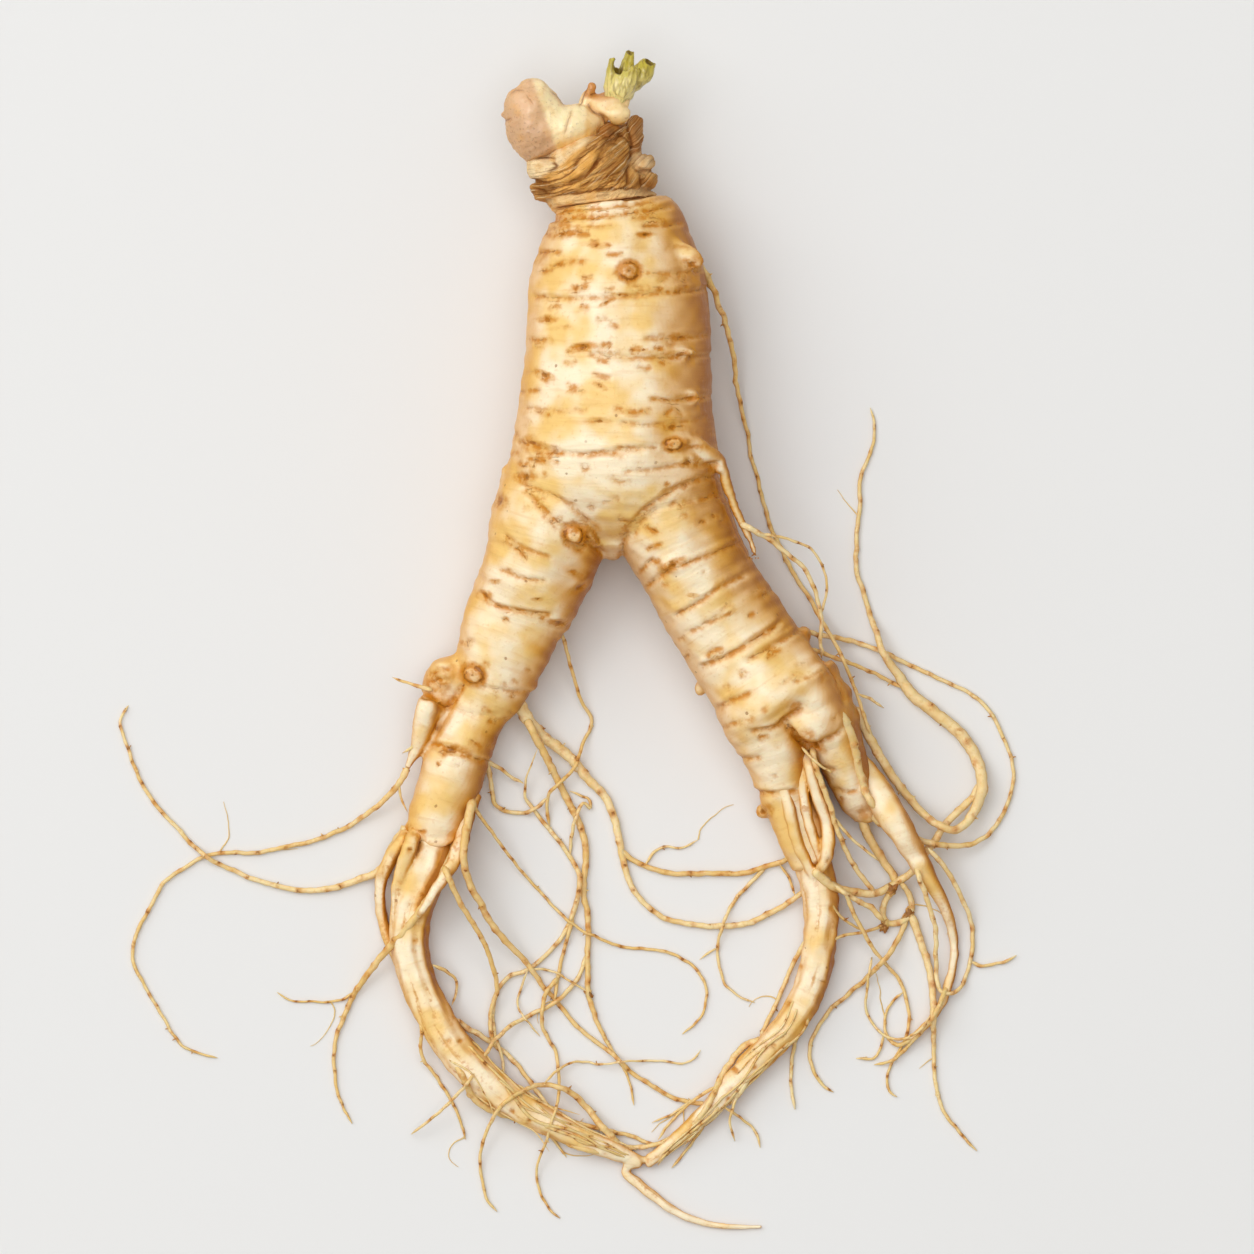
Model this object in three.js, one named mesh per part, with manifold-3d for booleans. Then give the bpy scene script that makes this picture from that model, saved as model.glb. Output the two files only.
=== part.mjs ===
/* Ginseng root lying on its back: a swollen body that forks into two legs, the tails and rootlets that
   grow from them, a wrinkled rhizome with its winter bud, and the stub of the cut stem.
   Millimetres. The crown points along +Y and the root rests on the plane z = 0. */

import * as THREE from 'three';
import { mergeVertices } from 'three/addons/utils/BufferGeometryUtils.js';
import Module from 'manifold-3d';

const wasm = await Module();
wasm.setup();

// Driving dimensions
const LEG_FLATNESS = 0.93;
const TAIL_FLATNESS = 0.96;
const REST_SINK = 0.45; // how far the undersides of body and legs are flattened by the surface
const REST_CLEAR = 0.15; // forks, tails and rootlets end this far above the surface
const CROWN_HEIGHT = 14; // height of the neck's axis above the surface
const GAP = 0.3; // clearance between two pieces that touch
const CREASE_LEFT = [-3, 81.9]; // the crease between the body's shoulder and the rhizome's collar
const CREASE_RIGHT = [18, 84.2];

const SKIN = { color: 0xe8cd96, roughness: 0.55, metalness: 0 };
const RHIZOME_SKIN = { color: 0xb98a52, roughness: 0.8, metalness: 0 };
const BUD_SKIN = { color: 0xe4c39c, roughness: 0.5, metalness: 0 };
const STEM_SKIN = { color: 0xc9bb52, roughness: 0.45, metalness: 0 };

const UP = new THREE.Vector3(0, 0, 1);

// Solids: every shape becomes a closed solid, is joined or cut, and goes back to a mesh

function solidOf(geometry) {
  const bare = geometry.clone();
  bare.deleteAttribute('normal');
  bare.deleteAttribute('uv');
  const merged = mergeVertices(bare, 1e-5);
  const vertProperties = Float32Array.from(merged.attributes.position.array);
  const triVerts = Uint32Array.from(merged.index.array);
  return new wasm.Manifold(new wasm.Mesh({ numProp: 3, vertProperties, triVerts }));
}

function joined(solids) {
  return solids.reduce((whole, next) => whole.add(next));
}

function meshOf(name, solid, skin) {
  const { vertProperties, triVerts } = solid.getMesh();
  const geometry = new THREE.BufferGeometry();
  geometry.setAttribute('position', new THREE.BufferAttribute(Float32Array.from(vertProperties), 3));
  geometry.setIndex(new THREE.BufferAttribute(Uint32Array.from(triVerts), 1));
  geometry.computeVertexNormals();
  const mesh = new THREE.Mesh(geometry, new THREE.MeshStandardMaterial(skin));
  mesh.name = name;
  return mesh;
}

// Route and girth of a limb from its stations [x, y, z, half width, half height]
function curvesOf(stations) {
  const route = new THREE.CatmullRomCurve3(stations.map(([x, y, z]) => new THREE.Vector3(x, y, z)));
  const halves = stations.map(([, , , half, tall = half]) => new THREE.Vector2(half, tall));
  const girth = new THREE.SplineCurve(halves);
  return { route, girth };
}

/* A limb follows its stations. It has one ring of points at each cut, a share of the way from 0 to 1, and
   closes to a point past both ends. relief(share, angle, x, y) is what a ring point stands proud, with
   angle 0 to the right of the direction of growth and a quarter turn up. */
function limb({ stations, sides, cuts, domes = [0.5, 0.5], relief, grow = 0, spin = 0 }) {
  const { route, girth } = curvesOf(stations);
  const shares = cuts ?? stations.map((_, i) => i / (stations.length - 1));
  const rows = shares.length + 1;
  const ball = new THREE.SphereGeometry(1, sides, rows).rotateY(spin);
  const points = ball.attributes.position;
  const ring = new THREE.Vector3();
  for (let i = 0; i < points.count; i += 1) {
    ring.fromBufferAttribute(points, i);
    const row = Math.round(((Math.PI - Math.acos(THREE.MathUtils.clamp(ring.y, -1, 1))) / Math.PI) * rows);
    const share = shares[THREE.MathUtils.clamp(row - 1, 0, shares.length - 1)];
    const centre = route.getPoint(share);
    const forward = route.getTangent(share);
    const side = new THREE.Vector3().crossVectors(forward, UP).normalize();
    const over = new THREE.Vector3().crossVectors(side, forward);
    const { x: half, y: tall } = girth.getPoint(share);
    if (row === 0 || row === rows) {
      const dome = row === 0 ? -domes[0] : domes[1];
      centre.addScaledVector(forward, dome * half + Math.sign(dome) * grow);
    } else {
      const angle = Math.atan2(ring.z, ring.x);
      const skin = centre.clone().addScaledVector(side, Math.cos(angle) * half);
      const proud = relief ? relief(share, angle, skin.x, skin.y) : 0;
      centre.addScaledVector(side, Math.cos(angle) * (half + proud + grow));
      centre.addScaledVector(over, Math.sin(angle) * (tall + proud + grow));
    }
    points.setXYZ(i, centre.x, centre.y, centre.z);
  }
  return solidOf(ball);
}

/* A knob is a ball of the given half sizes, turned by the given angle in the plane of the surface. */
function knob({ at, half, turn = 0, sides = 6, rows = 4, grow = 0 }) {
  const ball = new THREE.SphereGeometry(1, sides, rows);
  ball.scale(half[0] + grow, half[1] + grow, half[2] + grow);
  ball.rotateZ(turn);
  ball.translate(...at);
  return solidOf(ball);
}

// Stations of a limb that lies on the surface, from its outline [x, y, half width, half height]
function lying(outline, { flatness = LEG_FLATNESS, lift = REST_CLEAR } = {}) {
  return outline.map(([x, y, half, tall = half * flatness]) => [x, y, tall + lift, half, tall]);
}

// Body: stations [x, y, z, half width, half height] from the crotch up to the shoulder
const BODY = [
  [8.4, 18.5, 9.2, 9.0, 9.6], [8.6, 22, 12.0, 14.2, 12.4], [8.9, 27, 14.2, 19.2, 14.6],
  [9.1, 32, 15.2, 20, 15.6], [9.25, 38, 15.6, 19.2, 16], [9.45, 44, 15.5, 18.5, 15.9],
  [9.7, 51, 15.1, 17.9, 15.5], [9.8, 59, 14.7, 17.5, 15.1], [9.75, 66, 14.2, 16.9, 14.6],
  [9.65, 71, 14, 15.9, 13.8], [9.45, 76, 14, 14.3, 12.6], [9.2, 80, 14, 12.7, 11.2],
  [8.95, 83, 14, 11.2, 10], [8.8, 86, 14, 9.6, 8.6],
];

// Rings across the body: [y, depth, side]
const BOTH = 0;
const LEFT = -1;
const RIGHT = 1;
const BODY_RINGS = [
  [80.6, 0.5, BOTH], [77.4, 0.35, RIGHT], [73.4, 0.4, LEFT], [70, 0.7, RIGHT], [64.9, 0.5, BOTH],
  [57, 0.45, RIGHT], [53.4, 0.6, BOTH], [45.4, 0.45, RIGHT], [36.2, 0.5, BOTH], [28.5, 0.35, LEFT],
];
const RING_WIDTH = 1.3;
const BODY_SIDES = 18;
const RING_SPACING = 1.2; // no two rings of points on the body are closer than this

function sideShare(side, angle) {
  return side === BOTH ? 1 : THREE.MathUtils.smoothstep(side * Math.cos(angle), -0.35, 0.5);
}

function shareAtY(outline, y) {
  const after = outline.findIndex((station) => station[1] >= y && station !== outline[0]);
  const [low, high] = [outline[after - 1][1], outline[after][1]];
  return (after - 1 + (y - low) / (high - low)) / (outline.length - 1);
}

function bodyRelief(share, angle, x, y) {
  const rings = BODY_RINGS.map(([ringY, depth, side]) => {
    const away = (y - ringY) / RING_WIDTH;
    return -depth * sideShare(side, angle) * Math.exp(-away * away);
  });
  const swell = 0.3 * Math.sin(0.9 * y + 2 * Math.cos(angle)) + 0.25 * Math.sin(3 * angle + 0.21 * y);
  return rings.reduce((sum, value) => sum + value, 0) + swell;
}

function body() {
  const ringHeights = BODY_RINGS.flatMap(([y]) => [y - RING_WIDTH, y, y + RING_WIDTH]);
  const heights = [...ringHeights, 18.5, 20.5, 23.2, 25.5, 32.4, 40.8, 49.4, 60.8, 67.4, 83, 86];
  heights.sort((a, b) => a - b);
  const spaced = heights.filter((y, i) => i === 0 || y - heights[i - 1] > RING_SPACING);
  return limb({
    stations: BODY,
    sides: BODY_SIDES,
    cuts: spaced.map((y) => shareAtY(BODY, y)),
    domes: [0.25, 0.2],
    relief: bodyRelief,
  });
}

// Legs, forks and tails: [x, y, half width], from where they leave the body to their ends
const LEFT_LEG = [
  [2.6, 36, 9.4, 12], [-1.2, 27.5, 11.4, 13.4], [-3.2, 21, 11.5, 13], [-5, 15, 10.7, 11.8],
  [-7.4, 9, 10.1, 10.6], [-9.8, 4, 9.5], [-11.8, -1, 8.8], [-13.6, -6, 8.0], [-15.3, -10.5, 7.2],
  [-17.6, -15.5, 6.5], [-19.9, -20, 6.1], [-21.6, -25, 6.2], [-23.3, -30, 5.9], [-24.6, -35, 5.4],
  [-24.9, -38.3, 4.7],
];
const LEFT_TAIL = [
  [-24.2, -33, 3.6], [-26.2, -41, 3.9], [-28.2, -46.5, 3.8], [-29.4, -52, 3.5], [-29.1, -57.5, 3.4],
  [-27.8, -62.5, 3.3], [-25.9, -67, 3.4], [-23.2, -71.5, 3.5], [-20.4, -76, 3.7], [-17.2, -80.5, 3.6],
  [-13, -85, 3.4], [-8, -88.9, 3.0], [-2.4, -92.1, 2.6], [3.5, -95, 2.2], [9.2, -97.2, 1.7],
  [14.2, -99.4, 1.1],
];
const RIGHT_LEG = [
  [16, 31, 12, 13.5], [20.3, 22, 11.2, 13], [23.5, 15, 10.5, 12], [27.7, 7.5, 10.4, 11],
  [32.2, 0.5, 10.7], [36.8, -6.5, 10.8], [40.6, -11.8, 10.2], [43.6, -15.6, 7.6],
];
const RIGHT_INNER_LEG = [
  [34.5, -5, 6.5], [36.5, -13, 7.6], [38.8, -19, 6.9], [40.7, -25, 5.6], [42.4, -31, 4.6],
  [44.4, -37, 4.1], [46.3, -42, 3.7],
];
const RIGHT_OUTER_LEG = [
  [44, -8, 5.5], [47.8, -15.5, 5.4], [50.9, -21, 4.4], [53.6, -26.5, 4.0], [56, -31, 3.5],
  [57.3, -33.2, 2.8],
];
const RIGHT_TAIL = [
  [45.6, -39, 3.4], [47.8, -46, 3.5], [48.5, -52, 3.3], [48, -58, 3.2], [47.2, -63, 3.1],
  [45.4, -68, 3.0], [42.6, -72.8, 2.9], [38.9, -77, 2.7], [34.8, -81, 2.5], [31, -85.1, 2.2],
  [27.1, -89.3, 1.9], [23.2, -93, 1.6], [19.2, -96.3, 1.3], [15.2, -99.5, 1.1],
];
const LOWEST_TIP = [
  [13.4, -98.6, 0.9], [11.3, -100.9, 0.9], [14, -103.6, 0.9], [17.4, -106.4, 0.85],
  [21.2, -108.9, 0.75], [26, -110.8, 0.6], [31, -111.6, 0.5], [37, -111.5, 0.3],
];

// Creases across a leg: [share of the way along it, depth]
const LEFT_LEG_CREASES = [[0.32, 0.3], [0.6, 0.55], [0.76, 0.45]];
const RIGHT_LEG_CREASES = [[0.36, 0.3], [0.6, 0.5], [0.77, 0.4]];
const CREASE_WIDTH = 0.018;

function creased(outline, { sides, creases = [], ...rest }) {
  const stationCuts = outline.map((_, i) => i / (outline.length - 1));
  const creaseCuts = creases.flatMap(([at]) => [at - 1.2 * CREASE_WIDTH, at, at + 1.2 * CREASE_WIDTH]);
  const cuts = [...stationCuts, ...creaseCuts].sort((a, b) => a - b);
  return limb({
    stations: lying(outline, rest),
    sides,
    cuts: cuts.filter((share, i) => i === 0 || share - cuts[i - 1] > 0.009),
    domes: [0.3, 0.3],
    relief: (share, angle) => {
      const grooves = creases.map(([at, depth]) => {
        const away = (share - at) / CREASE_WIDTH;
        return -depth * Math.exp(-away * away);
      });
      return grooves.reduce((sum, value) => sum + value, 0) + 0.2 * Math.sin(2 * angle + 30 * share);
    },
  });
}

const FLATTENED = { lift: -REST_SINK };
const ROUNDER = { flatness: TAIL_FLATNESS };

function legs() {
  return [
    creased(LEFT_LEG, { sides: 14, creases: LEFT_LEG_CREASES, ...FLATTENED }),
    creased(RIGHT_LEG, { sides: 16, creases: RIGHT_LEG_CREASES, ...FLATTENED }),
    creased(RIGHT_INNER_LEG, { sides: 10 }),
    creased(RIGHT_OUTER_LEG, { sides: 10 }),
    creased(LEFT_TAIL, { sides: 8, ...ROUNDER }),
    creased(RIGHT_TAIL, { sides: 8, ...ROUNDER }),
    creased(LOWEST_TIP, { sides: 5, ...ROUNDER }),
  ];
}

/* Height of the skin over a point of the surface: the highest of the given limbs there, or 0 beside them.
   A limb is read at SKIN_STEPS places along it, across its route as seen from above. */
const SKIN_STEPS = 90;

function skinSamples(stations) {
  const { route, girth } = curvesOf(stations);
  return Array.from({ length: SKIN_STEPS + 1 }, (_, i) => {
    const share = i / SKIN_STEPS;
    const { x: half, y: tall } = girth.getPoint(share);
    return { at: route.getPoint(share), half, tall };
  });
}

const SKIN_LIMBS = [
  BODY,
  lying(LEFT_LEG, FLATTENED), lying(RIGHT_LEG, FLATTENED),
  lying(RIGHT_INNER_LEG), lying(RIGHT_OUTER_LEG),
  lying(LEFT_TAIL, ROUNDER), lying(RIGHT_TAIL, ROUNDER),
].map(skinSamples);

function skinHeight(x, y) {
  const heights = SKIN_LIMBS.map((samples) => {
    const away = ({ at }) => Math.hypot(at.x - x, at.y - y);
    const nearest = samples.reduce((best, next) => (away(next) < away(best) ? next : best));
    const share = away(nearest) / nearest.half;
    return share < 1 ? nearest.at.z + nearest.tall * Math.sqrt(1 - share * share) : 0;
  });
  return Math.max(...heights);
}

/* Lumps, scars and warts: [x, y, half width, half length, half height, turn in degrees, height]. One
   without a height sits on the skin, sunk in by LUMP_SINK of its own half height. */
const LUMP_SINK = 0.35;
const LUMP_SIDES = 5;
const LUMPS = [
  [8.5, 18.6, 3.4, 3.2, 6, 0, 11], // crotch
  [1.9, 19.6, 2.3, 1.9, 1.4, -25], // knob beside the crotch
  [23.2, 72.6, 2.9, 2.3, 2.6, -20], // bump over the right shoulder
  [11.9, 69.7, 2.1, 1.8, 0.9, 0], // round scar
  [21.6, 53.9, 2.9, 1.1, 1.2, 3],
  [23.4, 45.6, 2.5, 1.0, 1.0, 0],
  [20.4, 36.9, 2.6, 1.5, 1.4, 10], // scar with its ridge
  [-12.7, 25.2, 1.4, 2.0, 1.6, -25, 13], // warts on the left hip
  [-11.3, 31.5, 1.0, 1.3, 1.3, 0, 14.5],
  [20.8, 14.1, 2.4, 1.1, 0.9, 18],
  [-17.7, -6.7, 2.2, 1.7, 1.0, -25], // ringed scar of the left leg
  [2.6, 9.7, 2.0, 1.2, 1.6, 30, 10.6],
  [-1.4, 2.8, 1.9, 1.3, 1.8, 0, 9.5],
  [-7.9, -10.4, 2.0, 1.3, 2.4, 20, 7], // shelf over the thick side roots
  [-29.8, -37, 1.7, 2.1, 2.2, -20, 4.6],
  [-24.1, -39.1, 3.5, 1.0, 2.6, 4, 5.6], // lip at the foot of the left leg
  [24.9, -9.3, 1.6, 1.4, 1.6, 0, 7],
  [37.4, -32.8, 1.5, 1.2, 1.6, -10, 3.5],
  [42, -28.2, 3.1, 0.9, 1.1, -5, 8.8],
  [52.7, -8.3, 1.7, 5.5, 4.5, 22, 9], // shrivelled skin of the right leg
  [54.4, -13.3, 1.2, 2.6, 3.4, 22, 7],
  [47.8, -17, 3.4, 2.6, 2.4, -20], // heel above the fork
  [56.8, -33.2, 2.1, 1.6, 1.7, -10, 4],
];

// Knots where rootlets part: [x, y, half size]
const KNOTS = [
  [2, -24.2, 1.0], [61.6, -47.7, 1.1], [65.4, -52.2, 1.1], [60.6, -54, 1.0], [4.2, -67.4, 0.75],
];

function lumps() {
  return LUMPS.map(([x, y, wide, long, high, degrees, height = skinHeight(x, y) - LUMP_SINK * high]) => {
    const turn = THREE.MathUtils.degToRad(degrees);
    return knob({ at: [x, y, height], half: [wide, long, high], turn, sides: LUMP_SIDES });
  });
}

function knots() {
  return KNOTS.map(([x, y, size]) => knob({ at: [x, y, size + REST_CLEAR], half: [size, size, size] }));
}

/* Rootlets: radii spread evenly along the route, and the route's points. A point [x, y] lies on the surface
   or on the limb under it, and [x, y, z] is where a rootlet leaves a limb or bridges a space. */
const ROOTLETS = {
  // left side, from the lump on the left leg
  leftLump: {
    radii: [2.8, 4.0, 3.6, 1.6],
    path: [[-19.5, -5, 6.5], [-22.8, -7.5, 5.6], [-23.9, -10, 5.2], [-24.3, -12.6, 5]],
  },
  leftSideRoot: {
    radii: [1.9, 2.1, 1.9, 1.3, 0.8],
    path: [
      [-25.4, -10, 5.5], [-26.6, -14, 4.8], [-27.4, -17.6, 4.2], [-28.6, -21, 3.0], [-30.6, -25.2, 1.6],
    ],
  },
  leftUpperLong: {
    radii: [0.75, 0.55, 0.5, 0.45, 0.45, 0.4, 0.35, 0.25],
    path: [
      [-30.2, -24.4, 1.8], [-32, -27.8, 1.0], [-36, -31.5], [-40, -34.4], [-45, -37], [-50, -38.7],
      [-55, -39.7], [-60, -40.5], [-64.5, -40.5], [-68.5, -41.1], [-73, -43.6], [-76.3, -46],
      [-79, -50.8], [-81.7, -55.8], [-82.4, -60], [-81.5, -63.3], [-79, -67.5], [-76, -72.5],
      [-73.4, -76.9], [-70, -78.5], [-66.3, -79.5],
    ],
  },
  leftStub: {
    radii: [0.55, 0.35, 0.3],
    path: [[-25.5, -9.6, 5.4], [-29.5, -8.5, 5.4], [-33, -7.2, 5]],
  },
  leftLowerLong: {
    radii: [1.5, 0.9, 0.65, 0.55, 0.5, 0.45, 0.4, 0.3],
    path: [
      [-29.5, -36, 4.2], [-32.5, -39, 3.4], [-35.3, -43.6, 1.8], [-40, -45.8], [-45, -47.4],
      [-50, -47.7], [-55, -46.8], [-60, -45], [-64.5, -43.3], [-68.5, -41], [-72.3, -37.8],
      [-76, -33.8], [-79, -30], [-81, -27.4], [-82.6, -22.5], [-84.9, -15.5], [-83.2, -12.5],
    ],
  },
  leftLoop: {
    radii: [1.5, 1.3, 1.1, 1.1, 1.0, 0.9],
    path: [
      [-29.8, -36.5, 4], [-33.3, -41.5, 2.6], [-35.2, -46.5, 1.6], [-35.1, -52, 1.2],
      [-33.6, -57.5, 1.2], [-31.4, -62.2, 1.3], [-28.6, -66.8, 1.6], [-26.4, -70.5, 2],
    ],
  },
  leftStrap: {
    radii: [1.4, 1.3, 1.1, 0.9],
    path: [
      [-28.6, -36.5, 5.2], [-30.6, -42, 4.4], [-32, -48, 3.4], [-31.8, -54, 2.6], [-30.5, -60, 2.2],
    ],
  },
  // the root that runs down and left over the left tail
  leftDiagonal: {
    radii: [0.6, 0.75, 0.9, 0.75, 0.6, 0.45, 0.35, 0.25],
    path: [
      [-20.8, -36.5, 5.2], [-21.8, -40, 6.4], [-24, -45, 7.9], [-27.4, -50.8, 8.1], [-31, -55.7, 6.4],
      [-34.6, -59.6, 3.8], [-37.8, -63.8, 1.6], [-40.2, -67.2], [-42.2, -71.4], [-43.7, -76],
      [-44.3, -81], [-43.8, -85], [-42.5, -89], [-40.7, -92],
    ],
  },
  leftDiagonalTwig: {
    radii: [0.3, 0.25, 0.2],
    path: [[-39.8, -66.8], [-43.5, -68.5], [-47, -69], [-53, -68.2], [-55, -67]],
  },
  leftBrownRoot: {
    radii: [1.5, 1.5, 1.3, 1.0, 0.6],
    path: [
      [-17.6, -29.5, 4.8], [-18.9, -34, 4.6], [-20.6, -40, 4.2], [-22.8, -44.5, 5], [-25.4, -48.5, 6.2],
      [-28, -52.3, 6.2],
    ],
  },
  leftTailCurl: {
    radii: [0.45, 0.35, 0.3, 0.25],
    path: [[-25.4, -61.8, 4], [-22.6, -63, 2.6], [-20.9, -64.8], [-20.9, -67, 1], [-21.8, -69.5, 2]],
  },
  leftTailOuter: {
    radii: [0.6, 0.45, 0.4, 0.35, 0.25],
    path: [
      [-30.2, -64.6, 1.5], [-28.3, -69, 1], [-27.4, -74], [-27.7, -78.4], [-25, -83], [-22, -87.4],
      [-20, -92], [-19.2, -95],
    ],
  },
  leftTailStrand: {
    radii: [0.9, 0.85, 0.8, 0.8, 0.7, 0.6],
    path: [
      [-28.6, -65.5, 3], [-26.6, -70.6, 2.4], [-23, -77, 1.4], [-20, -82.6], [-17, -87.5],
      [-13.4, -89.8], [-8, -91.4, 1.6], [-2, -94.2, 1.5], [4, -97], [9, -97.6, 1],
    ],
  },
  tailUpperStrand: {
    radii: [0.7, 0.6, 0.5, 0.5],
    path: [
      [-23.5, -71, 5], [-19, -73.6, 3.2], [-14, -76.8, 1], [-10.4, -80], [-7.4, -83.6],
      [-5.4, -86.4, 2], [-2.6, -89.6, 3.4],
    ],
  },
  tailTopStrand: {
    radii: [0.6, 0.5, 0.45, 0.35],
    path: [
      [-1.5, -91.2, 3.6], [3, -91.9, 2.2], [7.6, -93, 1.2], [12.4, -94.5], [16, -95.8],
      [20, -95.6, 1.2],
    ],
  },
  tailLowTwig: { radii: [0.35, 0.25], path: [[-3.5, -94, 1], [-1.5, -96], [0, -98.4]] },
  tailCross: {
    radii: [0.6, 0.5, 0.5],
    path: [[9.5, -96.6, 1.4], [14, -96.4], [18, -95.6], [21.6, -93.8, 1.2]],
  },
  // thick pair from the shelf on the left leg's inner edge
  middleThick: {
    radii: [1.4, 1.2, 1.1, 0.95, 0.8, 0.65, 0.6, 0.65, 0.65, 0.6],
    path: [
      [-9.6, -9.6, 6.6], [-8.2, -14, 4.6], [-4.3, -18.4, 2.6], [-1, -21, 1.6], [1.8, -23.8, 1.3],
      [4.2, -26.7], [7, -29.4], [8.9, -33.6], [10.3, -39.6], [11.5, -44], [13.2, -47.7], [16, -51],
      [19.2, -53], [24, -54], [29.5, -54.5], [34.5, -53.9], [39, -52], [43.2, -49.2, 1.6],
      [46.4, -46.6, 3],
    ],
  },
  middleSecond: {
    radii: [0.9, 0.85, 0.8, 0.75, 0.7, 0.65, 0.65, 0.55, 0.3, 0.25],
    path: [
      [-7.6, -15, 4], [-5.2, -19.8, 2.2], [-3, -24.5], [-1, -28.2], [1, -32], [2.7, -36], [3.8, -40],
      [3.5, -44.4], [3.1, -48], [3.9, -52], [4.2, -56], [4, -60], [4.3, -64], [4.2, -67.6],
      [5.5, -71.8], [8, -76.6], [10.2, -80.6], [12, -84.6], [12.8, -88.5],
    ],
  },
  middleLink: {
    radii: [0.6, 0.6, 0.6, 0.6],
    path: [
      [10.3, -40, 1], [13, -42.2], [17, -43.8], [21.5, -44.7], [27, -44.4], [32, -44.4], [37, -43.4],
      [41, -42.2], [44, -41, 2.6],
    ],
  },
  linkTwig: {
    radii: [0.35, 0.2],
    path: [[14.9, -42.9], [16.8, -40.4], [19, -39.5], [22.2, -39.6], [25, -38]],
  },
  linkBranch: {
    radii: [0.45, 0.4, 0.35, 0.3, 0.2],
    path: [
      [37.6, -43.5], [34, -47.3], [31, -50.8], [29.5, -54.3, 1.2], [28.7, -58.4], [28.9, -61.3],
      [30.1, -65], [33, -67.8], [35.8, -69],
    ],
  },
  // slender ones between the legs
  slenderDrop: {
    radii: [0.5, 0.4, 0.4, 0.4, 0.4, 0.35],
    path: [
      [-2, 3, 8], [-0.8, 0.2, 5.4], [1, -6, 2], [2.6, -11.5], [4.8, -15.7], [3, -20], [2, -23.8, 1.6],
      [-0.6, -26.6], [-3.4, -29.6], [-3.6, -33], [-3.2, -35.6],
    ],
  },
  slenderWave: {
    radii: [0.3, 0.4, 0.5, 0.55, 0.6, 0.5, 0.5, 0.5, 0.45, 0.3],
    path: [
      [-6.4, -23], [-8.1, -27], [-7.8, -30], [-5.4, -33.2], [-2.6, -36.6], [0.4, -40.8], [2.4, -44.6],
      [2.3, -48.4], [1, -52.6], [-0.6, -56], [-3.6, -59.7], [-7.4, -62.8], [-10.8, -64], [-13, -66.2],
      [-13.9, -70], [-13.6, -74.6], [-12.3, -79], [-11.9, -83, 2],
    ],
  },
  innerHook: {
    radii: [0.6, 0.5, 0.45, 0.4],
    path: [
      [-15.2, -22.6, 4], [-14.4, -27, 2.4], [-13.2, -32, 1], [-8.4, -33], [-5.6, -31.9], [-3.5, -29.8],
    ],
  },
  innerBranch: { radii: [0.5, 0.4, 0.35], path: [[-15.2, -23, 4], [-11.6, -25.2, 2], [-8.2, -27.3]] },
  innerCurl: {
    radii: [0.35, 0.4, 0.35, 0.25],
    path: [
      [0.7, -41], [0.9, -37.6], [1.6, -34.3], [3.3, -31], [4.6, -32.2], [4.3, -30.2], [0.6, -28.8],
    ],
  },
  slenderLong: {
    radii: [0.45, 0.35, 0.35, 0.35, 0.35, 0.3, 0.25],
    path: [
      [-18, -31, 4], [-15.6, -34.4, 1.6], [-10.6, -41.4], [-5.2, -47.8], [-0.6, -52.6], [5, -56.3, 1.4],
      [10.6, -58.2], [16.6, -59], [20.5, -59.9], [23.8, -61.9], [26.2, -65.8], [26.4, -68.6],
      [25.5, -71.6], [22, -75],
    ],
  },
  straightThick: {
    radii: [1.0, 0.9, 0.8, 0.7, 0.55, 0.5, 0.5, 0.5, 0.5],
    path: [
      [-19.8, -35, 4.4], [-19.6, -41, 2.6], [-18, -47, 1.2], [-14.8, -53], [-11, -57.5], [-7, -62.3],
      [-2.3, -68.6], [2.5, -73.7], [6.5, -77.1], [9.8, -79.8], [14.6, -84], [19, -86.3], [23.6, -87.8],
      [27.2, -88.2, 1.4],
    ],
  },
  straightSecond: {
    radii: [0.7, 0.6, 0.55, 0.5, 0.5],
    path: [
      [-22, -42, 4.6], [-20.8, -48, 2.4], [-18.2, -53.4], [-15.6, -57.4], [-14, -62], [-13.2, -66.2],
      [-14.3, -70.4], [-14.3, -75], [-13.4, -77.4],
    ],
  },
  crossLong: {
    radii: [0.45, 0.5, 0.5, 0.5, 0.45, 0.4, 0.35, 0.3],
    path: [
      [4, -59.6], [1.9, -64.3], [-2, -68.9], [-7, -71.5], [-11.6, -74], [-14.8, -77.8], [-18, -83, 4.2],
      [-21, -86.6, 1.6], [-25, -90.3], [-29.5, -94],
    ],
  },
  middleDrop: {
    radii: [0.45, 0.4, 0.45, 0.4],
    path: [[1.2, -53], [-0.4, -59], [-1.6, -64], [-2.2, -68.4]],
  },
  lowWave: {
    radii: [0.5, 0.45, 0.4, 0.35, 0.3, 0.3, 0.25],
    path: [
      [-1.6, -64.2], [-4, -67.4], [-4.8, -71], [-4.6, -73.8], [-2, -78], [-1.5, -81.8], [-1.4, -85.4],
      [-2.6, -91, 5.4], [-4.2, -96.4, 1.4], [-5.6, -100.4], [-5.5, -103.2], [-4.4, -106],
      [-2.9, -108.5], [-1.2, -110],
    ],
  },
  lowArch: {
    radii: [0.8, 0.75, 0.6, 0.5, 0.4, 0.35, 0.3],
    path: [
      [10, -96.2, 1.6], [7, -92.6, 1.4], [4, -89], [1, -86.2], [-2, -85], [-5, -84.6], [-8, -85.6, 4.6],
      [-11, -87.4, 6.6], [-14, -91, 2.2], [-15.5, -95], [-16.3, -99.2], [-15.8, -103.2], [-15, -106.5],
      [-13.2, -108.7],
    ],
  },
  // right fork: three pale roots over the tail and the bridge that carries on from them
  forkInner: {
    radii: [1.15, 1.15, 1.1, 1.1, 1.0],
    path: [
      [41.4, -26.6, 9.6], [42.3, -31, 8.8], [43, -34.4, 8], [43.5, -37.4, 7.6], [45, -41.4, 6.9],
      [46.9, -44.6, 6.2],
    ],
  },
  forkMiddle: {
    radii: [0.9, 1.0, 1.05, 1.0, 0.9],
    path: [
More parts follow.
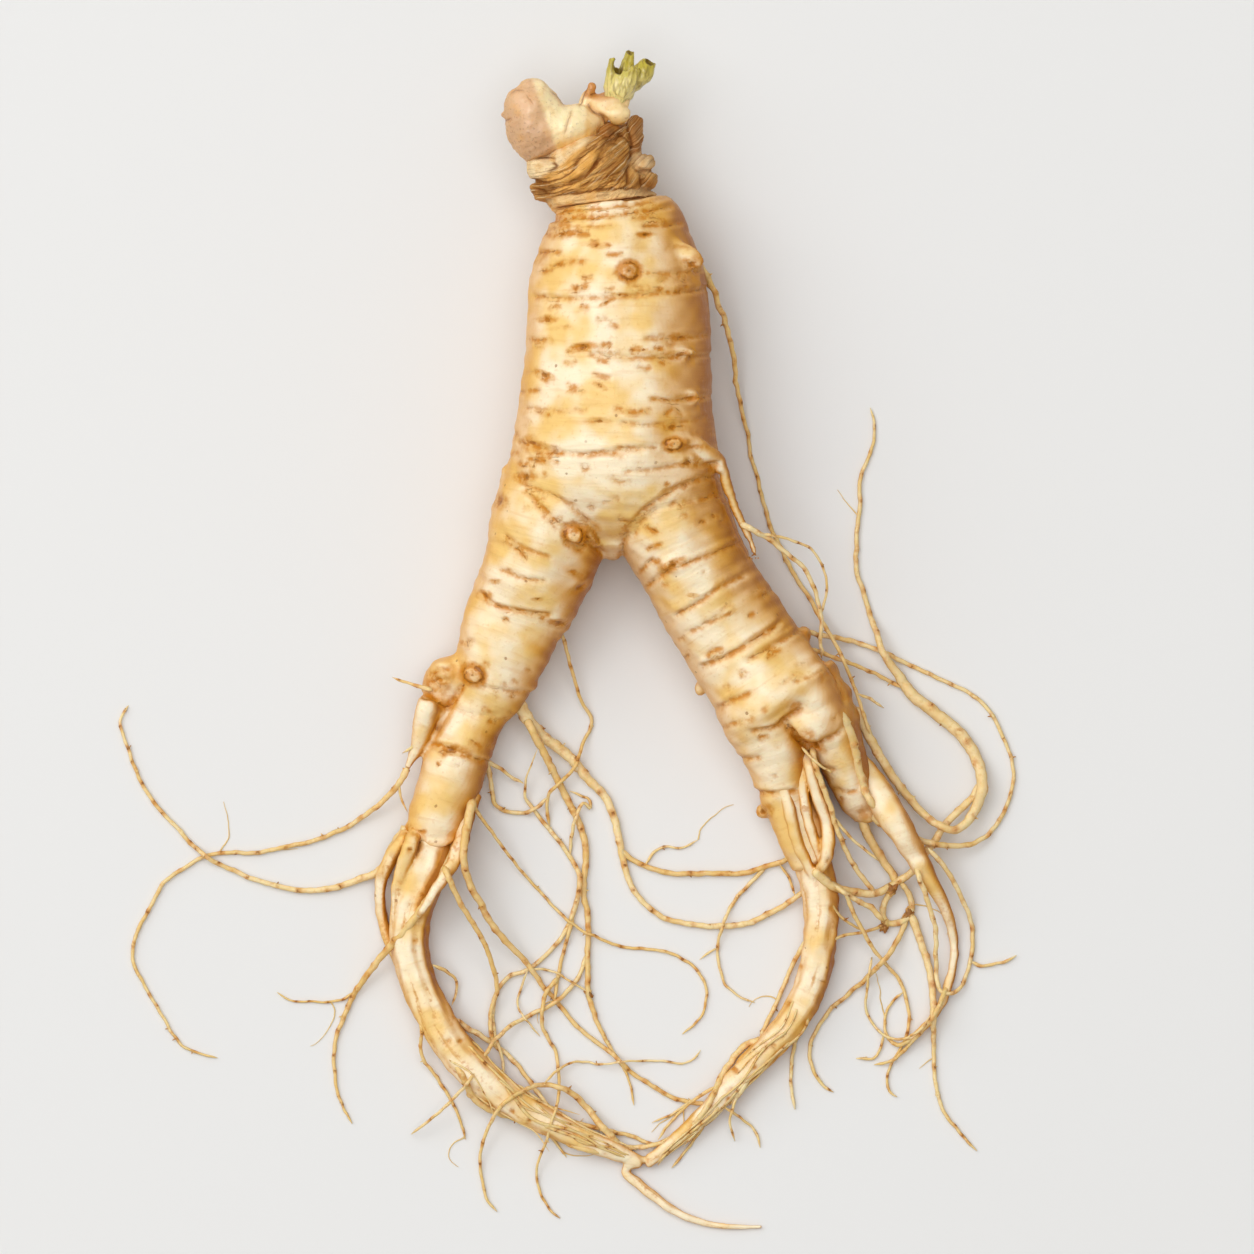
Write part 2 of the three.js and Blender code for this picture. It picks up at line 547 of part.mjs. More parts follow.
      [45.2, -19.4, 9], [44.8, -23, 9.8], [44.7, -27, 9.4], [45.1, -31, 8.8], [46.1, -35, 8.3],
      [47.4, -39, 7.6], [48.3, -42, 6.9],
    ],
  },
  forkOuter: {
    radii: [0.9, 1.1, 1.15, 1.05, 0.9],
    path: [
      [46.4, -25, 6], [47.9, -30, 6.2], [49.2, -34, 6.2], [49.6, -38, 6.3], [49.2, -41.5, 6.4],
      [47.8, -44.2, 6.2],
    ],
  },
  bridge: {
    radii: [1.0, 0.95, 0.85, 0.85, 0.85, 0.8],
    path: [
      [47.4, -44.6, 6.4], [51, -47, 4.6], [55, -48, 3.2], [59, -47.9, 2.4], [62, -46.5, 2.5],
      [65, -44.7, 3.2], [67.6, -42, 3.6], [69.6, -39, 3.6], [71.6, -35.4, 3.2], [75, -32, 2.2],
      [77, -29.4, 1.6], [77.1, -26, 1.4],
    ],
  },
  outerUnder: {
    radii: [0.7, 0.6, 0.6],
    path: [
      [50.6, -34, 2.6], [52.6, -38, 1.6], [54.2, -42, 1.2], [56.2, -45.2, 1.4], [58.6, -47.9, 1.8],
    ],
  },
  outerPair: {
    radii: [1.1, 1.0, 0.9, 0.9],
    path: [[55.6, -32.6, 4], [57.6, -37.4, 2.6], [60, -41.6, 2], [62.2, -45, 2], [62.4, -46.6, 2]],
  },
  outerTwig: {
    radii: [0.4, 0.35, 0.3],
    path: [[53.6, -36.5, 2], [56.4, -39.4, 1.4], [60, -42.4, 1.4]],
  },
  outerLoop: {
    radii: [0.9, 0.8, 0.7, 0.55, 0.45, 0.4, 0.45, 0.45, 0.5, 0.55, 0.6],
    path: [
      [57, -32.4, 4.6], [59.6, -34.6, 4.8], [63, -36.6, 4.6], [66, -38, 4.4], [69.4, -38.9, 4.8],
      [73, -39.3, 1.8], [76.6, -39], [79.6, -37.4], [82.2, -34.4], [84.1, -30.4], [84.9, -26],
      [84.2, -21.8], [82.9, -18.2], [81, -14.6], [79, -12], [76.6, -10.1], [72.4, -8.2], [68.8, -6.4],
      [64.4, -4.4], [60.2, -2.3, 1.9], [55, -0.7], [50, 0.6, 1.6], [45.4, 1.6, 5],
    ],
  },
  outerThick: {
    radii: [1.3, 1.5, 1.7, 1.6, 1.3, 1.2, 1.1, 0.9, 0.8, 0.7],
    path: [
      [53.6, -15.5, 5], [57, -21.6, 3.4], [60, -27, 2.4], [62.8, -32, 1.8], [65.6, -35.8, 1.4],
      [68, -39.6, 1.4], [70, -43.6, 1.2], [71.9, -48.6], [73.1, -54], [73.7, -59.2], [73, -64],
      [71, -69.6], [67, -74.6], [64.6, -76.6],
    ],
  },
  // the thick curl at the right with its long upright tip
  curl: {
    radii: [1.1, 1.0, 0.9, 0.9, 1.1, 1.2, 1.25, 1.25, 1.2, 0.85, 0.6, 0.55, 0.5, 0.45, 0.35, 0.25],
    path: [
      [54.8, -13, 6.4], [58.4, -20, 4.4], [61.8, -25.8, 2.8], [65.4, -30.4, 2], [68, -33.4, 1.6],
      [71, -35.5], [74, -35.9], [76.6, -34.1], [78.3, -31], [79, -27.6], [78.2, -23.4], [76.2, -19.6],
      [73.6, -16.6], [70.2, -14.2], [67.4, -12], [64.8, -9.4], [62.4, -6], [60, -2.2], [58.5, 2],
      [57.1, 6.4], [55.9, 10.6], [55, 15.2], [55.3, 20], [55.8, 25.2], [55.7, 30], [57, 34.2],
      [58.3, 38], [58.5, 41.2], [57.7, 44],
    ],
  },
  lowerThigh: {
    radii: [0.5, 0.45, 0.45],
    path: [[47.8, -2.4, 7.4], [51, -3.7, 4.2], [55, -5, 1.8], [58.6, -6.3], [61.6, -8], [63.6, -9.2]],
  },
  upperLong: {
    radii: [0.75, 0.65, 0.55, 0.45, 0.45, 0.5, 0.5, 0.45, 0.4, 0.45],
    path: [
      [24.9, 71.4, 14.4], [27.2, 67.4, 10.6], [29.5, 62, 6.6], [31.4, 55, 2.8], [32.8, 47, 1.2],
      [33.8, 40.5], [35, 35], [36.6, 28.6], [38.6, 22], [41.2, 16.4, 1.4], [44.2, 11], [47.4, 5.6, 1],
      [50.6, 0, 2], [53, -5, 1.7], [55, -9.6], [56.3, -14], [57.6, -18, 2.6],
    ],
  },
  longTwig: { radii: [0.35, 0.3], path: [[55.2, -10.2], [58, -11.7], [60.3, -13]] },
  hipRidge: {
    radii: [1.1, 1.3, 1.3, 1.0, 0.8, 0.8, 0.7, 0.5],
    path: [
      [20.5, 37.6, 27.2], [23.6, 37.4, 25.6], [26.6, 35.6, 21.8], [29, 33.6, 16.4], [30.4, 29.4, 12],
      [31.8, 25.4, 9.4], [33.3, 22, 7.4], [35, 18.4, 5.8], [36, 15.4, 5.2],
    ],
  },
  hipBranch: {
    radii: [0.7, 0.55, 0.5, 0.45, 0.4],
    path: [
      [33, 22, 7], [37.6, 19.4, 2.4], [41.4, 16.6], [44.6, 14], [46.6, 10.2], [48, 6], [48.5, 2.6],
      [48.3, -1, 2.4], [48.4, -3.4, 5.8],
    ],
  },
  hipHair: {
    radii: [0.35, 0.3, 0.3],
    path: [
      [36, 20, 3.6], [40.6, 19.4, 1.6], [43.6, 18.5], [46.2, 17.4], [48.6, 14], [49.4, 10], [48.3, 4.6],
    ],
  },
  // lower right bundle
  knotLoop: {
    radii: [0.7, 0.7, 0.75, 0.7, 0.6],
    path: [
      [61.8, -47.6, 2], [60.2, -50.6], [60.5, -53.6], [62.8, -54.1], [64.9, -52.8], [65.4, -50],
      [64.4, -47.4, 1.8], [63.2, -45.8, 2.6],
    ],
  },
  knotFeeder: {
    radii: [0.5, 0.6, 0.7],
    path: [[50.6, -46.4, 3], [53.4, -48.6, 1.6], [57.4, -50.9], [60.4, -53.6]],
  },
  tailCrossHair: {
    radii: [0.4, 0.35, 0.35],
    path: [[48, -57.6, 6], [52.4, -56.2, 2.6], [57, -55.3], [60.6, -54.3]],
  },
  tailHair: {
    radii: [0.35, 0.35, 0.3],
    path: [[49, -47.6, 6.4], [50.4, -50.6, 5.4], [52.6, -53.2, 3], [56.5, -55.4]],
  },
  deepTwist: {
    radii: [0.5, 0.5, 0.4, 0.4, 0.35, 0.3, 0.3],
    path: [
      [53, -47.8, 2.4], [54.4, -51.6], [56.4, -55.6], [58.6, -59.2], [60.5, -61.6], [63, -64.4],
      [64.5, -68], [64.9, -71.6], [64.2, -76], [62, -80.2], [60.8, -83.4], [61.4, -86], [62.8, -86.9],
    ],
  },
  deepArc: {
    radii: [0.6, 0.6, 0.5, 0.45, 0.4, 0.3],
    path: [
      [64.6, -53.2], [63, -57], [60.5, -60.8], [57, -64.2], [53, -67.8], [49.6, -71], [47.1, -75],
      [46.2, -79], [47, -82.4], [48.9, -84.9], [50.7, -86],
    ],
  },
  deepTip: {
    radii: [0.9, 0.85, 0.8, 0.75, 0.5, 0.45, 0.4, 0.35, 0.25],
    path: [
      [65.6, -52.4], [67, -57], [68.5, -61.2], [69.3, -66], [69.6, -72], [69.8, -78], [70.1, -84],
      [71.2, -88.6], [73.2, -92], [75.6, -94.8], [78, -97.2],
    ],
  },
  deepRing: {
    radii: [0.6, 0.55, 0.5, 0.45, 0.5, 0.55, 0.6],
    path: [
      [66.2, -42.6, 3], [68.4, -49.6], [70, -54.6], [70.3, -60], [70.6, -66.4], [72.6, -67.4],
      [74.9, -66.2], [76.4, -62.4], [77.1, -58], [76.7, -53], [75, -48.8], [71.8, -44, 1],
    ],
  },
  deepTwig: {
    radii: [0.4, 0.35, 0.3],
    path: [[76.6, -61], [78.6, -61.9], [81.6, -61.5], [84, -60.9], [85.5, -60]],
  },
  deepHook: {
    radii: [0.55, 0.5, 0.4, 0.3],
    path: [[72.2, -66], [70, -71], [65.8, -76.2], [61.8, -80], [58.4, -80.8]],
  },
  deepCurl: {
    radii: [0.5, 0.45, 0.35, 0.3, 0.3],
    path: [[65.4, -76], [63, -77], [61, -75.4], [60.3, -72.6], [61.6, -69], [64, -67]],
  },
  deepHair: {
    radii: [0.3, 0.3, 0.3, 0.3],
    path: [
      [58, -60.4], [57.3, -65.6], [56.9, -70.4], [58.6, -73.4], [61, -75.4], [64.6, -75.7],
      [67.6, -73.8], [69, -71.4],
    ],
  },
  tailDrop: {
    radii: [0.5, 0.4, 0.35],
    path: [[44.6, -73.4, 1.4], [43, -79.4], [42.8, -85], [43.4, -89.3]],
  },
  tailOutrun: {
    radii: [0.6, 0.5, 0.5, 0.5],
    path: [[45.6, -57, 3], [43, -62, 1], [41, -67], [38.6, -72], [36.6, -77, 1.6]],
  },
  tailStrandUpper: {
    radii: [0.8, 0.75, 0.7, 0.6],
    path: [
      [38.6, -75.6, 3], [33.6, -77.6, 1.4], [30.4, -81.4], [28.6, -85], [26, -89.6], [22.4, -93.4, 1.4],
    ],
  },
  tailStrandLower: {
    radii: [0.8, 0.75, 0.6, 0.5],
    path: [[39.6, -78, 2], [35.6, -81.4, 1.2], [33.8, -84.6], [31, -88.4, 1.2]],
  },
  tailTwigLong: {
    radii: [0.35, 0.3, 0.3, 0.25],
    path: [[30, -88.8], [33, -90.8], [36, -93.4], [36.8, -96.6]],
  },
  tailTwigShort: { radii: [0.35, 0.3, 0.25], path: [[32.6, -86], [31, -91.4], [32, -95.3]] },
  tailFan: { radii: [0.45, 0.35, 0.3], path: [[28.6, -88.6, 1], [25, -94], [20, -100.4]] },
  tailFanUpper: {
    radii: [0.4, 0.35, 0.3],
    path: [[28.4, -84.8, 1], [24, -87.4], [20, -91.4], [17.4, -95, 0.8]],
  },
};

/* Rootlets are laid one after another. A route is sampled every ROUTE_STEP; where it would touch a rootlet
   laid before, it climbs over it at the slope CLIMB. Within JOINT_REACH of an end it stays joined to it.
   Only the samples that keep the route within ROUTE_TOLERANCE become rings of points. */
const ROUTE_STEP = 0.9;
const JOINT_REACH = 2.6;
const TIP_REACH = 1.4;
const CROSS_CLEAR = 0.25;
const CLIMB = 0.35;
const ROUTE_TOLERANCE = 0.75;

function sidesFor(radius) {
  if (radius > 2.5) return 8;
  if (radius > 1.3) return 6;
  if (radius > 1.15) return 5;
  return radius > 0.6 ? 4 : 3;
}

function flatAway(a, b) {
  return Math.hypot(a.x - b.x, a.y - b.y);
}

// Samples { x, y, z, radius, toEnd } of a rootlet as it would lie with no other rootlet under it
function bareSamples({ radii, path }, restShare) {
  const spread = new THREE.SplineCurve(radii.map((radius, i) => new THREE.Vector2(i, radius)));
  const points = path.map(([x, y, z], i) => {
    const radius = spread.getPoint(i / (path.length - 1)).y;
    const rest = Math.max(radius * restShare + REST_CLEAR, skinHeight(x, y) + 0.5 * radius);
    return new THREE.Vector3(x, y, z ?? rest);
  });
  const route = new THREE.CatmullRomCurve3(points);
  const length = route.getLength();
  const steps = Math.ceil(length / ROUTE_STEP);
  return Array.from({ length: steps + 1 }, (_, i) => {
    const share = i / steps;
    const { x, y, z } = route.getPointAt(share);
    const radius = spread.getPoint(route.getUtoTmapping(share)).y;
    return { x, y, z, radius, toEnd: Math.min(share, 1 - share) * length };
  });
}

// Height a sample needs to clear the rootlets laid before it, or to meet them at its own end
function heightOver(sample, laid) {
  const touching = laid.filter((under) => flatAway(sample, under) < sample.radius + under.radius);
  if (touching.length === 0) return sample.z;
  if (sample.toEnd < ROUTE_STEP / 2) return Math.max(...touching.map(({ z }) => z));
  if (sample.toEnd < JOINT_REACH) return sample.z;
  const needed = touching.filter(({ toEnd }) => toEnd > TIP_REACH).map((under) => {
    const reach = sample.radius + under.radius;
    return under.z + Math.sqrt(reach * reach - flatAway(sample, under) ** 2) + CROSS_CLEAR;
  });
  return Math.max(sample.z, ...needed);
}

function climbed(samples, laid) {
  const heights = samples.map((sample) => heightOver(sample, laid));
  return samples.map((sample, i) => {
    const isEnd = i === 0 || i === samples.length - 1;
    const slopes = heights.map((height, k) => height - CLIMB * ROUTE_STEP * Math.abs(i - k));
    return { ...sample, z: isEnd ? heights[i] : Math.max(sample.z, ...slopes) };
  });
}

function thinned(samples) {
  const first = samples[0];
  const last = samples[samples.length - 1];
  const chord = new THREE.Line3(
    new THREE.Vector3(first.x, first.y, first.z),
    new THREE.Vector3(last.x, last.y, last.z),
  );
  const foot = new THREE.Vector3();
  const errors = samples.map(({ x, y, z }) => {
    const point = new THREE.Vector3(x, y, z);
    return chord.closestPointToPoint(point, true, foot).distanceTo(point);
  });
  const worst = errors.indexOf(Math.max(...errors));
  if (errors[worst] < ROUTE_TOLERANCE) return [first, last];
  return [...thinned(samples.slice(0, worst + 1)).slice(0, -1), ...thinned(samples.slice(worst))];
}

function rootlets() {
  const laid = [];
  return Object.values(ROOTLETS).map((spec) => {
    const sides = sidesFor(Math.max(...spec.radii));
    const samples = climbed(bareSamples(spec, Math.cos(Math.PI / sides)), laid);
    laid.push(...samples);
    const stations = thinned(samples).map(({ x, y, z, radius }) => [x, y, z, radius]);
    return limb({ stations, sides, domes: [0.4, 1], spin: Math.PI / sides - Math.PI / 2 });
  });
}

// Half spaces: a wide block on one side of the crease, or under the surface
const WIDE = 400;

function blockBeyondCrease(sign, distance) {
  const [left, right] = [new THREE.Vector2(...CREASE_LEFT), new THREE.Vector2(...CREASE_RIGHT)];
  const along = right.clone().sub(left);
  const turn = Math.atan2(along.y, along.x);
  const block = new THREE.BoxGeometry(WIDE, WIDE, WIDE);
  block.translate(0, sign * (WIDE / 2 + distance), 0);
  block.rotateZ(turn);
  block.translate(left.x, left.y, 0);
  return solidOf(block);
}

function blockUnderSurface() {
  const block = new THREE.BoxGeometry(WIDE, WIDE, WIDE);
  block.translate(0, 0, -WIDE / 2);
  return solidOf(block);
}

function root() {
  const crown = body().subtract(blockBeyondCrease(1, 0));
  const flesh = joined([crown, ...legs(), ...lumps()]).subtract(blockUnderSurface());
  return joined([flesh, ...knots(), ...rootlets()]);
}

// Rhizome: a lumpy neck with folds that climb from its left foot to its right shoulder
const NECK = [
  [7.6, 79.5, CROWN_HEIGHT, 9.2, 8.2], [6.6, 84, CROWN_HEIGHT, 9.0, 8], [5, 87, CROWN_HEIGHT, 9.6, 8.4],
  [3.6, 90, CROWN_HEIGHT, 9.4, 8.2], [2.6, 92.6, CROWN_HEIGHT, 7.8, 7],
];
const NECK_SHOULDER = [
  [6, 86.5, CROWN_HEIGHT, 6.5], [8.8, 90.5, CROWN_HEIGHT, 5.6], [11.2, 94.4, CROWN_HEIGHT, 3.6],
  [12.8, 97.2, CROWN_HEIGHT, 2.1], [13.3, 98.6, CROWN_HEIGHT, 1.3],
];
const RHIZOME_KNOBS = [
  { at: [7.6, 84, CROWN_HEIGHT], half: [10, 1.85, 8.6], turn: 0.11, sides: 20, rows: 8 }, // collar
  { at: [-3.6, 88.9, CROWN_HEIGHT + 0.5], half: [4.4, 2.9, 4.4], turn: -0.45, sides: 12, rows: 8 },
  { at: [-4.6, 85.4, CROWN_HEIGHT], half: [2.3, 2, 2.4], turn: -0.5, sides: 10, rows: 7 },
  { at: [13.2, 89.8, CROWN_HEIGHT + 1], half: [2.2, 2.1, 2.4], turn: 0.3, sides: 10, rows: 7 },
  { at: [15, 88, CROWN_HEIGHT], half: [2.4, 3.1, 2.8], turn: 0.1, sides: 10, rows: 7 },
  { at: [13.2, 86.4, CROWN_HEIGHT + 0.5], half: [2.2, 1.6, 2.4], turn: 0.2, sides: 10, rows: 7 },
];
const FOLD_DEPTH = 0.45;
const FOLD_STEP = 2.6;

function foldRelief(share, angle, x, y) {
  const climb = y - 0.55 * x;
  return FOLD_DEPTH * Math.sin((2 * Math.PI * climb) / FOLD_STEP) + 0.3 * Math.sin(3 * angle + 0.7 * y);
}

function rhizomeBlank(grow) {
  const cutsOf = (count) => Array.from({ length: count }, (_, i) => i / (count - 1));
  const neck = { stations: NECK, sides: 20, cuts: cutsOf(12), domes: [0.1, 0.35] };
  const shoulder = { stations: NECK_SHOULDER, sides: 12, cuts: cutsOf(8), domes: [0.3, 0.6] };
  return joined([
    limb({ ...neck, relief: foldRelief, grow }),
    limb({ ...shoulder, relief: foldRelief, grow }),
    ...RHIZOME_KNOBS.map((shape) => knob({ ...shape, grow })),
  ]);
}

function rhizome() {
  return rhizomeBlank(0).subtract(blockBeyondCrease(-1, -GAP));
}

// Winter bud: the horn, its saddle, a pointed scale, the scale cup and the small round bud
const BUD_HEIGHT = CROWN_HEIGHT + 2;
const HORN = [
  [-4.4, 90.5, BUD_HEIGHT, 3.6], [-5.9, 94, BUD_HEIGHT, 4.6], [-6.7, 97.6, BUD_HEIGHT, 4.9],
  [-7.1, 101, BUD_HEIGHT, 4.6], [-7.1, 103.6, BUD_HEIGHT, 3.6], [-6.7, 105.6, BUD_HEIGHT, 1.9],
];
const SADDLE = [
  [-6, 97, BUD_HEIGHT, 3.6], [-3.2, 96.8, BUD_HEIGHT, 4.5], [0, 96.9, BUD_HEIGHT, 4.5],
  [3.2, 97.8, BUD_HEIGHT, 3.8], [5.8, 98.4, BUD_HEIGHT, 2.6], [7.4, 98, BUD_HEIGHT, 1.4],
];
const POINTED_SCALE = [
  [3.8, 99.4, BUD_HEIGHT, 1.8, 1.1], [4.4, 102.4, BUD_HEIGHT, 1.8, 1.1], [4.9, 104.6, BUD_HEIGHT, 0.9, 0.6],
];
const SCALE_CUP = [
  [5, 99.6, BUD_HEIGHT, 2.0], [6.8, 101, BUD_HEIGHT, 2.7], [9.4, 101.8, BUD_HEIGHT, 2.5],
  [11.4, 101.4, BUD_HEIGHT, 1.3],
];

function budBlank(grow) {
  return joined([
    limb({ stations: HORN, sides: 14, domes: [0.3, 0.5], grow }),
    limb({ stations: SADDLE, sides: 12, domes: [0.3, 0.4], grow }),
    limb({ stations: POINTED_SCALE, sides: 8, domes: [0.2, 1], grow }),
    limb({ stations: SCALE_CUP, sides: 10, domes: [0.3, 0.4], grow }),
    knob({ at: [-11.2, 99.2, BUD_HEIGHT], half: [1.1, 0.7, 0.8], turn: -0.2, grow }),
    knob({ at: [9.8, 99.4, BUD_HEIGHT + 1.2], half: [2.5, 2.1, 2.2], sides: 12, rows: 8, grow }),
  ]);
}

function winterBud() {
  return budBlank(0).subtract(rhizomeBlank(GAP));
}

// Stem stub: the base and its four prongs, [x, y, height over the bud's axis, half width]
const STEM_BASE = [[9.2, 102, 0, 2.2], [9.9, 103.8, 0, 2.9], [10.8, 106, 0, 3], [11.4, 107.4, 0, 2.4]];
const PRONGS = [
  [[8.6, 104, 0, 1.3], [8.7, 107.2, 0.4, 1.3], [8.9, 109.9, 0.8, 0.9]],
  [[10.6, 105.5, -1, 1.6], [11.5, 108.6, -1.4, 1.4], [12, 111.4, -1.6, 0.8]],
  [[12, 104.8, 0, 1.6], [14.6, 107.6, 0, 2.1], [15.7, 109.5, 0, 1.3]],
  [[10, 103.2, 1.4, 1.7], [11.8, 105.8, 2, 1.7], [13.2, 108, 2.2, 1]],
];

function atBudHeight(stations) {
  return stations.map(([x, y, over, half]) => [x, y, BUD_HEIGHT + over, half]);
}

function stemStub() {
  const whole = joined([
    limb({ stations: atBudHeight(STEM_BASE), sides: 12, domes: [0.3, 0.1] }),
    ...PRONGS.map((prong) => limb({ stations: atBudHeight(prong), sides: 7, domes: [0.3, 0.3] })),
  ]);
  return whole.subtract(budBlank(GAP)).subtract(rhizomeBlank(GAP));
}

const ginsengRoot = new THREE.Group();
ginsengRoot.name = 'ginseng_root';
ginsengRoot.add(
  meshOf('root', root(), SKIN),
  meshOf('rhizome', rhizome(), RHIZOME_SKIN),
  meshOf('winter_bud', winterBud(), BUD_SKIN),
  meshOf('stem_stub', stemStub(), STEM_SKIN),
);

export default ginsengRoot;
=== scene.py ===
"""Looks of a fresh ginseng root that lies on a pale table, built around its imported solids.

Numbers in the tables are millimetres in the part's own frame: +X to the right, +Y towards the crown and
+Z up from the table. Meshes are written in metres.
"""

import logging
import math
from dataclasses import dataclass, field
from enum import Enum
from typing import Any, Sequence

import bpy
import numpy as np
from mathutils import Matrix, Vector


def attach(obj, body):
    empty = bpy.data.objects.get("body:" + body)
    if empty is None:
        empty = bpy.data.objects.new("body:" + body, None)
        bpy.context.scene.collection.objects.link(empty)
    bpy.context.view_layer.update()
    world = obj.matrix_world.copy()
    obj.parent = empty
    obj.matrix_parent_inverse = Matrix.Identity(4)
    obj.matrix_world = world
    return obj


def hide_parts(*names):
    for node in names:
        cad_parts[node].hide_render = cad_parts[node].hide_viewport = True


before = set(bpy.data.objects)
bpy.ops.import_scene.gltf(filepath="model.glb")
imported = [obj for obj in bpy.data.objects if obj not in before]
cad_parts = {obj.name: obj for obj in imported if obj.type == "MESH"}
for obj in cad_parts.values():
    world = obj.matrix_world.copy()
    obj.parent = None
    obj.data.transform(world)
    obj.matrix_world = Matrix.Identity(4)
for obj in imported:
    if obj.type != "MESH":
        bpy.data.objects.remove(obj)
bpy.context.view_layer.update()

LOG = logging.getLogger("ginseng_root")
MM = 0.001

Array = np.ndarray
Point = tuple[float, ...]
Limbs = tuple[Point, ...]
Rng = np.random.Generator

SAMPLES_PER_POINT = 24  # fine samples of a curve for each of its points
READ_AT_ONCE = 20000  # places read together, so that little memory is needed
FAR = 9.0  # reading where no form, crease or node is near
NO_SCAR = 3.0  # reading where no scar is near, 1 being the scar's rim
CREASE_REACH = 2.5  # distance within which corners read a crease
TABLE_GAP = 0.02  # least height of a skin that isn't flattened by the table
GLOW = 0.0015  # metres that light strays under a thin skin


# Outlines of the root: x, y, half width and half height, and z before them where the limb is held up

BODY: Limbs = (
    (8.4, 18.5, 9.2, 9.0, 9.6), (8.6, 22, 12.0, 14.2, 12.4), (8.9, 27, 14.2, 19.2, 14.6),
    (9.1, 32, 15.2, 20, 15.6), (9.25, 38, 15.6, 19.2, 16), (9.45, 44, 15.5, 18.5, 15.9),
    (9.7, 51, 15.1, 17.9, 15.5), (9.8, 59, 14.7, 17.5, 15.1), (9.75, 66, 14.2, 16.9, 14.6),
    (9.65, 71, 14, 15.9, 13.8), (9.45, 76, 14, 14.3, 12.6), (9.2, 80, 14, 12.6, 11.2),
    (8.85, 83, 14, 10.3, 9.6), (8.6, 86, 14, 8.2, 8.2),
)
LEFT_LEG: Limbs = (
    (2.6, 36, 9.4, 12), (-1.2, 27.5, 11.4, 13.4), (-3.2, 21, 11.5, 13), (-5, 15, 10.7, 11.8),
    (-7.4, 9, 10.1, 10.6), (-9.8, 4, 9.5), (-11.8, -1, 8.8), (-13.6, -6, 8.0), (-15.4, -10.4, 7.0),
    (-17.3, -14.4, 5.9), (-19.9, -20, 6.1), (-21.6, -25, 6.2), (-23.3, -30, 5.9), (-24.6, -35, 5.4),
    (-24.9, -38.3, 4.7),
)
LEFT_TAIL: Limbs = (
    (-24.8, -33, 3.2, 2.8), (-25.6, -38, 4.3, 3.8), (-26.5, -42, 4.7, 4.3), (-28, -46.5, 4.3),
    (-29.5, -52, 3.9), (-29.8, -57.5, 3.6), (-28.9, -62.5, 3.4), (-27.4, -67, 3.4), (-25, -71.5, 3.5),
    (-22.3, -76, 3.6), (-18.8, -80.4, 3.6), (-14.2, -84.6, 3.4), (-8.6, -88.7, 3.0), (-2.4, -92.1, 2.6),
    (3.5, -95, 2.2), (9.2, -97.2, 1.7), (14.2, -99.4, 1.1),
)
RIGHT_LEG: Limbs = (
    (16, 31, 12, 13.5), (20.3, 22, 11.2, 13), (23.5, 15, 10.5, 12), (27.7, 7.5, 10.4, 11), (32.2, 0.5, 10.7),
    (36.8, -6.5, 10.8), (40.6, -11.8, 11.3), (43.6, -15.8, 8.6),
)
RIGHT_INNER_LEG: Limbs = (
    (34.5, -5, 6.5), (36.5, -13, 7.6, 9.5), (38.8, -19, 6.9, 8.2), (40.7, -25, 5.6, 6.6),
    (42.6, -31, 5.0, 5.2), (44.9, -37, 4.8), (46.8, -42, 4.0),
)
RIGHT_OUTER_LEG: Limbs = (
    (45, -8, 6.4, 9.6), (49.2, -15, 6.0, 8.4), (51.6, -20.8, 5.0, 6.6), (53.8, -26.4, 4.3, 5.0),
    (55.8, -31, 3.7, 3.9), (57, -33.2, 2.8),
)
RIGHT_TAIL: Limbs = (
    (45.6, -39, 3.4), (47.8, -46, 3.5), (48.5, -52, 3.3), (48, -58, 3.2), (47.2, -63, 3.1), (45.4, -68, 3.0),
    (42.6, -72.8, 2.9), (38.9, -77, 2.7), (34.8, -81, 2.5), (31, -85.1, 2.2), (27.1, -89.3, 1.9),
    (23.2, -93, 1.6), (19.2, -96.3, 1.3), (15.2, -99.5, 1.1),
)
LOWEST_TIP: Limbs = (
    (13.4, -98.6, 0.9), (11.3, -100.9, 0.9), (14, -103.6, 0.9), (17.4, -106.4, 0.85), (21.2, -108.9, 0.75),
    (26, -110.8, 0.6), (31, -111.6, 0.5), (37, -111.5, 0.3),
)
LEG_FLATNESS = 0.93
TAIL_FLATNESS = 0.96
REST_SINK = 0.45  # how far the table flattens the undersides of body and legs
REST_CLEAR = 0.15  # tails and rootlets end this far above the table

NECK_LINE = ((-3, 81.4), (18, 83.9))  # where the body ends under the neck, from left to right

